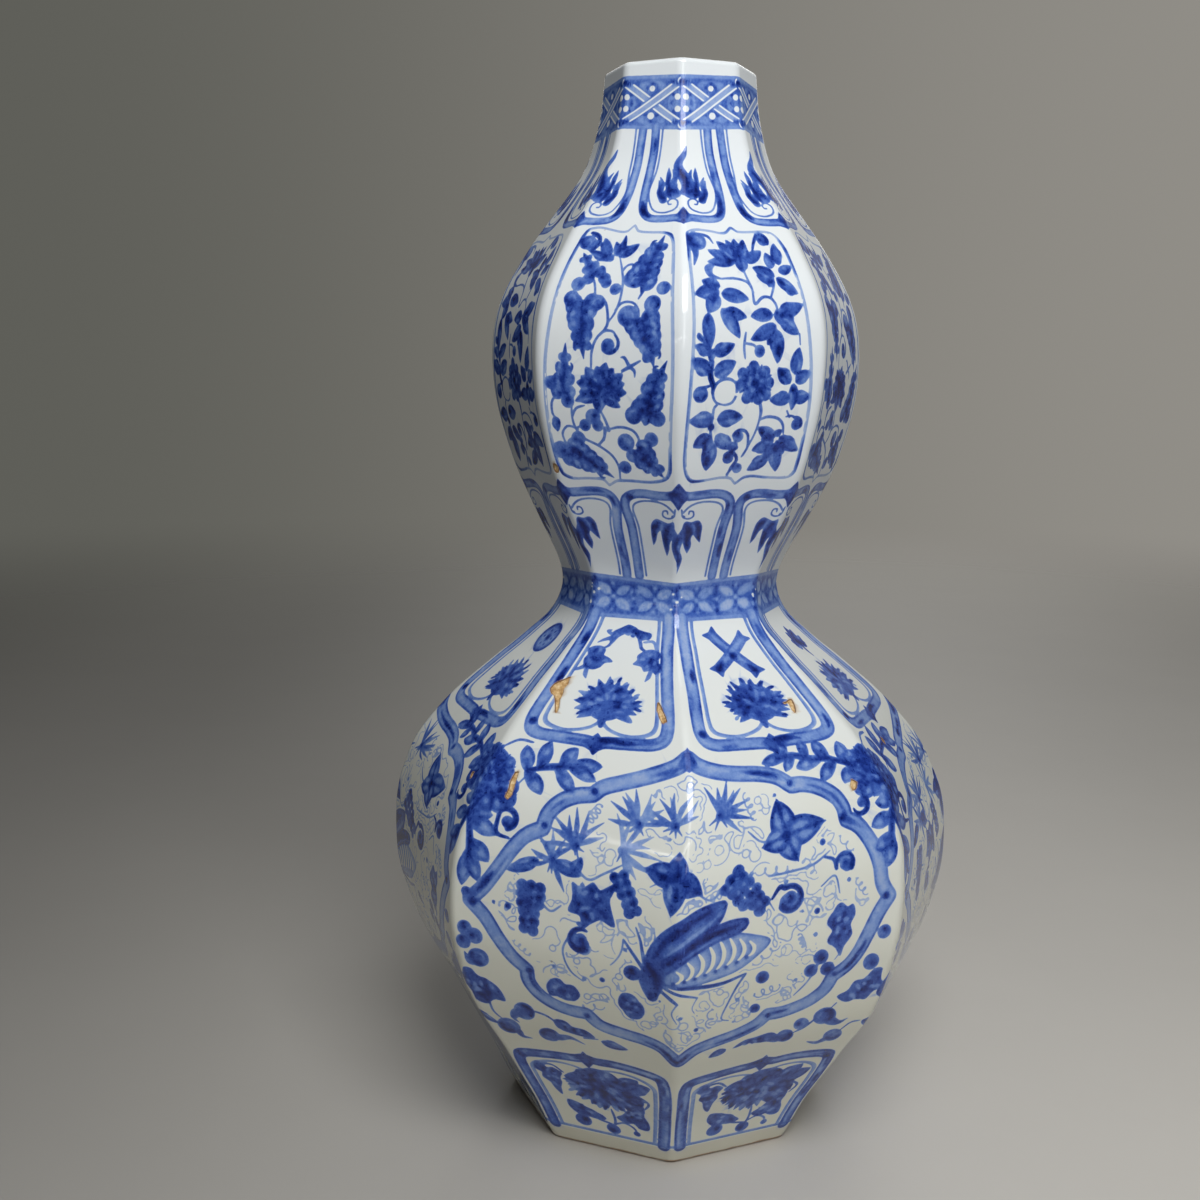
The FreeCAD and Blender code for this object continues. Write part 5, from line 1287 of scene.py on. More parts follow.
    # sprays between the medallions, upper
    blossom(p, -55.0, 125.0, 7.4, n=9, tone=0.64)
    blossom(p, -53.2, 131.0, 4.6, n=7, tone=0.64)
    lobed(p, [(-45.5, 130.4), (-38.0, 132.2), (-28.0, 133.2)], [(-45.4, 137.8, 4.8), (-38.0, 139.6, 4.4), (-23.6, 133.8, 4.8), (-30.4, 138.4, 4.4), (-25.6, 129.4, 4.1), (-31.6, 125.6, 4.6), (-41.0, 124.0, 5.1)])
    stems(p, [[(-45.0, 129.4), (-47.8, 126.4)], [(-43.6, 138.6), (-47.6, 139), (-52.4, 136.6)]], w=0.8, tone=0.66)
    blossom(p, 54.6, 127.8, 6.0, n=9, tone=0.64)
    blossom(p, 52.6, 133.6, 3.8, n=7, tone=0.64)
    lobed(p, [(49.4, 131.4), (42.0, 134.2), (35.4, 134.4)], [(37.6, 139.8, 4.1), (45.4, 139.0, 4.4), (46.6, 126.6, 4.6), (39.4, 127.8, 4.4), (31.8, 132.4, 4.4)])
    lobed(p, [(35.6, 135.4), (31.2, 136.2), (26.4, 136.2)], [(26.6, 140.2, 3.4), (33.6, 140.6, 3.4), (21.4, 134.8, 3.7), (28.6, 131.8, 3.2)])
    stems(p, [[(45.6, 133), (48.6, 135.6), (52, 134.4)], [(33.0, 135), (37, 134.6)]], w=0.8, tone=0.66)
    curlicue(p, -50.4, 116.6, 2.8, 150, -230, w=1.5, tail=[(-49.6, 111.6), (-53.4, 112.8)])
    curlicue(p, 51.4, 120.6, 2.4, 200, 220, w=1.3)
    lobed(p, [(-62.4, 118.0), (-61.0, 109.6), (-61.6, 102.4)], [(-53.2, 111.8, 5.1), (-54.8, 104.4, 5.1), (-57.4, 98.6, 4.6), (-62.6, 96.8, 4.8), (-54.6, 117.0, 4.4)])
    lobed(p, [(62.4, 121.0), (61.2, 113.4), (61.6, 108.6)], [(54.6, 114.4, 4.6), (56.0, 108.4, 4.4), (60.6, 103.6, 4.6), (55.8, 120.6, 4.1)])
    knob(p, -61.2, 95.4, 1.5)
    # lower spandrels
    for (x, y, r) in ((-61.4, 84.8, 2.3), (-58.4, 82.8, 2.4), (-61.8, 80.6, 2.2), (57.2, 77.2, 2.5), (60.6, 85.8, 2.0)):
        knob(p, x, y, r)
    for (x, y, r, g, tl) in ((-57.4, 76.0, 3.2, 40, [(-60.0, 74.6), (-61.6, 77.2)]), (-44.2, 59.6, 3.3, 210, [(-46.8, 58.2), (-47.8, 56.0), (-46.2, 54.2)]),
                             (-49.6, 51.6, 3.4, 60, [(-47.0, 50.0), (-45.6, 47.8), (-42.6, 47.6)]), (-37.0, 51.4, 3.2, 300, [(-34.2, 51.2), (-30.6, 52.2), (-26.4, 50.4)]),
                             (44.2, 60.2, 3.4, 200, [(46.4, 57.6), (48.8, 56.4), (51.4, 57.6)]), (32.2, 54.6, 2.6, 140, [(29.6, 53.6), (26.6, 54.4), (22.6, 55.4)]),
                             (47.4, 50.6, 2.8, 90, [(45.0, 49.2), (42.4, 48.2), (39.4, 49.6)])):
        knob(p, x, y, r, gap=g)
        p.line([(x, y)] + tl, w=[r] + list(np.linspace(r * 0.9, 0.3, len(tl))), tone=0.62)
    knob(p, 37.0, 58.6, 2.3)
    mass(p, [(-62.6, 71.4), (-59.8, 71.8), (-57.8, 69.4), (-54.6, 68.8), (-51.4, 66.4), (-49.8, 62.2), (-53.0, 62.0), (-55.6, 60.0), (-58.8, 60.6), (-60.2, 63.8), (-63.2, 66.2)],
         0.68, cores=10, r=1.3)
    mass(p, [(-35.4, 58.4), (-32.4, 59.0), (-29.6, 57.4), (-26.0, 57.2), (-23.4, 54.8), (-27.4, 54.4), (-31.0, 54.8), (-34.2, 55.6)], 0.64, cores=5)
    blades(p, [(-21.4, 53.6, -13.4, 52.2, 2.8)])
    stems(p, [[(-55, 61.0), (-54, 57), (-51.6, 54.4)], [(-41.6, 60.6), (-37.6, 59.8), (-34, 57.4)], [(-26.6, 53.4), (-22.4, 54.2)]], w=0.7, tone=0.66)
    mass(p, [(47.4, 67.0), (50.6, 68.6), (52.6, 71.4), (55.6, 71.8), (58.6, 74.6), (61.2, 74.2), (60.6, 70.6), (62.4, 67.6), (59.0, 66.8), (56.4, 64.2), (53.2, 65.2),
             (50.2, 64.4)], 0.68, cores=10, r=1.3)
    mass(p, [(27.4, 57.4), (29.6, 56.2), (30.2, 54.0), (27.6, 53.6), (24.2, 54.0), (20.4, 54.6), (16.4, 53.0), (19.6, 55.8), (23.6, 56.6)], 0.62, cores=4)
    blades(p, [(14.6, 53.6, 9.4, 50.6, 2.4), (56.4, 55.6, 61.0, 51.6, 3.0)])
    stems(p, [[(41, 59.6), (38, 57), (35, 55.6)], [(49.6, 52.6), (52.6, 55.4), (55.6, 55.6)], [(47.4, 64.6), (45.6, 62.8)]], w=0.7, tone=0.66)


def chips():
    """Places where the glaze has flaked off."""
    p = Pen(-0.5, 0, 5, field=CHIP)
    p.fill([(-12.6, 160.9), (-13.6, 160.4), (-15.3, 159.2), (-16.8, 158.0), (-17.6, 156.4), (-16.9, 154.9), (-15.6, 154.0), (-15.0, 152.6),
            (-14.4, 150.8), (-13.9, 148.6), (-13.3, 148.4), (-13.2, 150.4), (-13.7, 152.8), (-13.3, 155.0), (-13.6, 156.6), (-12.7, 158.4), (-12.9, 159.8)], 1.0)
    p.fill([(14.2, 155.2), (15.0, 154.6), (16.2, 152.6), (17.3, 150.9), (18.2, 149.2), (17.2, 148.4), (16.2, 149.6), (15.3, 151.2), (14.5, 152.8)], 1.0)
    p = Pen(0.5, 0, 6, field=CHIP)
    p.fill([(9.9, 152.9), (10.9, 153.5), (11.8, 153.4), (11.8, 151.6), (11.3, 149.6), (10.7, 148.8), (10.1, 150.0), (10.3, 151.4)], 1.0)
    p.line([(10.2, 152.6), (8.8, 152.4)], w=0.5, tone=1.0, smooth=False)
    p = Pen(0, 0, 7, field=CHIP)
    p.fill([(-47.8, 129.9), (-48.9, 129.4), (-50.2, 126.8), (-50.6, 124.6), (-51.6, 122.4), (-50.7, 121.8), (-49.6, 123.2), (-49.0, 125.4), (-48.4, 127.6)], 1.0)
    p.fill([(48.8, 127.6), (50.4, 126.8), (50.2, 124.9), (49.0, 124.4), (48.4, 125.9)], 1.0)
    for (t, z, r) in ((-1.122, 115.9, 0.7), (-0.985, 198.9, 1.0), (1.38, 121.5, 0.8), (2.4, 151.0, 0.9), (-3.2, 96.0, 0.8), (3.6, 240.0, 0.7), (-2.3, 70.0, 0.6)):
        q = Pen(t, 0, 8, field=CHIP)
        q.disc(0, float(v_of_z(z)), r, 1.0, ry=r * 1.4, n=9)


# ------------------------------------------------------------------ lay everything out
def paint():
    for k in range(-4, 4):
        (vine_panel if k % 2 else spray_panel)(k + 0.5, 100 + k)
        neck_lappet(k, 200 + k)
        low_lappet(k, 300 + k)
        lattice(k, 400 + k)
        waist(k, 500 + k)
        shoulder(k, 600 + k, {-1: 0, 0: 1, -2: 2, 1: 3}.get(k, (k * 3) % 4))
        base_panel(k, 700 + k)
    for i, t0 in enumerate((-4, -2, 0, 2)):
        medallion(t0, 800 + i)
    chips()


def fold():
    """Bring the margins back onto the far side, so the painting meets itself at the back ridge."""
    global INK, CHIP
    out = []
    for A in (INK, CHIP):
        B = A[:, PAD:PAD + COLS].copy()
        B[:, :PAD] = np.maximum(B[:, :PAD], A[:, PAD + COLS:])
        B[:, -PAD:] = np.maximum(B[:, -PAD:], A[:, :PAD])
        out.append(B)
    INK, CHIP = out

# ------------------------------------------------------------------ from the painted field to outlines
LEVELS = ((0.14, 0.10, (0.16, 0.84)), (0.42, 0.18, (0.28, 0.72)), (0.74, 0.22, (0.36,)))
TONES = (0.34, 0.25, 0.33)
SPREAD = 50.0                       # one facet is this wide in the plane where the surface is divided


def soften(A, sigma):
    """Gaussian blur with a constant width in mm; columns are narrower where the vase is."""
    out = np.empty_like(A, dtype=np.float32)
    f = np.fft.rfftfreq(COLS)
    step = 400
    for a in range(0, ROWS, step):
        b = min(ROWS, a + step)
        s = sigma / (ROW_S[a:b] / PX)
        g = np.exp(-2 * (math.pi ** 2) * np.outer(s ** 2, f ** 2))
        out[a:b] = np.fft.irfft(np.fft.rfft(A[a:b], axis=1) * g, n=COLS, axis=1)
    s = sigma / DV
    m = max(1, int(math.ceil(3 * s)))
    k = np.exp(-0.5 * (np.arange(-m, m + 1) / s) ** 2)
    k /= k.sum()
    B = np.zeros_like(out)
    for i, w in zip(range(-m, m + 1), k):
        if i < 0:
            B[-i:] += w * out[:i]
            B[:-i] += w * out[:1]
        elif i > 0:
            B[:-i] += w * out[i:]
            B[-i:] += w * out[-1:]
        else:
            B += w * out
    return B


def closed_grid(A):
    """Add the shared column at the back ridge on both sides."""
    e = 0.5 * (A[:, :1] + A[:, -1:])
    return np.hstack([e, A, e])


GT = np.concatenate([[-4.0], -4.0 + (np.arange(COLS) + 0.5) / PX, [4.0]])
GV = (np.arange(ROWS) + 0.5) * DV


def contours(F, level, r0, r1):
    """Oriented chains of points (t, v) where the grid F crosses the level, between two rows."""
    A = F[r0:r1]
    h, w = A.shape
    up = A > level
    # crossings on horizontal edges (between columns) and on vertical edges (between rows)
    q = up[:, :-1] != up[:, 1:]
    hr, hc = np.nonzero(q)
    fa, fb = A[hr, hc], A[hr, hc + 1]
    u = (level - fa) / (fb - fa)
    HT = GT[hc] + (GT[hc + 1] - GT[hc]) * u
    HV = GV[hr + r0]
    q2 = up[:-1] != up[1:]
    vr, vc = np.nonzero(q2)
    fa, fb = A[vr, vc], A[vr + 1, vc]
    u = (level - fa) / (fb - fa)
    VT = GT[vc]
    VV = GV[vr + r0] + DV * u
    nh = len(hr)
    hid = np.full((h, w - 1), -1, np.int32)
    hid[hr, hc] = np.arange(nh)
    vid = np.full((h - 1, w), -1, np.int32)
    vid[vr, vc] = nh + np.arange(len(vr))
    T = np.concatenate([HT, VT])
    Vv = np.concatenate([HV, VV])
    # cells
    a = up[:-1, :-1].astype(np.uint8)
    b = up[:-1, 1:].astype(np.uint8)
    c = up[1:, 1:].astype(np.uint8)
    d = up[1:, :-1].astype(np.uint8)
    code = a + 2 * b + 4 * c + 8 * d
    ci, cj = np.nonzero((code > 0) & (code < 15))
    k = code[ci, cj]
    S = hid[ci, cj]            # lower edge
    N = hid[ci + 1, cj]        # upper edge
    W = vid[ci, cj]            # left edge
    E = vid[ci, cj + 1]        # right edge
    mid = 0.25 * (A[ci, cj] + A[ci, cj + 1] + A[ci + 1, cj] + A[ci + 1, cj + 1]) > level
    st, en = [], []

    def add(m, s, e):
        st.append(s[m])
        en.append(e[m])
    # inside stays on the left of the direction of travel
    add(k == 1, S, W)
    add(k == 2, E, S)
    add(k == 3, E, W)
    add(k == 4, N, E)
    add(k == 6, N, S)
    add(k == 7, N, W)
    add(k == 8, W, N)
    add(k == 9, S, N)
    add(k == 11, E, N)
    add(k == 12, W, E)
    add(k == 13, S, E)
    add(k == 14, W, S)
    m = (k == 5) & mid
    add(m, S, E)
    add(m, N, W)
    m = (k == 5) & ~mid
    add(m, S, W)
    add(m, N, E)
    m = (k == 10) & mid
    add(m, W, S)
    add(m, E, N)
    m = (k == 10) & ~mid
    add(m, E, S)
    add(m, W, N)
    st = np.concatenate(st)
    en = np.concatenate(en)
    n = len(T)
    nxt = np.full(n, -1, np.int64)
    nxt[st] = en
    prev = np.zeros(n, bool)
    prev[en] = True
    nl = nxt.tolist()
    seen = bytearray(n)
    chains = []
    starts = np.nonzero(~prev & (nxt >= 0))[0].tolist()
    for s in starts:
        ch = [s]
        seen[s] = 1
        i = nl[s]
        while i >= 0 and not seen[i]:
            seen[i] = 1
            ch.append(i)
            i = nl[i]
        chains.append((ch, False))
    for s in range(n):
        if seen[s] or nl[s] < 0:
            continue
        ch = []
        i = s
        while not seen[i]:
            seen[i] = 1
            ch.append(i)
            i = nl[i]
        chains.append((ch, True))
    out = []
    for ch, cl in chains:
        ch = np.array(ch)
        out.append((T[ch], Vv[ch], cl))
    return out


def resample(t, v, closed, tol, lo, hi):
    """Thin a chain of contour points so that the spacing follows its curvature."""
    S = width(v)
    dx = np.diff(t) * 0.5 * (S[1:] + S[:-1])
    dv = np.diff(v)
    if closed:
        dx = np.append(dx, (t[0] - t[-1]) * S[-1])
        dv = np.append(dv, v[0] - v[-1])
    ds = np.hypot(dx, dv)
    L = ds.sum()
    if closed and (L < 0.9 or len(t) < 4):
        return None
    if not closed and (L < 0.6 or len(t) < 5):
        return t[[0, -1]], v[[0, -1]], False
    s = np.concatenate([[0], np.cumsum(ds)])
    tt = np.append(t, t[0]) if closed else t
    vv = np.append(v, v[0]) if closed else v
    n = max(8, int(L / 0.08))
    q = np.linspace(0, L, n + 1)
    T, Vv = np.interp(q, s, tt), np.interp(q, s, vv)
    if closed:
        T, Vv = T[:-1], Vv[:-1]
    # light smoothing along the chain
    for _ in range(2):
        if closed:
            T = 0.5 * T + 0.25 * (np.roll(T, 1) + np.roll(T, -1))
            Vv = 0.5 * Vv + 0.25 * (np.roll(Vv, 1) + np.roll(Vv, -1))
        elif len(T) > 2:
            T[1:-1] = 0.5 * T[1:-1] + 0.25 * (T[:-2] + T[2:])
            Vv[1:-1] = 0.5 * Vv[1:-1] + 0.25 * (Vv[:-2] + Vv[2:])
    S = width(Vv)
    k = 3
    if closed:
        a, b = np.roll(T, k), np.roll(T, -k)
        c, d = np.roll(Vv, k), np.roll(Vv, -k)
    else:
        i = np.arange(len(T))
        p, m = np.clip(i + k, 0, len(T) - 1), np.clip(i - k, 0, len(T) - 1)
        a, b, c, d = T[m], T[p], Vv[m], Vv[p]
    d1x, d1v, d2x, d2v = (T - a) * S, Vv - c, (b - T) * S, d - Vv
    turn = np.abs(np.arctan2(d1x * d2v - d1v * d2x, d1x * d2x + d1v * d2v + 1e-12))
    kap = turn / (k * 0.08)
    step = np.clip(np.sqrt(8 * tol / np.maximum(kap, 1e-4)), lo, hi)
    dens = 1.0 / step
    cum = np.concatenate([[0], np.cumsum(0.5 * (dens[1:] + dens[:-1]) * (L / n))])
    m = max(3 if closed else 1, int(round(cum[-1])))
    g = np.linspace(0, cum[-1], m + 1)
    if closed:
        g = g[:-1]
    T2, V2 = np.interp(g, cum, T), np.interp(g, cum, Vv)
    return T2, V2, closed


# ------------------------------------------------------------------ dividing the outside into triangles
Z_LOW, Z_HIGH = 0.8, 308.6
JOINT_Z = (6.0, 82.0, 162.0, 226.0, 284.0)


def divide():
    """Triangulate the unrolled outside once, with every brush outline, ridge line and joint as an edge."""
    v_lo, v_hi = float(v_of_z(Z_LOW)), float(v_of_z(Z_HIGH))
    masks = []
    fields = []
    for (th, sg, lv) in LEVELS:
        m = soften((INK > th).astype(np.float32), sg)
        fields.append(m)
    chipf = soften((CHIP > 0.5).astype(np.float32), 0.16)
    wash = soften(INK, 0.30) / np.maximum(soften((INK > 0.14).astype(np.float32), 0.30), 0.08)
    grids = [closed_grid(m) for m in fields] + [closed_grid(chipf)]
    px, pv, edges = [], [], []
    count = 0

    def poly(t, v, closed):
        nonlocal count
        n = len(t)
        px.append(np.asarray(t, float))
        pv.append(np.asarray(v, float))
        i = np.arange(n - 1) + count
        e = [np.stack([i, i + 1], -1)]
        if closed:
            e.append(np.array([[count + n - 1, count]]))
        edges.append(np.vstack(e))
        count += n

    jobs = [(0, l) for l in LEVELS[0][2]] + [(3, 0.3), (3, 0.75)] + [(i, l) for i in (1, 2) for l in LEVELS[i][2]]
    r0, r1 = int(v_lo / DV) + 2, int(v_hi / DV) - 1
    kept = []
    for n, l in jobs:
        lowt, lo, hi = (0.04, 0.30, 2.0) if n in (0, 3) else (0.07, 0.42, 2.4)
        got = 0
        for t, v, cl in contours(grids[n], l, r0, r1):
            r = resample(t, v, cl, lowt, lo, hi)
            if r is None:
                continue
            t2, v2, cl = r
            if n in (0, 3):
                poly(t2, v2, cl)
                got += len(t2)
                continue
            # a tone that stops where the ink stops needs no outline of its own there
            if cl:
                t2, v2 = np.append(t2, t2[0]), np.append(v2, v2[0])
            c = np.clip(((t2 + 4) * PX).astype(int), 0, COLS - 1)
            q = np.clip((v2 / DV).astype(int), 0, ROWS - 1)
            ok = (fields[0][q, c] > 0.93) & (np.abs(t2) < 3.992)
            if n == 2:
                ok &= fields[1][q, c] > 0.90
            ends = np.flatnonzero(np.diff(np.concatenate([[0], ok.astype(np.int8), [0]])))
            for a, b in zip(ends[::2], ends[1::2]):
                if b - a > 2:
                    whole = cl and a == 0 and b == len(t2)
                    b2 = b - 1 if whole else b
                    poly(t2[a:b2], v2[a:b2], whole)
                    got += b2 - a
        kept.append((n, l, got))
    # ridge lines: the crest, the ends of the rounding and one between
    rows = np.arange(v_lo, v_hi, 2.4)
    jv = v_of_z(np.array(JOINT_Z))
    rows = np.unique(np.concatenate([rows[np.min(np.abs(rows[:, None] - jv[None, :]), 1) > 0.7], jv, [v_hi]]))
    a, flat, S = facet(z_of_v(rows))
    fr = flat / S
    for k in range(-4, 5):
        for g in (-1, -0.5, 0, 0.5, 1):
            if (k == -4 and g < 0) or (k == 4 and g > 0):
                continue
            poly(k + g * (0.5 - fr), rows, False)
    for v in [v_lo, v_hi] + jv.tolist():
        w = float(width(v))
        n = int(round(w / 2.2)) * 8
        tt = np.linspace(-4, 4, n + 1)
        poly(tt, np.full(n + 1, v), False)
    # loose points: an even net over the bare glaze, closer together inside the ink
    rng = np.random.default_rng(7)
    ft, fv = [], []
    for j in range(8):
        for v in rows[1:-1]:
            w = float(width(v))
            n = max(3, int(w / 3.6))
            u = (np.arange(n) + 0.5 + 0.25 * (int(v * 3) % 2)) / n
            ft.append(-4 + j + u)
            fv.append(np.full(n, v + 0.4))
    for s1, want in ((0.86, lambda r, c: fields[0][r, c] > 0.9),):
        for v in np.arange(v_lo + 0.8, v_hi - 0.6, s1):
            w = float(width(v))
            n = int(8 * w / s1)
            t = -4 + 8 * (np.arange(n) + rng.uniform(0.25, 0.75, n)) / n
            vv = v + rng.uniform(-0.2, 0.2, n) * s1
            c = np.clip(((t + 4) * PX).astype(int), 0, COLS - 1)
            r = np.clip((vv / DV).astype(int), 0, ROWS - 1)
            m = want(r, c) & (np.abs(t) < 3.99)
            ft.append(t[m])
            fv.append(vv[m])
    cr, cc = np.nonzero(chipf > 0.5)
    if len(cr):
        pick = rng.random(len(cr)) < (DV * ROW_S[cr] / PX) / 0.16
        ft.append(-4 + (cc[pick] + 0.5) / PX)
        fv.append((cr[pick] + 0.5) * DV)
    ft = np.concatenate(ft)
    fv = np.concatenate(fv)
    ok = (fv > v_lo + 0.3) & (fv < v_hi - 0.3)
    ft, fv = ft[ok], fv[ok]
    X = np.concatenate([np.concatenate(px), ft])
    Y = np.concatenate([np.concatenate(pv), fv])
    E = np.vstack(edges)
    co = [Vector((x, y)) for x, y in zip((X * SPREAD).tolist(), Y.tolist())]
    res = delaunay_2d_cdt(co, [tuple(e) for e in E.tolist()], [], 0, 8e-3)
    XY = np.array([(p.x, p.y) for p in res[0]])
    tri = np.array(res[2], dtype=object)
    if len(tri) and isinstance(res[2][0], (list, tuple)):
        tri = np.array([f for f in res[2]], dtype=np.int64)
    t, v = XY[:, 0] / SPREAD, XY[:, 1]
    t[np.abs(t + 4) < 2e-6] = -4.0
    t[np.abs(t - 4) < 2e-6] = 4.0
    # ink read back at every vertex
    c = (t + 4) * PX - 0.5
    r = v / DV - 0.5
    vals = []
    for m in fields + [chipf, wash]:
        c0 = np.floor(c).astype(int)
        r0_ = np.clip(np.floor(r).astype(int), 0, ROWS - 2)
        u = c - c0
        w = np.clip(r - r0_, 0, 1)
        a_, b_ = c0 % COLS, (c0 + 1) % COLS
        vals.append((m[r0_, a_] * (1 - u) + m[r0_, b_] * u) * (1 - w) + (m[r0_ + 1, a_] * (1 - u) + m[r0_ + 1, b_] * u) * w)
    m1 = np.clip(vals[0], 0, 1)
    ink = np.clip(sum(k * np.clip(x, 0, 1) for k, x in zip(TONES, vals[:3])), 0, 1)
    ink = 0.32 * ink + 0.68 * m1 * np.clip(vals[4], 0.12, 1)
    return t, v, tri, ink, np.clip(vals[3], 0, 1), kept

# ------------------------------------------------------------------ closed tiers
# height, radius across the ridges and wall measured level, as built
LEVEL_TABLE = {
    "lower_belly": [(6, 50.5, 5.5), (16, 55.9, 10.9), (25, 61.4, 7.2), (37, 68.6, 6.8), (48, 75.6, 6.4),
                    (58, 80.5, 5.8), (67, 83.6, 5.4), (75, 85.6, 5.2), (82, 86.1, 5.2)],
    "upper_belly": [(82, 86.1, 5.2), (90, 85.9, 5.3), (98, 84.6, 5.5), (107, 81.4, 6.0), (116, 76.7, 6.9),
                    (125, 69.4, 7.6), (133, 61.2, 8.2), (140, 52.6, 8.3), (146, 45.1, 8.0), (152, 38.0, 7.4),
                    (157, 34.3, 6.6), (162, 32.6, 6.0)],
    "lower_bulb": [(162, 32.6, 6.0), (168, 33.3, 6.0), (175, 36.3, 6.4), (183, 40.7, 6.4), (192, 45.3, 5.8),
                   (202, 49.4, 5.4), (213, 52.5, 5.0), (226, 54.3, 4.8)],
    "upper_bulb": [(226, 54.3, 4.8), (234, 54.3, 4.8), (242, 52.8, 5.1), (250, 49.6, 5.7), (257, 45.6, 6.2),
                   (264, 40.9, 6.5), (270, 36.3, 6.5), (277, 31.2, 6.2), (284, 27.0, 5.4)],
    "neck": [(284, 27.0, 5.4), (291, 24.4, 4.8), (299, 22.7, 4.4), (306, 22.0, 4.2), (310, 21.7, 4.2)],
}
IN = 3.0                            # rounding of the ridges inside
SEAT, FOOT_IN = 45.0, 39.5
GROOVE_IN, GROOVE_OUT = 46.4, 48.8
REACH, HALF, EDGE, LIP = 2.4, 0.5, 0.8, 1.4


def apothem(r, rnd):
    return (r + K8 * rnd) * C8


def ring(a, rnd, z, slope=0.0, facing=1.0, pressed=False, interior=3):
    """One level ring of a rounded octagon: positions and normals. slope is the change of apothem per mm of height;
    facing is +1 for a surface seen from outside and -1 for the inside of the wall."""
    flat = (a - rnd) * T8
    P, N = [], []
    tw = math.radians(float(TWIST(z))) if pressed else 0.0
    dr = float(DRIFT(z)) if pressed else 0.0
    for k in range(8):
        ang = math.radians(-90 + 22.5 + 45 * k) + tw
        n = np.array([math.cos(ang), math.sin(ang)])
        s = np.array([-n[1], n[0]])
        seq = [(-1, f) for f in (1.0, 0.5)] + [(0, g) for g in np.linspace(-1, 1, interior + 2)] + [(1, 0.5)]
        for kind, g in seq:
            if kind == 0:
                xy = n * a + s * flat * g
                nn, w = n, 1.0
            else:
                th = math.radians(22.5) * g * kind
                nn = n * math.cos(th) + s * math.sin(th)
                xy = n * (a - rnd) + s * flat * kind + nn * rnd
                w = math.cos(math.radians(22.5) - abs(th)) / C8
            q = np.array([nn[0], nn[1], -slope * w])
            P.append([xy[0] + dr, xy[1], z])
            N.append(q / np.linalg.norm(q) * facing)
    return np.array(P), np.array(N)


class Solid:
    """Collects the corners, normals and unwrapped places of one closed piece."""

    def __init__(self, P, ink, chip):
        self.P = [np.asarray(P)]
        self.n = len(P)
        self.ink = [ink]
        self.chip = [chip]
        self.F, self.NC, self.UV, self.G = [], [], [], []
        self.row = 0

    def points(self, P):
        self.P.append(np.asarray(P))
        i = np.arange(self.n, self.n + len(P))
        self.n += len(P)
        self.ink.append(np.zeros(len(P)))
        self.chip.append(np.zeros(len(P)))
        return i

    def faces(self, F, NC, UV, group):
        self.F.append(F)
        self.NC.append(NC)
        self.UV.append(UV)
        self.G.append(np.full(len(F), group))

    def all_points(self):
        return np.vstack(self.P)


def polar(P):
    return np.mod(np.arctan2(P[:, 1], P[:, 0]) + math.pi / 2 + 1e-7, 2 * math.pi)


def zip_rings(so, A, B, NA, NB, y0, y1, group, flat=False):
    """Join ring A to ring B, which lies further along the section, with one band of triangles."""
    P = so.all_points()
    pa, pb = polar(P[A]), polar(P[B])
    oa, ob = np.argsort(pa), np.argsort(pb)
    A, pa, NA = A[oa], pa[oa], NA[oa]
    B, pb, NB = B[ob], pb[ob], NB[ob]
    na, nb = len(A), len(B)
    xa = np.append(pa, pa[0] + 2 * math.pi)
    xb = np.append(pb, pb[0] + 2 * math.pi)
    F, N, U = [], [], []
    i = j = 0
    while i < na or j < nb:
        if j >= nb or (i < na and xa[i + 1] <= xb[j + 1]):
            F.append((A[i], A[(i + 1) % na], B[j % nb]))
            N.append((NA[i], NA[(i + 1) % na], NB[j % nb]))
            U.append(((xa[i], y0), (xa[i + 1], y0), (xb[j], y1)))
            i += 1
        else:
            F.append((A[i % na], B[(j + 1) % nb], B[j]))
            N.append((NA[i % na], NB[(j + 1) % nb], NB[j]))
            U.append(((xa[i], y0), (xb[j + 1], y1), (xb[j], y1)))
            j += 1
    F = np.array(F)
    N = np.array(N)
    U = np.array(U)
    U[..., 0] = 0.01 + U[..., 0] / (2.04 * math.pi) * 0.98
    if flat:
        n = np.cross(P[F[:, 1]] - P[F[:, 0]], P[F[:, 2]] - P[F[:, 0]])
        n /= np.linalg.norm(n, axis=1)[:, None] + 1e-12
        N = np.repeat(n[:, None, :], 3, 1)
    so.faces(F, N, U, group)


def band(so, A, NA, ring_b, flat=False, group=1):
    """Add a ring and the band of faces that leads to it; returns the new ring."""
    PB, NB = ring_b
    B = so.points(PB)
    y0 = 0.76 + 0.0085 * so.row
    so.row += 1
    zip_rings(so, A, B, NA, NB, y0, y0 + 0.008, group, flat)
    return B, NB


def inner_profile(levels):
    z = [l[0] for l in levels]
    return spline(z, [apothem(l[1] - l[2], IN) for l in levels])


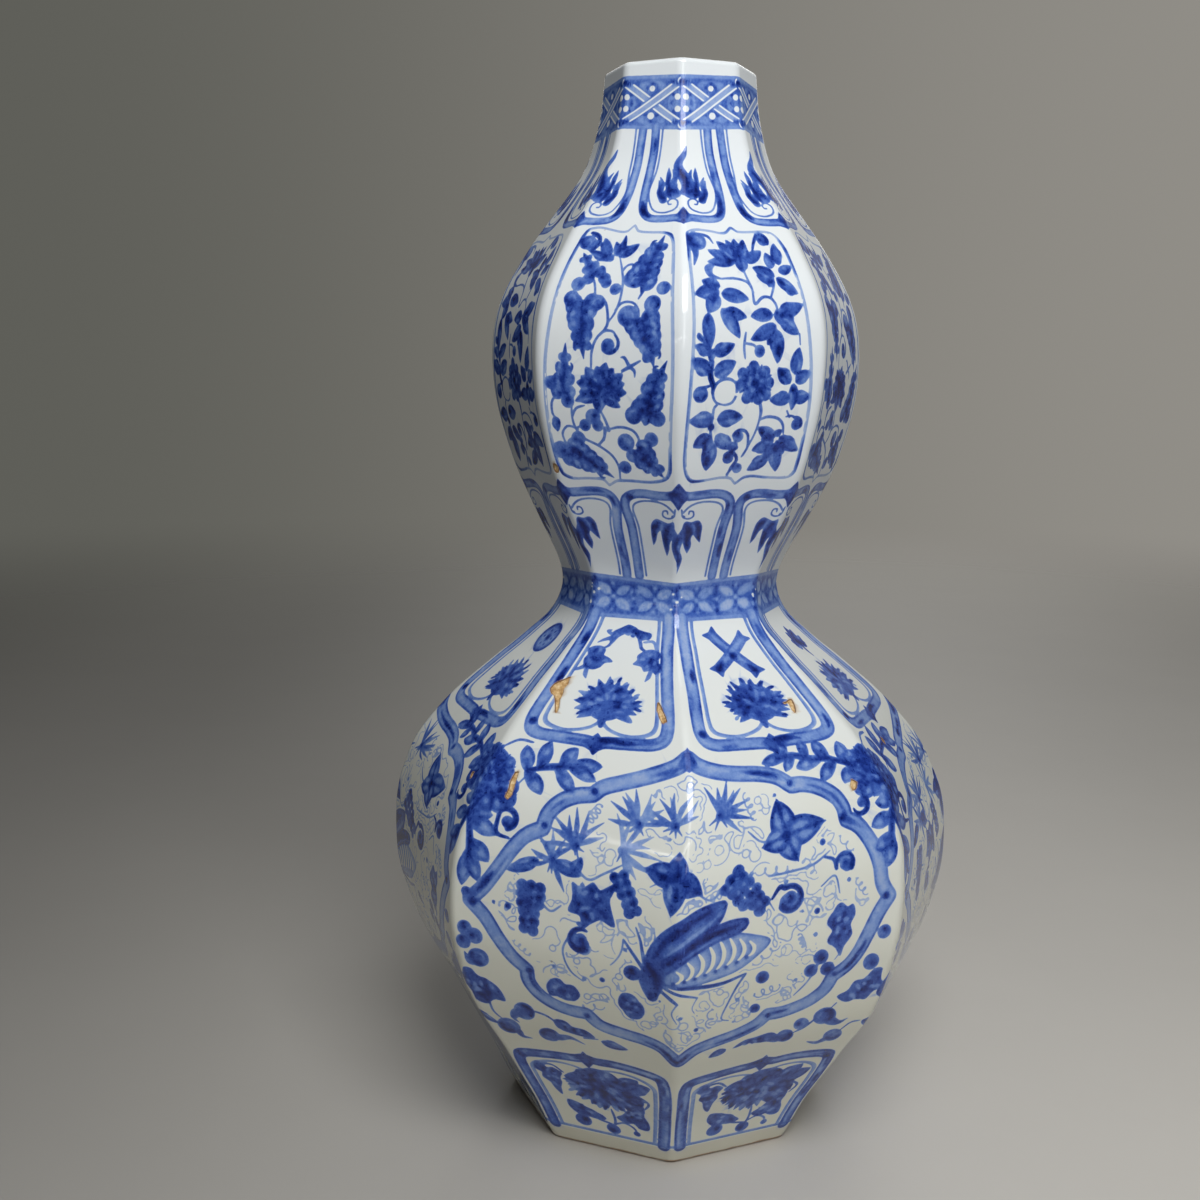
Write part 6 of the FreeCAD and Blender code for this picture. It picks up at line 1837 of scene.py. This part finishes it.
def build_tiers(t, v, tri, ink, chip):
    """Cut the divided outside at the joints and close each tier with its joint faces, rebates and inside wall."""
    left = np.flatnonzero(t == -4.0)
    right = np.flatnonzero(t == 4.0)
    remap = np.arange(len(t))
    if len(left) == len(right):
        remap[right[np.argsort(v[right])]] = left[np.argsort(v[left])]
    z = z_of_v(v)
    P = place(t, z)
    e = 2e-3
    dt = place(t + e, z) - place(t - e, z)
    dz = place(t, z + 0.05, z_out=z + 0.05) - place(t, z - 0.05, z_out=z - 0.05)
    N = np.cross(dt, dz)
    N /= np.linalg.norm(N, axis=1)[:, None]
    # broken spots sink a little below the glaze
    rng = np.random.default_rng(11)
    deep = np.clip((chip - 0.25) / 0.6, 0, 1)
    deep = deep * deep * (3 - 2 * deep)
    P = P - N * (deep * (0.34 + 0.16 * rng.random(len(t))))[:, None]
    T3 = remap[tri]
    fn = np.cross(P[T3[:, 1]] - P[T3[:, 0]], P[T3[:, 2]] - P[T3[:, 0]])
    near = np.flatnonzero(chip > 0.03)
    if len(near):
        M = np.zeros_like(P)
        for c in range(3):
            np.add.at(M, T3[:, c], fn)
        M /= np.linalg.norm(M, axis=1)[:, None] + 1e-12
        N[near] = M[near]
    zc = z_of_v(v[tri].mean(1))
    facet_id = np.clip(np.floor(t[tri].mean(1)).astype(int) + 4, 0, 7)
    cuts = (0.0,) + JOINT_Z + (TOP,)
    names = ("foot_ring", "lower_belly", "upper_belly", "lower_bulb", "upper_bulb", "neck")
    out = {}
    for name, z0, z1 in zip(names, cuts[:-1], cuts[1:]):
        m = (zc > z0) & (zc < z1)
        f = T3[m]
        used, inv = np.unique(f, return_inverse=True)
        f = inv.reshape(-1, 3)
        so = Solid(P[used], ink[used], chip[used])
        zz = P[used][:, 2]
        lo, hi = max(z0, Z_LOW), min(z1, Z_HIGH)
        va, vb = float(v_of_z(lo)), float(v_of_z(hi))
        k = facet_id[m]
        u = (k % 4)[:, None] * 0.25 + (0.012 + 0.976 * (t[tri[m]] + 4 - k[:, None])) * 0.25
        w = (k // 4)[:, None] * 0.375 + (0.02 + 0.96 * (v[tri[m]] - va) / (vb - va)) * 0.37
        so.faces(f, N[used][f], np.stack([u, w], -1), 0)
        vv = v[used]
        L = np.flatnonzero(np.abs(vv - va) < 1e-4)
        H = np.flatnonzero(np.abs(vv - vb) < 1e-4)
        NL, NH = N[used][L], N[used][H]
        up = np.array([0, 0, 1.0])
        if name == "foot_ring":
            R, NR = H, NH
            R, NR = band(so, R, NR, ring(apothem(GROOVE_OUT, IN), IN, 6.0), True)
            R, NR = band(so, R, NR, ring(apothem(GROOVE_OUT, IN), IN, 6.0 - HALF, facing=-1))
            R, NR = band(so, R, NR, ring(apothem(GROOVE_IN, IN), IN, 6.0 - HALF), True)
            R, NR = band(so, R, NR, ring(apothem(GROOVE_IN, IN), IN, 6.0), True)
            R, NR = band(so, R, NR, ring(apothem(FOOT_IN, IN), IN, 6.0, facing=-1), True)
            for q in (4.6, 3.2, 2.0, EDGE):
                R, NR = band(so, R, NR, ring(apothem(FOOT_IN, IN), IN, q, facing=-1))
            a_in = apothem(FOOT_IN, IN)
            for th in (30, 60, 90):
                c, s = 1 - math.cos(math.radians(th)), math.sin(math.radians(th))
                PB, NB = ring(a_in + EDGE * c, IN + EDGE * c, EDGE - EDGE * s, facing=-1)
                NB = NB * math.cos(math.radians(th)) - up * math.sin(math.radians(th))
                R, NR = band(so, R, NR, (PB, NB))
            a_out = apothem(float(RADIUS(0.0)), RND)
            for i, th in enumerate((90, 60, 30)):
                c, s = 1 - math.cos(math.radians(th)), math.sin(math.radians(th))
                PB, NB = ring(a_out - EDGE * c, RND - EDGE * c, EDGE - EDGE * s, pressed=True)
                NB = NB * math.cos(math.radians(th)) - up * math.sin(math.radians(th))
                R, NR = band(so, R, NR, (PB, NB))
            y0 = 0.76 + 0.0085 * so.row
            zip_rings(so, R, L, NR, NL, y0, y0 + 0.008, 1)
        else:
            lev = LEVEL_TABLE[name]
            IA = inner_profile(lev[1:] if name == "lower_belly" else lev)
            r_lo, r_hi = lev[0][1] - lev[0][2], lev[-1][1] - lev[-1][2]
            R, NR = H, NH
            if name == "neck":
                a_o = float((RADIUS(Z_HIGH) + K8 * RND) * C8)
                a_i = apothem(r_hi, IN)
                for th in (18, 36, 54, 72, 90):
                    c, s = 1 - math.cos(math.radians(th)), math.sin(math.radians(th))
                    PB, NB = ring(a_o - LIP * c, RND - LIP * c, Z_HIGH + LIP * s, pressed=True)
                    NB = NB * math.cos(math.radians(th)) + up * math.sin(math.radians(th))
                    R, NR = band(so, R, NR, (PB, NB))
                for th in (90, 72, 54, 36, 18, 0):
                    c, s = 1 - math.cos(math.radians(th)), math.sin(math.radians(th))
                    PB, NB = ring(a_i + LIP * c, IN + LIP * c, Z_HIGH + LIP * s, facing=-1)
                    NB = NB * math.cos(math.radians(th)) + up * math.sin(math.radians(th))
                    R, NR = band(so, R, NR, (PB, NB))
                top_in = Z_HIGH
            else:
                R, NR = band(so, R, NR, ring(apothem(r_hi + REACH, IN), IN, z1), True)
                R, NR = band(so, R, NR, ring(apothem(r_hi + REACH, IN), IN, z1 - HALF, facing=-1))
                R, NR = band(so, R, NR, ring(float(IA(z1)), IN, z1 - HALF, facing=-1), True)
                top_in = z1 - HALF
            bot = 16.0 if name == "lower_belly" else z0 + HALF
            nz = max(4, int((top_in - bot) / (5.5 if name != "neck" else 2.6)))
            for q in np.linspace(top_in, bot, nz + 1)[1:]:
                s = float(IA(q + 0.1) - IA(q - 0.1)) / 0.2
                R, NR = band(so, R, NR, ring(float(IA(q)), IN, float(q), slope=s, facing=-1))
            if name == "lower_belly":
                R, NR = band(so, R, NR, ring(apothem(SEAT, IN), IN, 6.0, facing=-1))
                R, NR = band(so, R, NR, ring(apothem(GROOVE_IN, IN), IN, 6.0), True)
                R, NR = band(so, R, NR, ring(apothem(GROOVE_IN, IN), IN, 6.0 + HALF), True)
                R, NR = band(so, R, NR, ring(apothem(GROOVE_OUT, IN), IN, 6.0 + HALF), True)
                R, NR = band(so, R, NR, ring(apothem(GROOVE_OUT, IN), IN, 6.0), True)
            else:
                R, NR = band(so, R, NR, ring(apothem(r_lo + REACH, IN), IN, z0 + HALF), True)
                R, NR = band(so, R, NR, ring(apothem(r_lo + REACH, IN), IN, z0, facing=-1))
            y0 = 0.76 + 0.0085 * so.row
            zip_rings(so, R, L, NR, NL, y0, y0 + 0.008, 1, True)
        out[name] = so
    return out


def make_object(name, so):
    """The Blender mesh of one closed tier, in metres."""
    P = so.all_points() * 0.001
    F = np.vstack(so.F).astype(np.int32)
    NC = np.vstack([n.reshape(-1, 3) for n in so.NC])
    UV = np.vstack([u.reshape(-1, 2) for u in so.UV])
    me = bpy.data.meshes.new(name)
    me.vertices.add(len(P))
    me.vertices.foreach_set("co", P.astype(np.float32).ravel())
    me.loops.add(F.size)
    me.loops.foreach_set("vertex_index", F.ravel())
    me.polygons.add(len(F))
    me.polygons.foreach_set("loop_start", np.arange(0, F.size, 3, dtype=np.int32))
    me.polygons.foreach_set("use_smooth", np.ones(len(F), bool))
    me.update(calc_edges=True)
    uv = me.uv_layers.new(name="OFBake")
    uv.data.foreach_set("uv", UV.astype(np.float32).ravel())
    for key, arr in (("ink", so.ink), ("chip", so.chip)):
        a = me.attributes.new(key, "FLOAT", "POINT")
        a.data.foreach_set("value", np.concatenate(arr).astype(np.float32))
    me.validate()
    me.normals_split_custom_set(NC.astype(np.float32).tolist())
    ob = bpy.data.objects.new(name, me)
    bpy.context.scene.collection.objects.link(ob)
    return ob

# ------------------------------------------------------------------ materials
class Nodes:
    def __init__(self, name):
        self.mat = bpy.data.materials.new(name)
        self.mat.use_nodes = True
        self.t = self.mat.node_tree
        self.t.nodes.clear()

    def new(self, kind, **kw):
        n = self.t.nodes.new(kind)
        for k, v in kw.items():
            if k.startswith("_"):
                setattr(n, k[1:], v)
            else:
                n.inputs[k.replace("__", " ")].default_value = v
        return n

    def link(self, a, b):
        self.t.links.new(a, b)

    def plug(self, x, sock):
        if isinstance(x, (int, float)):
            sock.default_value = x
        elif isinstance(x, tuple):
            sock.default_value = x
        else:
            self.link(x, sock)

    def math(self, op, a, b=None, c=None, clamp=False):
        n = self.t.nodes.new("ShaderNodeMath")
        n.operation = op
        n.use_clamp = clamp
        for i, x in enumerate((a, b, c)):
            if x is not None:
                self.plug(x, n.inputs[i])
        return n.outputs[0]

    def noise(self, vec, scale, detail=3.0, rough=0.5, dist=0.0):
        n = self.t.nodes.new("ShaderNodeTexNoise")
        n.noise_dimensions = "3D"
        n.inputs["Scale"].default_value = scale
        n.inputs["Detail"].default_value = detail
        n.inputs["Roughness"].default_value = rough
        n.inputs["Distortion"].default_value = dist
        self.link(vec, n.inputs["Vector"])
        return n.outputs["Fac"]

    def step(self, x, a, b, lo=0.0, hi=1.0, smooth=True):
        n = self.t.nodes.new("ShaderNodeMapRange")
        n.interpolation_type = "SMOOTHSTEP" if smooth else "LINEAR"
        n.clamp = True
        self.plug(x, n.inputs["Value"])
        n.inputs["From Min"].default_value = a
        n.inputs["From Max"].default_value = b
        n.inputs["To Min"].default_value = lo
        n.inputs["To Max"].default_value = hi
        return n.outputs["Result"]

    def mix(self, f, a, b, blend="MIX"):
        n = self.t.nodes.new("ShaderNodeMix")
        n.data_type = "RGBA"
        n.blend_type = blend
        n.clamp_factor = True
        self.plug(f, n.inputs[0])
        self.plug(a, n.inputs[6])
        self.plug(b, n.inputs[7])
        return n.outputs[2]

    def ramp(self, f, stops, interp="LINEAR"):
        n = self.t.nodes.new("ShaderNodeValToRGB")
        n.color_ramp.interpolation = interp
        e = n.color_ramp.elements
        while len(e) < len(stops):
            e.new(0.5)
        for el, (p, c) in zip(e, stops):
            el.position = p
            el.color = c
        self.plug(f, n.inputs["Fac"])
        return n.outputs["Color"]


def srgb(r, g, b):
    def f(c):
        c /= 255.0
        return c / 12.92 if c <= 0.04045 else ((c + 0.055) / 1.055) ** 2.4
    return (f(r), f(g), f(b), 1.0)


def porcelain_material():
    """White glaze over cobalt painting: pooled ink, fine speckle, soft unevenness and golden broken spots."""
    g = Nodes("cobalt_porcelain")
    tc = g.new("ShaderNodeTexCoord")
    vec = tc.outputs["Object"]
    ink = g.new("ShaderNodeAttribute", _attribute_name="ink").outputs["Fac"]
    chip = g.new("ShaderNodeAttribute", _attribute_name="chip").outputs["Fac"]
    sep = g.new("ShaderNodeSeparateXYZ")
    g.link(vec, sep.inputs[0])
    zz = sep.outputs["Z"]
    # how the ink pooled: broad washes, brush-sized clouds and fine dark heaps
    wash = g.noise(vec, 170.0, 2.0, 0.5, 0.3)
    cloud = g.noise(vec, 520.0, 2.5, 0.6, 0.4)
    heap = g.noise(vec, 1700.0, 2.0, 0.55)
    inside = g.step(ink, 0.14, 0.46)
    a = g.math("MULTIPLY_ADD", g.math("SUBTRACT", wash, 0.5), 0.40, ink)
    b = g.math("MULTIPLY_ADD", g.math("SUBTRACT", cloud, 0.5), 0.32, a)
    c = g.math("MULTIPLY_ADD", g.math("SUBTRACT", heap, 0.5), 0.18, b)
    tone = g.math("ADD", g.math("MULTIPLY", g.math("SUBTRACT", c, ink), inside), ink)
    spots = g.math("MULTIPLY", g.step(g.noise(vec, 1000.0, 1.0, 0.5), 0.62, 0.76), g.step(ink, 0.45, 0.7))
    tone = g.math("MULTIPLY_ADD", spots, 0.16, tone)
    # glaze body colour: clean white above, creamier towards the foot, faint cloudiness
    low = g.step(zz, 0.04, 0.20, 1.0, 0.0)
    warm = g.math("MULTIPLY_ADD", g.math("SUBTRACT", g.noise(vec, 22.0, 3.0, 0.5), 0.5), 0.5, low, clamp=True)
    white = g.mix(warm, srgb(229, 235, 239), srgb(226, 227, 213))
    cob = g.ramp(tone, [(0.0, srgb(229, 235, 239)), (0.14, srgb(184, 199, 224)), (0.34, srgb(122, 153, 213)),
                        (0.58, srgb(66, 100, 184)), (0.76, srgb(32, 58, 144)), (0.92, srgb(16, 30, 98)), (1.0, srgb(13, 24, 86))])
    col = g.mix(g.step(ink, 0.10, 0.20), white, cob)
    # pin holes and iron specks
    vor = g.new("ShaderNodeTexVoronoi", _feature="F1")
    vor.inputs["Scale"].default_value = 95.0
    g.link(vec, vor.inputs["Vector"])
    speck = g.math("MULTIPLY", g.step(vor.outputs["Distance"], 0.020, 0.045, 1.0, 0.0), g.step(g.noise(vec, 60.0, 1.0), 0.56, 0.62))
    col = g.mix(g.math("MULTIPLY", speck, 0.55), col, srgb(96, 74, 60))
    # broken glaze: warm golden body with a browner edge
    gold = g.ramp(g.noise(vec, 700.0, 4.0, 0.6), [(0.30, srgb(146, 106, 64)), (0.48, srgb(200, 162, 108)), (0.66, srgb(230, 206, 162))])
    rim = g.math("MULTIPLY", g.step(chip, 0.15, 0.45), g.step(chip, 0.55, 0.9, 1.0, 0.0))
    gold = g.mix(g.math("MULTIPLY", rim, 0.85), gold, srgb(92, 58, 32))
    bare = g.step(chip, 0.12, 0.42)
    col = g.mix(bare, col, gold)
    # gloss: even glaze, slightly duller where ink is thick, dry where broken
    rough = g.step(g.noise(vec, 60.0, 3.0), 0.3, 0.7, 0.045, 0.095, smooth=False)
    rough = g.math("MULTIPLY_ADD", g.step(ink, 0.6, 1.0), 0.05, rough)
    rough = g.math("MAXIMUM", rough, g.math("MULTIPLY", bare, 0.72))
    # orange-peel and the slight body waviness of a moulded pot
    h = g.math("MULTIPLY_ADD", g.noise(vec, 160.0, 2.0), 0.12, g.math("MULTIPLY", g.noise(vec, 38.0, 2.0), 0.5))
    h = g.math("MULTIPLY_ADD", g.step(ink, 0.1, 0.6), 0.015, h)
    h = g.math("MULTIPLY_ADD", g.math("MULTIPLY", bare, g.noise(vec, 900.0, 3.0)), 0.35, h)
    bump = g.new("ShaderNodeBump")
    bump.inputs["Strength"].default_value = 0.55
    bump.inputs["Distance"].default_value = 0.0006
    g.link(h, bump.inputs["Height"])
    bs = g.new("ShaderNodeBsdfPrincipled")
    bs.inputs["IOR"].default_value = 1.5
    bs.inputs["Coat Weight"].default_value = 0.0
    g.link(col, bs.inputs["Base Color"])
    g.link(rough, bs.inputs["Roughness"])
    g.link(bump.outputs["Normal"], bs.inputs["Normal"])
    out = g.new("ShaderNodeOutputMaterial")
    g.link(bs.outputs[0], out.inputs["Surface"])
    return g.mat


def foot_material():
    """Glazed foot that runs out to a bare, browned resting edge."""
    g = Nodes("foot_glaze")
    tc = g.new("ShaderNodeTexCoord")
    vec = tc.outputs["Object"]
    sep = g.new("ShaderNodeSeparateXYZ")
    g.link(vec, sep.inputs[0])
    ink = g.new("ShaderNodeAttribute", _attribute_name="ink").outputs["Fac"]
    edge = g.math("MULTIPLY_ADD", g.math("SUBTRACT", g.noise(vec, 130.0, 4.0, 0.6), 0.5), 0.0016, sep.outputs["Z"])
    bare = g.step(edge, 0.0002, 0.0007, 1.0, 0.0)
    burnt = g.math("MULTIPLY", g.step(edge, 0.0003, 0.0007), g.step(edge, 0.0007, 0.0013, 1.0, 0.0))
    white = g.mix(g.noise(vec, 40.0, 3.0), srgb(222, 221, 206), srgb(205, 203, 186))
    cob = g.ramp(ink, [(0.0, srgb(222, 221, 206)), (0.34, srgb(128, 150, 196)), (0.6, srgb(60, 84, 158)), (1.0, srgb(20, 28, 90))])
    col = g.mix(g.step(ink, 0.02, 0.2), white, cob)
    col = g.mix(g.math("MULTIPLY", burnt, 0.75), col, srgb(150, 104, 62))
    clay = g.ramp(g.noise(vec, 500.0, 4.0, 0.6), [(0.3, srgb(120, 84, 56)), (0.6, srgb(186, 152, 114)), (0.8, srgb(206, 182, 150))])
    col = g.mix(bare, col, clay)
    rough = g.math("MULTIPLY_ADD", bare, 0.62, 0.16)
    h = g.math("MULTIPLY_ADD", g.math("MULTIPLY", bare, g.noise(vec, 1600.0, 3.0)), 0.3, g.math("MULTIPLY", g.noise(vec, 90.0, 2.0), 0.4))
    bump = g.new("ShaderNodeBump")
    bump.inputs["Strength"].default_value = 0.5
    bump.inputs["Distance"].default_value = 0.0005
    g.link(h, bump.inputs["Height"])
    bs = g.new("ShaderNodeBsdfPrincipled")
    bs.inputs["IOR"].default_value = 1.5
    g.link(col, bs.inputs["Base Color"])
    g.link(rough, bs.inputs["Roughness"])
    g.link(bump.outputs["Normal"], bs.inputs["Normal"])
    out = g.new("ShaderNodeOutputMaterial")
    g.link(bs.outputs[0], out.inputs["Surface"])
    return g.mat


def clay_material(name, light, mid, dark, scale=240.0, rough=0.72):
    """Fired clay: grain, specks and throwing unevenness."""
    g = Nodes(name)
    tc = g.new("ShaderNodeTexCoord")
    vec = tc.outputs["Object"]
    n = g.math("MULTIPLY_ADD", g.noise(vec, scale, 4.0, 0.6), 0.6, g.math("MULTIPLY", g.noise(vec, scale * 0.16, 3.0), 0.4))
    col = g.ramp(n, [(0.34, dark), (0.5, mid), (0.66, light)])
    r = g.step(g.noise(vec, scale * 0.5, 2.0), 0.3, 0.7, rough - 0.1, rough + 0.08, smooth=False)
    bump = g.new("ShaderNodeBump")
    bump.inputs["Strength"].default_value = 0.6
    bump.inputs["Distance"].default_value = 0.0004
    g.link(g.noise(vec, scale * 4, 3.0), bump.inputs["Height"])
    bs = g.new("ShaderNodeBsdfPrincipled")
    bs.inputs["IOR"].default_value = 1.5
    g.link(col, bs.inputs["Base Color"])
    g.link(r, bs.inputs["Roughness"])
    g.link(bump.outputs["Normal"], bs.inputs["Normal"])
    out = g.new("ShaderNodeOutputMaterial")
    g.link(bs.outputs[0], out.inputs["Surface"])
    return g.mat


def floor_material():
    g = Nodes("studio_floor")
    tc = g.new("ShaderNodeTexCoord")
    sep = g.new("ShaderNodeSeparateXYZ")
    g.link(tc.outputs["Object"], sep.inputs[0])
    # painted shade: the floor colour runs from darker on the left to lighter on the right, standing in for the vase's
    # shadow and weaker light on that side
    pale = g.mix(g.step(sep.outputs["X"], -0.36, 0.26), srgb(150, 148, 144), srgb(214, 211, 205))
    mott = g.step(g.noise(tc.outputs["Object"], 9.0, 4.0, 0.6), 0.3, 0.7, 0.97, 1.0, smooth=False)
    # painted shade: the floor is painted darker in front of the vase and towards the far sides, standing in for the
    # light falling off away from the lamps
    near = g.math("MULTIPLY", g.step(sep.outputs["Y"], -0.32, -0.09, 0.45, 1.0), g.step(g.math("ABSOLUTE", sep.outputs["X"], 0.0), 0.36, 0.75, 1.0, 0.6))
    col = g.mix(1.0, g.mix(1.0, pale, mott, "MULTIPLY"), near, "MULTIPLY")
    bs = g.new("ShaderNodeBsdfPrincipled")
    bs.inputs["Roughness"].default_value = 0.6
    g.link(col, bs.inputs["Base Color"])
    # the floor thins out far from the vase, so that it runs into the backdrop without a horizon
    d = g.new("ShaderNodeVectorMath", _operation="LENGTH")
    g.link(tc.outputs["Object"], d.inputs[0])
    far = g.step(d.outputs["Value"], 0.45, 1.9)
    clear = g.new("ShaderNodeBsdfTransparent")
    mx = g.new("ShaderNodeMixShader")
    g.link(far, mx.inputs[0])
    g.link(bs.outputs[0], mx.inputs[1])
    g.link(clear.outputs[0], mx.inputs[2])
    out = g.new("ShaderNodeOutputMaterial")
    g.link(mx.outputs[0], out.inputs["Surface"])
    return g.mat

# ------------------------------------------------------------------ build the pieces
paint()
fold()
T_, V_, TRI_, INK_, CHIP_, _kept = divide()
TIERS = build_tiers(T_, V_, TRI_, INK_, CHIP_)
GLAZE = porcelain_material()
FOOT = foot_material()
BISCUIT = clay_material("bare_biscuit", srgb(226, 214, 192), srgb(205, 190, 164), srgb(170, 146, 114))
SLIP = clay_material("luting_slip", srgb(232, 230, 222), srgb(218, 214, 202), srgb(196, 188, 170), scale=320.0, rough=0.5)
for name, so in TIERS.items():
    ob = make_object("%s_glazed" % name, so)
    ob.data.materials.append(FOOT if name == "foot_ring" else GLAZE)
    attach(ob, "root")
    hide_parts(name)
for name, mat in (("floor_slab", BISCUIT), ("floor_slip", SLIP), ("foot_slip", SLIP), ("belly_slip", SLIP), ("waist_slip", SLIP),
                  ("bulb_slip", SLIP), ("neck_slip", SLIP)):
    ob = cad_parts[name]
    ob.data.materials.clear()
    ob.data.materials.append(mat)

# ------------------------------------------------------------------ floor, light and camera
me = bpy.data.meshes.new("studio_floor")
n = 41
R = 3.0
pts = [((i / (n - 1) - 0.5) * 2 * R, (j / (n - 1) - 0.5) * 2 * R, 0.0) for j in range(n) for i in range(n)]
fs = [(j * n + i, j * n + i + 1, (j + 1) * n + i + 1, (j + 1) * n + i) for j in range(n - 1) for i in range(n - 1)]
me.from_pydata(pts, [], fs)
floor = bpy.data.objects.new("studio_floor", me)
bpy.context.scene.collection.objects.link(floor)
floor.data.materials.append(floor_material())


def area(name, loc, aim, size, power, color=(1, 1, 1), sy=None):
    l = bpy.data.lights.new(name, "AREA")
    l.shape = "RECTANGLE"
    l.size = size
    l.size_y = sy or size
    l.energy = power
    l.color = color
    o = bpy.data.objects.new(name, l)
    o.location = loc
    o.rotation_euler = (Vector(aim) - Vector(loc)).to_track_quat("-Z", "Y").to_euler()
    bpy.context.scene.collection.objects.link(o)
    return o


area("key", (0.12, -0.51, 0.69), (0, 0, 0.17), 0.42, 4.15, (0.99, 0.985, 0.97), sy=0.34)
area("front_card", (0.16, -0.84, 0.50), (0, 0, 0.16), 0.22, 0.8, (1.0, 0.99, 0.97), sy=0.40)
area("strip", (0.03, -0.53, 0.322), (0.03, 0, 0.19), 0.95, 0.14, (1.0, 1.0, 1.0), sy=0.006)
area("overhead", (0.10, -0.50, 1.10), (0, 0, 0.14), 0.5, 1.4, (1.0, 0.99, 0.97), sy=0.8)
area("rear", (0.2, 1.9, 0.9), (0.1, 0.7, 0.0), 1.0, 5.0)
world = bpy.data.worlds.new("studio")
bpy.context.scene.world = world
world.use_nodes = True
wt = world.node_tree
bg = wt.nodes["Background"]
bg.inputs["Strength"].default_value = 1.0
co = wt.nodes.new("ShaderNodeTexCoord")
sx = wt.nodes.new("ShaderNodeSeparateXYZ")
wt.links.new(co.outputs["Generated"], sx.inputs[0])


def world_step(sock, a, b, lo, hi):
    m = wt.nodes.new("ShaderNodeMapRange")
    m.interpolation_type = "SMOOTHSTEP"
    m.inputs["From Min"].default_value = a
    m.inputs["From Max"].default_value = b
    m.inputs["To Min"].default_value = lo
    m.inputs["To Max"].default_value = hi
    wt.links.new(sock, m.inputs["Value"])
    return m.outputs["Result"]


back = world_step(sx.outputs["Y"], -0.1, 0.6, 0.0, 1.0)
side = world_step(sx.outputs["X"], -0.45, 0.45, 0.0, 1.0)
walls = wt.nodes.new("ShaderNodeMix")
walls.data_type = "RGBA"
walls.inputs[6].default_value = (0.112, 0.112, 0.098, 1)
walls.inputs[7].default_value = (0.285, 0.272, 0.246, 1)
wt.links.new(side, walls.inputs[0])
room = wt.nodes.new("ShaderNodeMix")
room.data_type = "RGBA"
room.inputs[6].default_value = (0.020, 0.021, 0.024, 1)
wt.links.new(back, room.inputs[0])
wt.links.new(walls.outputs[2], room.inputs[7])
flag_left = world_step(sx.outputs["X"], -0.62, -0.44, 0.0, 1.0)
flag_right = world_step(sx.outputs["X"], 0.42, 0.66, 1.0, 0.12)
flags = wt.nodes.new("ShaderNodeMath")
flags.operation = "MULTIPLY"
wt.links.new(flag_left, flags.inputs[0])
wt.links.new(flag_right, flags.inputs[1])
shade = wt.nodes.new("ShaderNodeMix")
shade.data_type = "RGBA"
shade.inputs[6].default_value = (0.014, 0.014, 0.016, 1)
wt.links.new(flags.outputs[0], shade.inputs[0])
wt.links.new(room.outputs[2], shade.inputs[7])
wt.links.new(shade.outputs[2], bg.inputs["Color"])
bpy.context.scene.view_settings.view_transform = "Standard"
bpy.context.scene.view_settings.look = "None"
bpy.context.scene.view_settings.exposure = 0.0
bpy.context.scene.view_settings.gamma = 1.0

cam_data = bpy.data.cameras.new("photo_camera")
cam_data.sensor_fit = "HORIZONTAL"
cam_data.sensor_width = 36.0
cam_data.lens = 1382.62 / 1200.0 * 36.0
cam_data.clip_start = 0.01
cam_data.clip_end = 20.0
cam = bpy.data.objects.new("photo_camera", cam_data)
bpy.context.scene.collection.objects.link(cam)
fw = Vector((-0.02445761, 0.98713487, -0.15800815)).normalized()
right = Vector((0.99962187, 0.0261353, 0.00854827)).normalized()
up = right.cross(fw).normalized()
M = Matrix((right, up, -fw)).transposed().to_4x4()
M.translation = Vector((-0.011530, -0.416187, 0.223357))
cam.matrix_world = M
bpy.context.scene.camera = cam
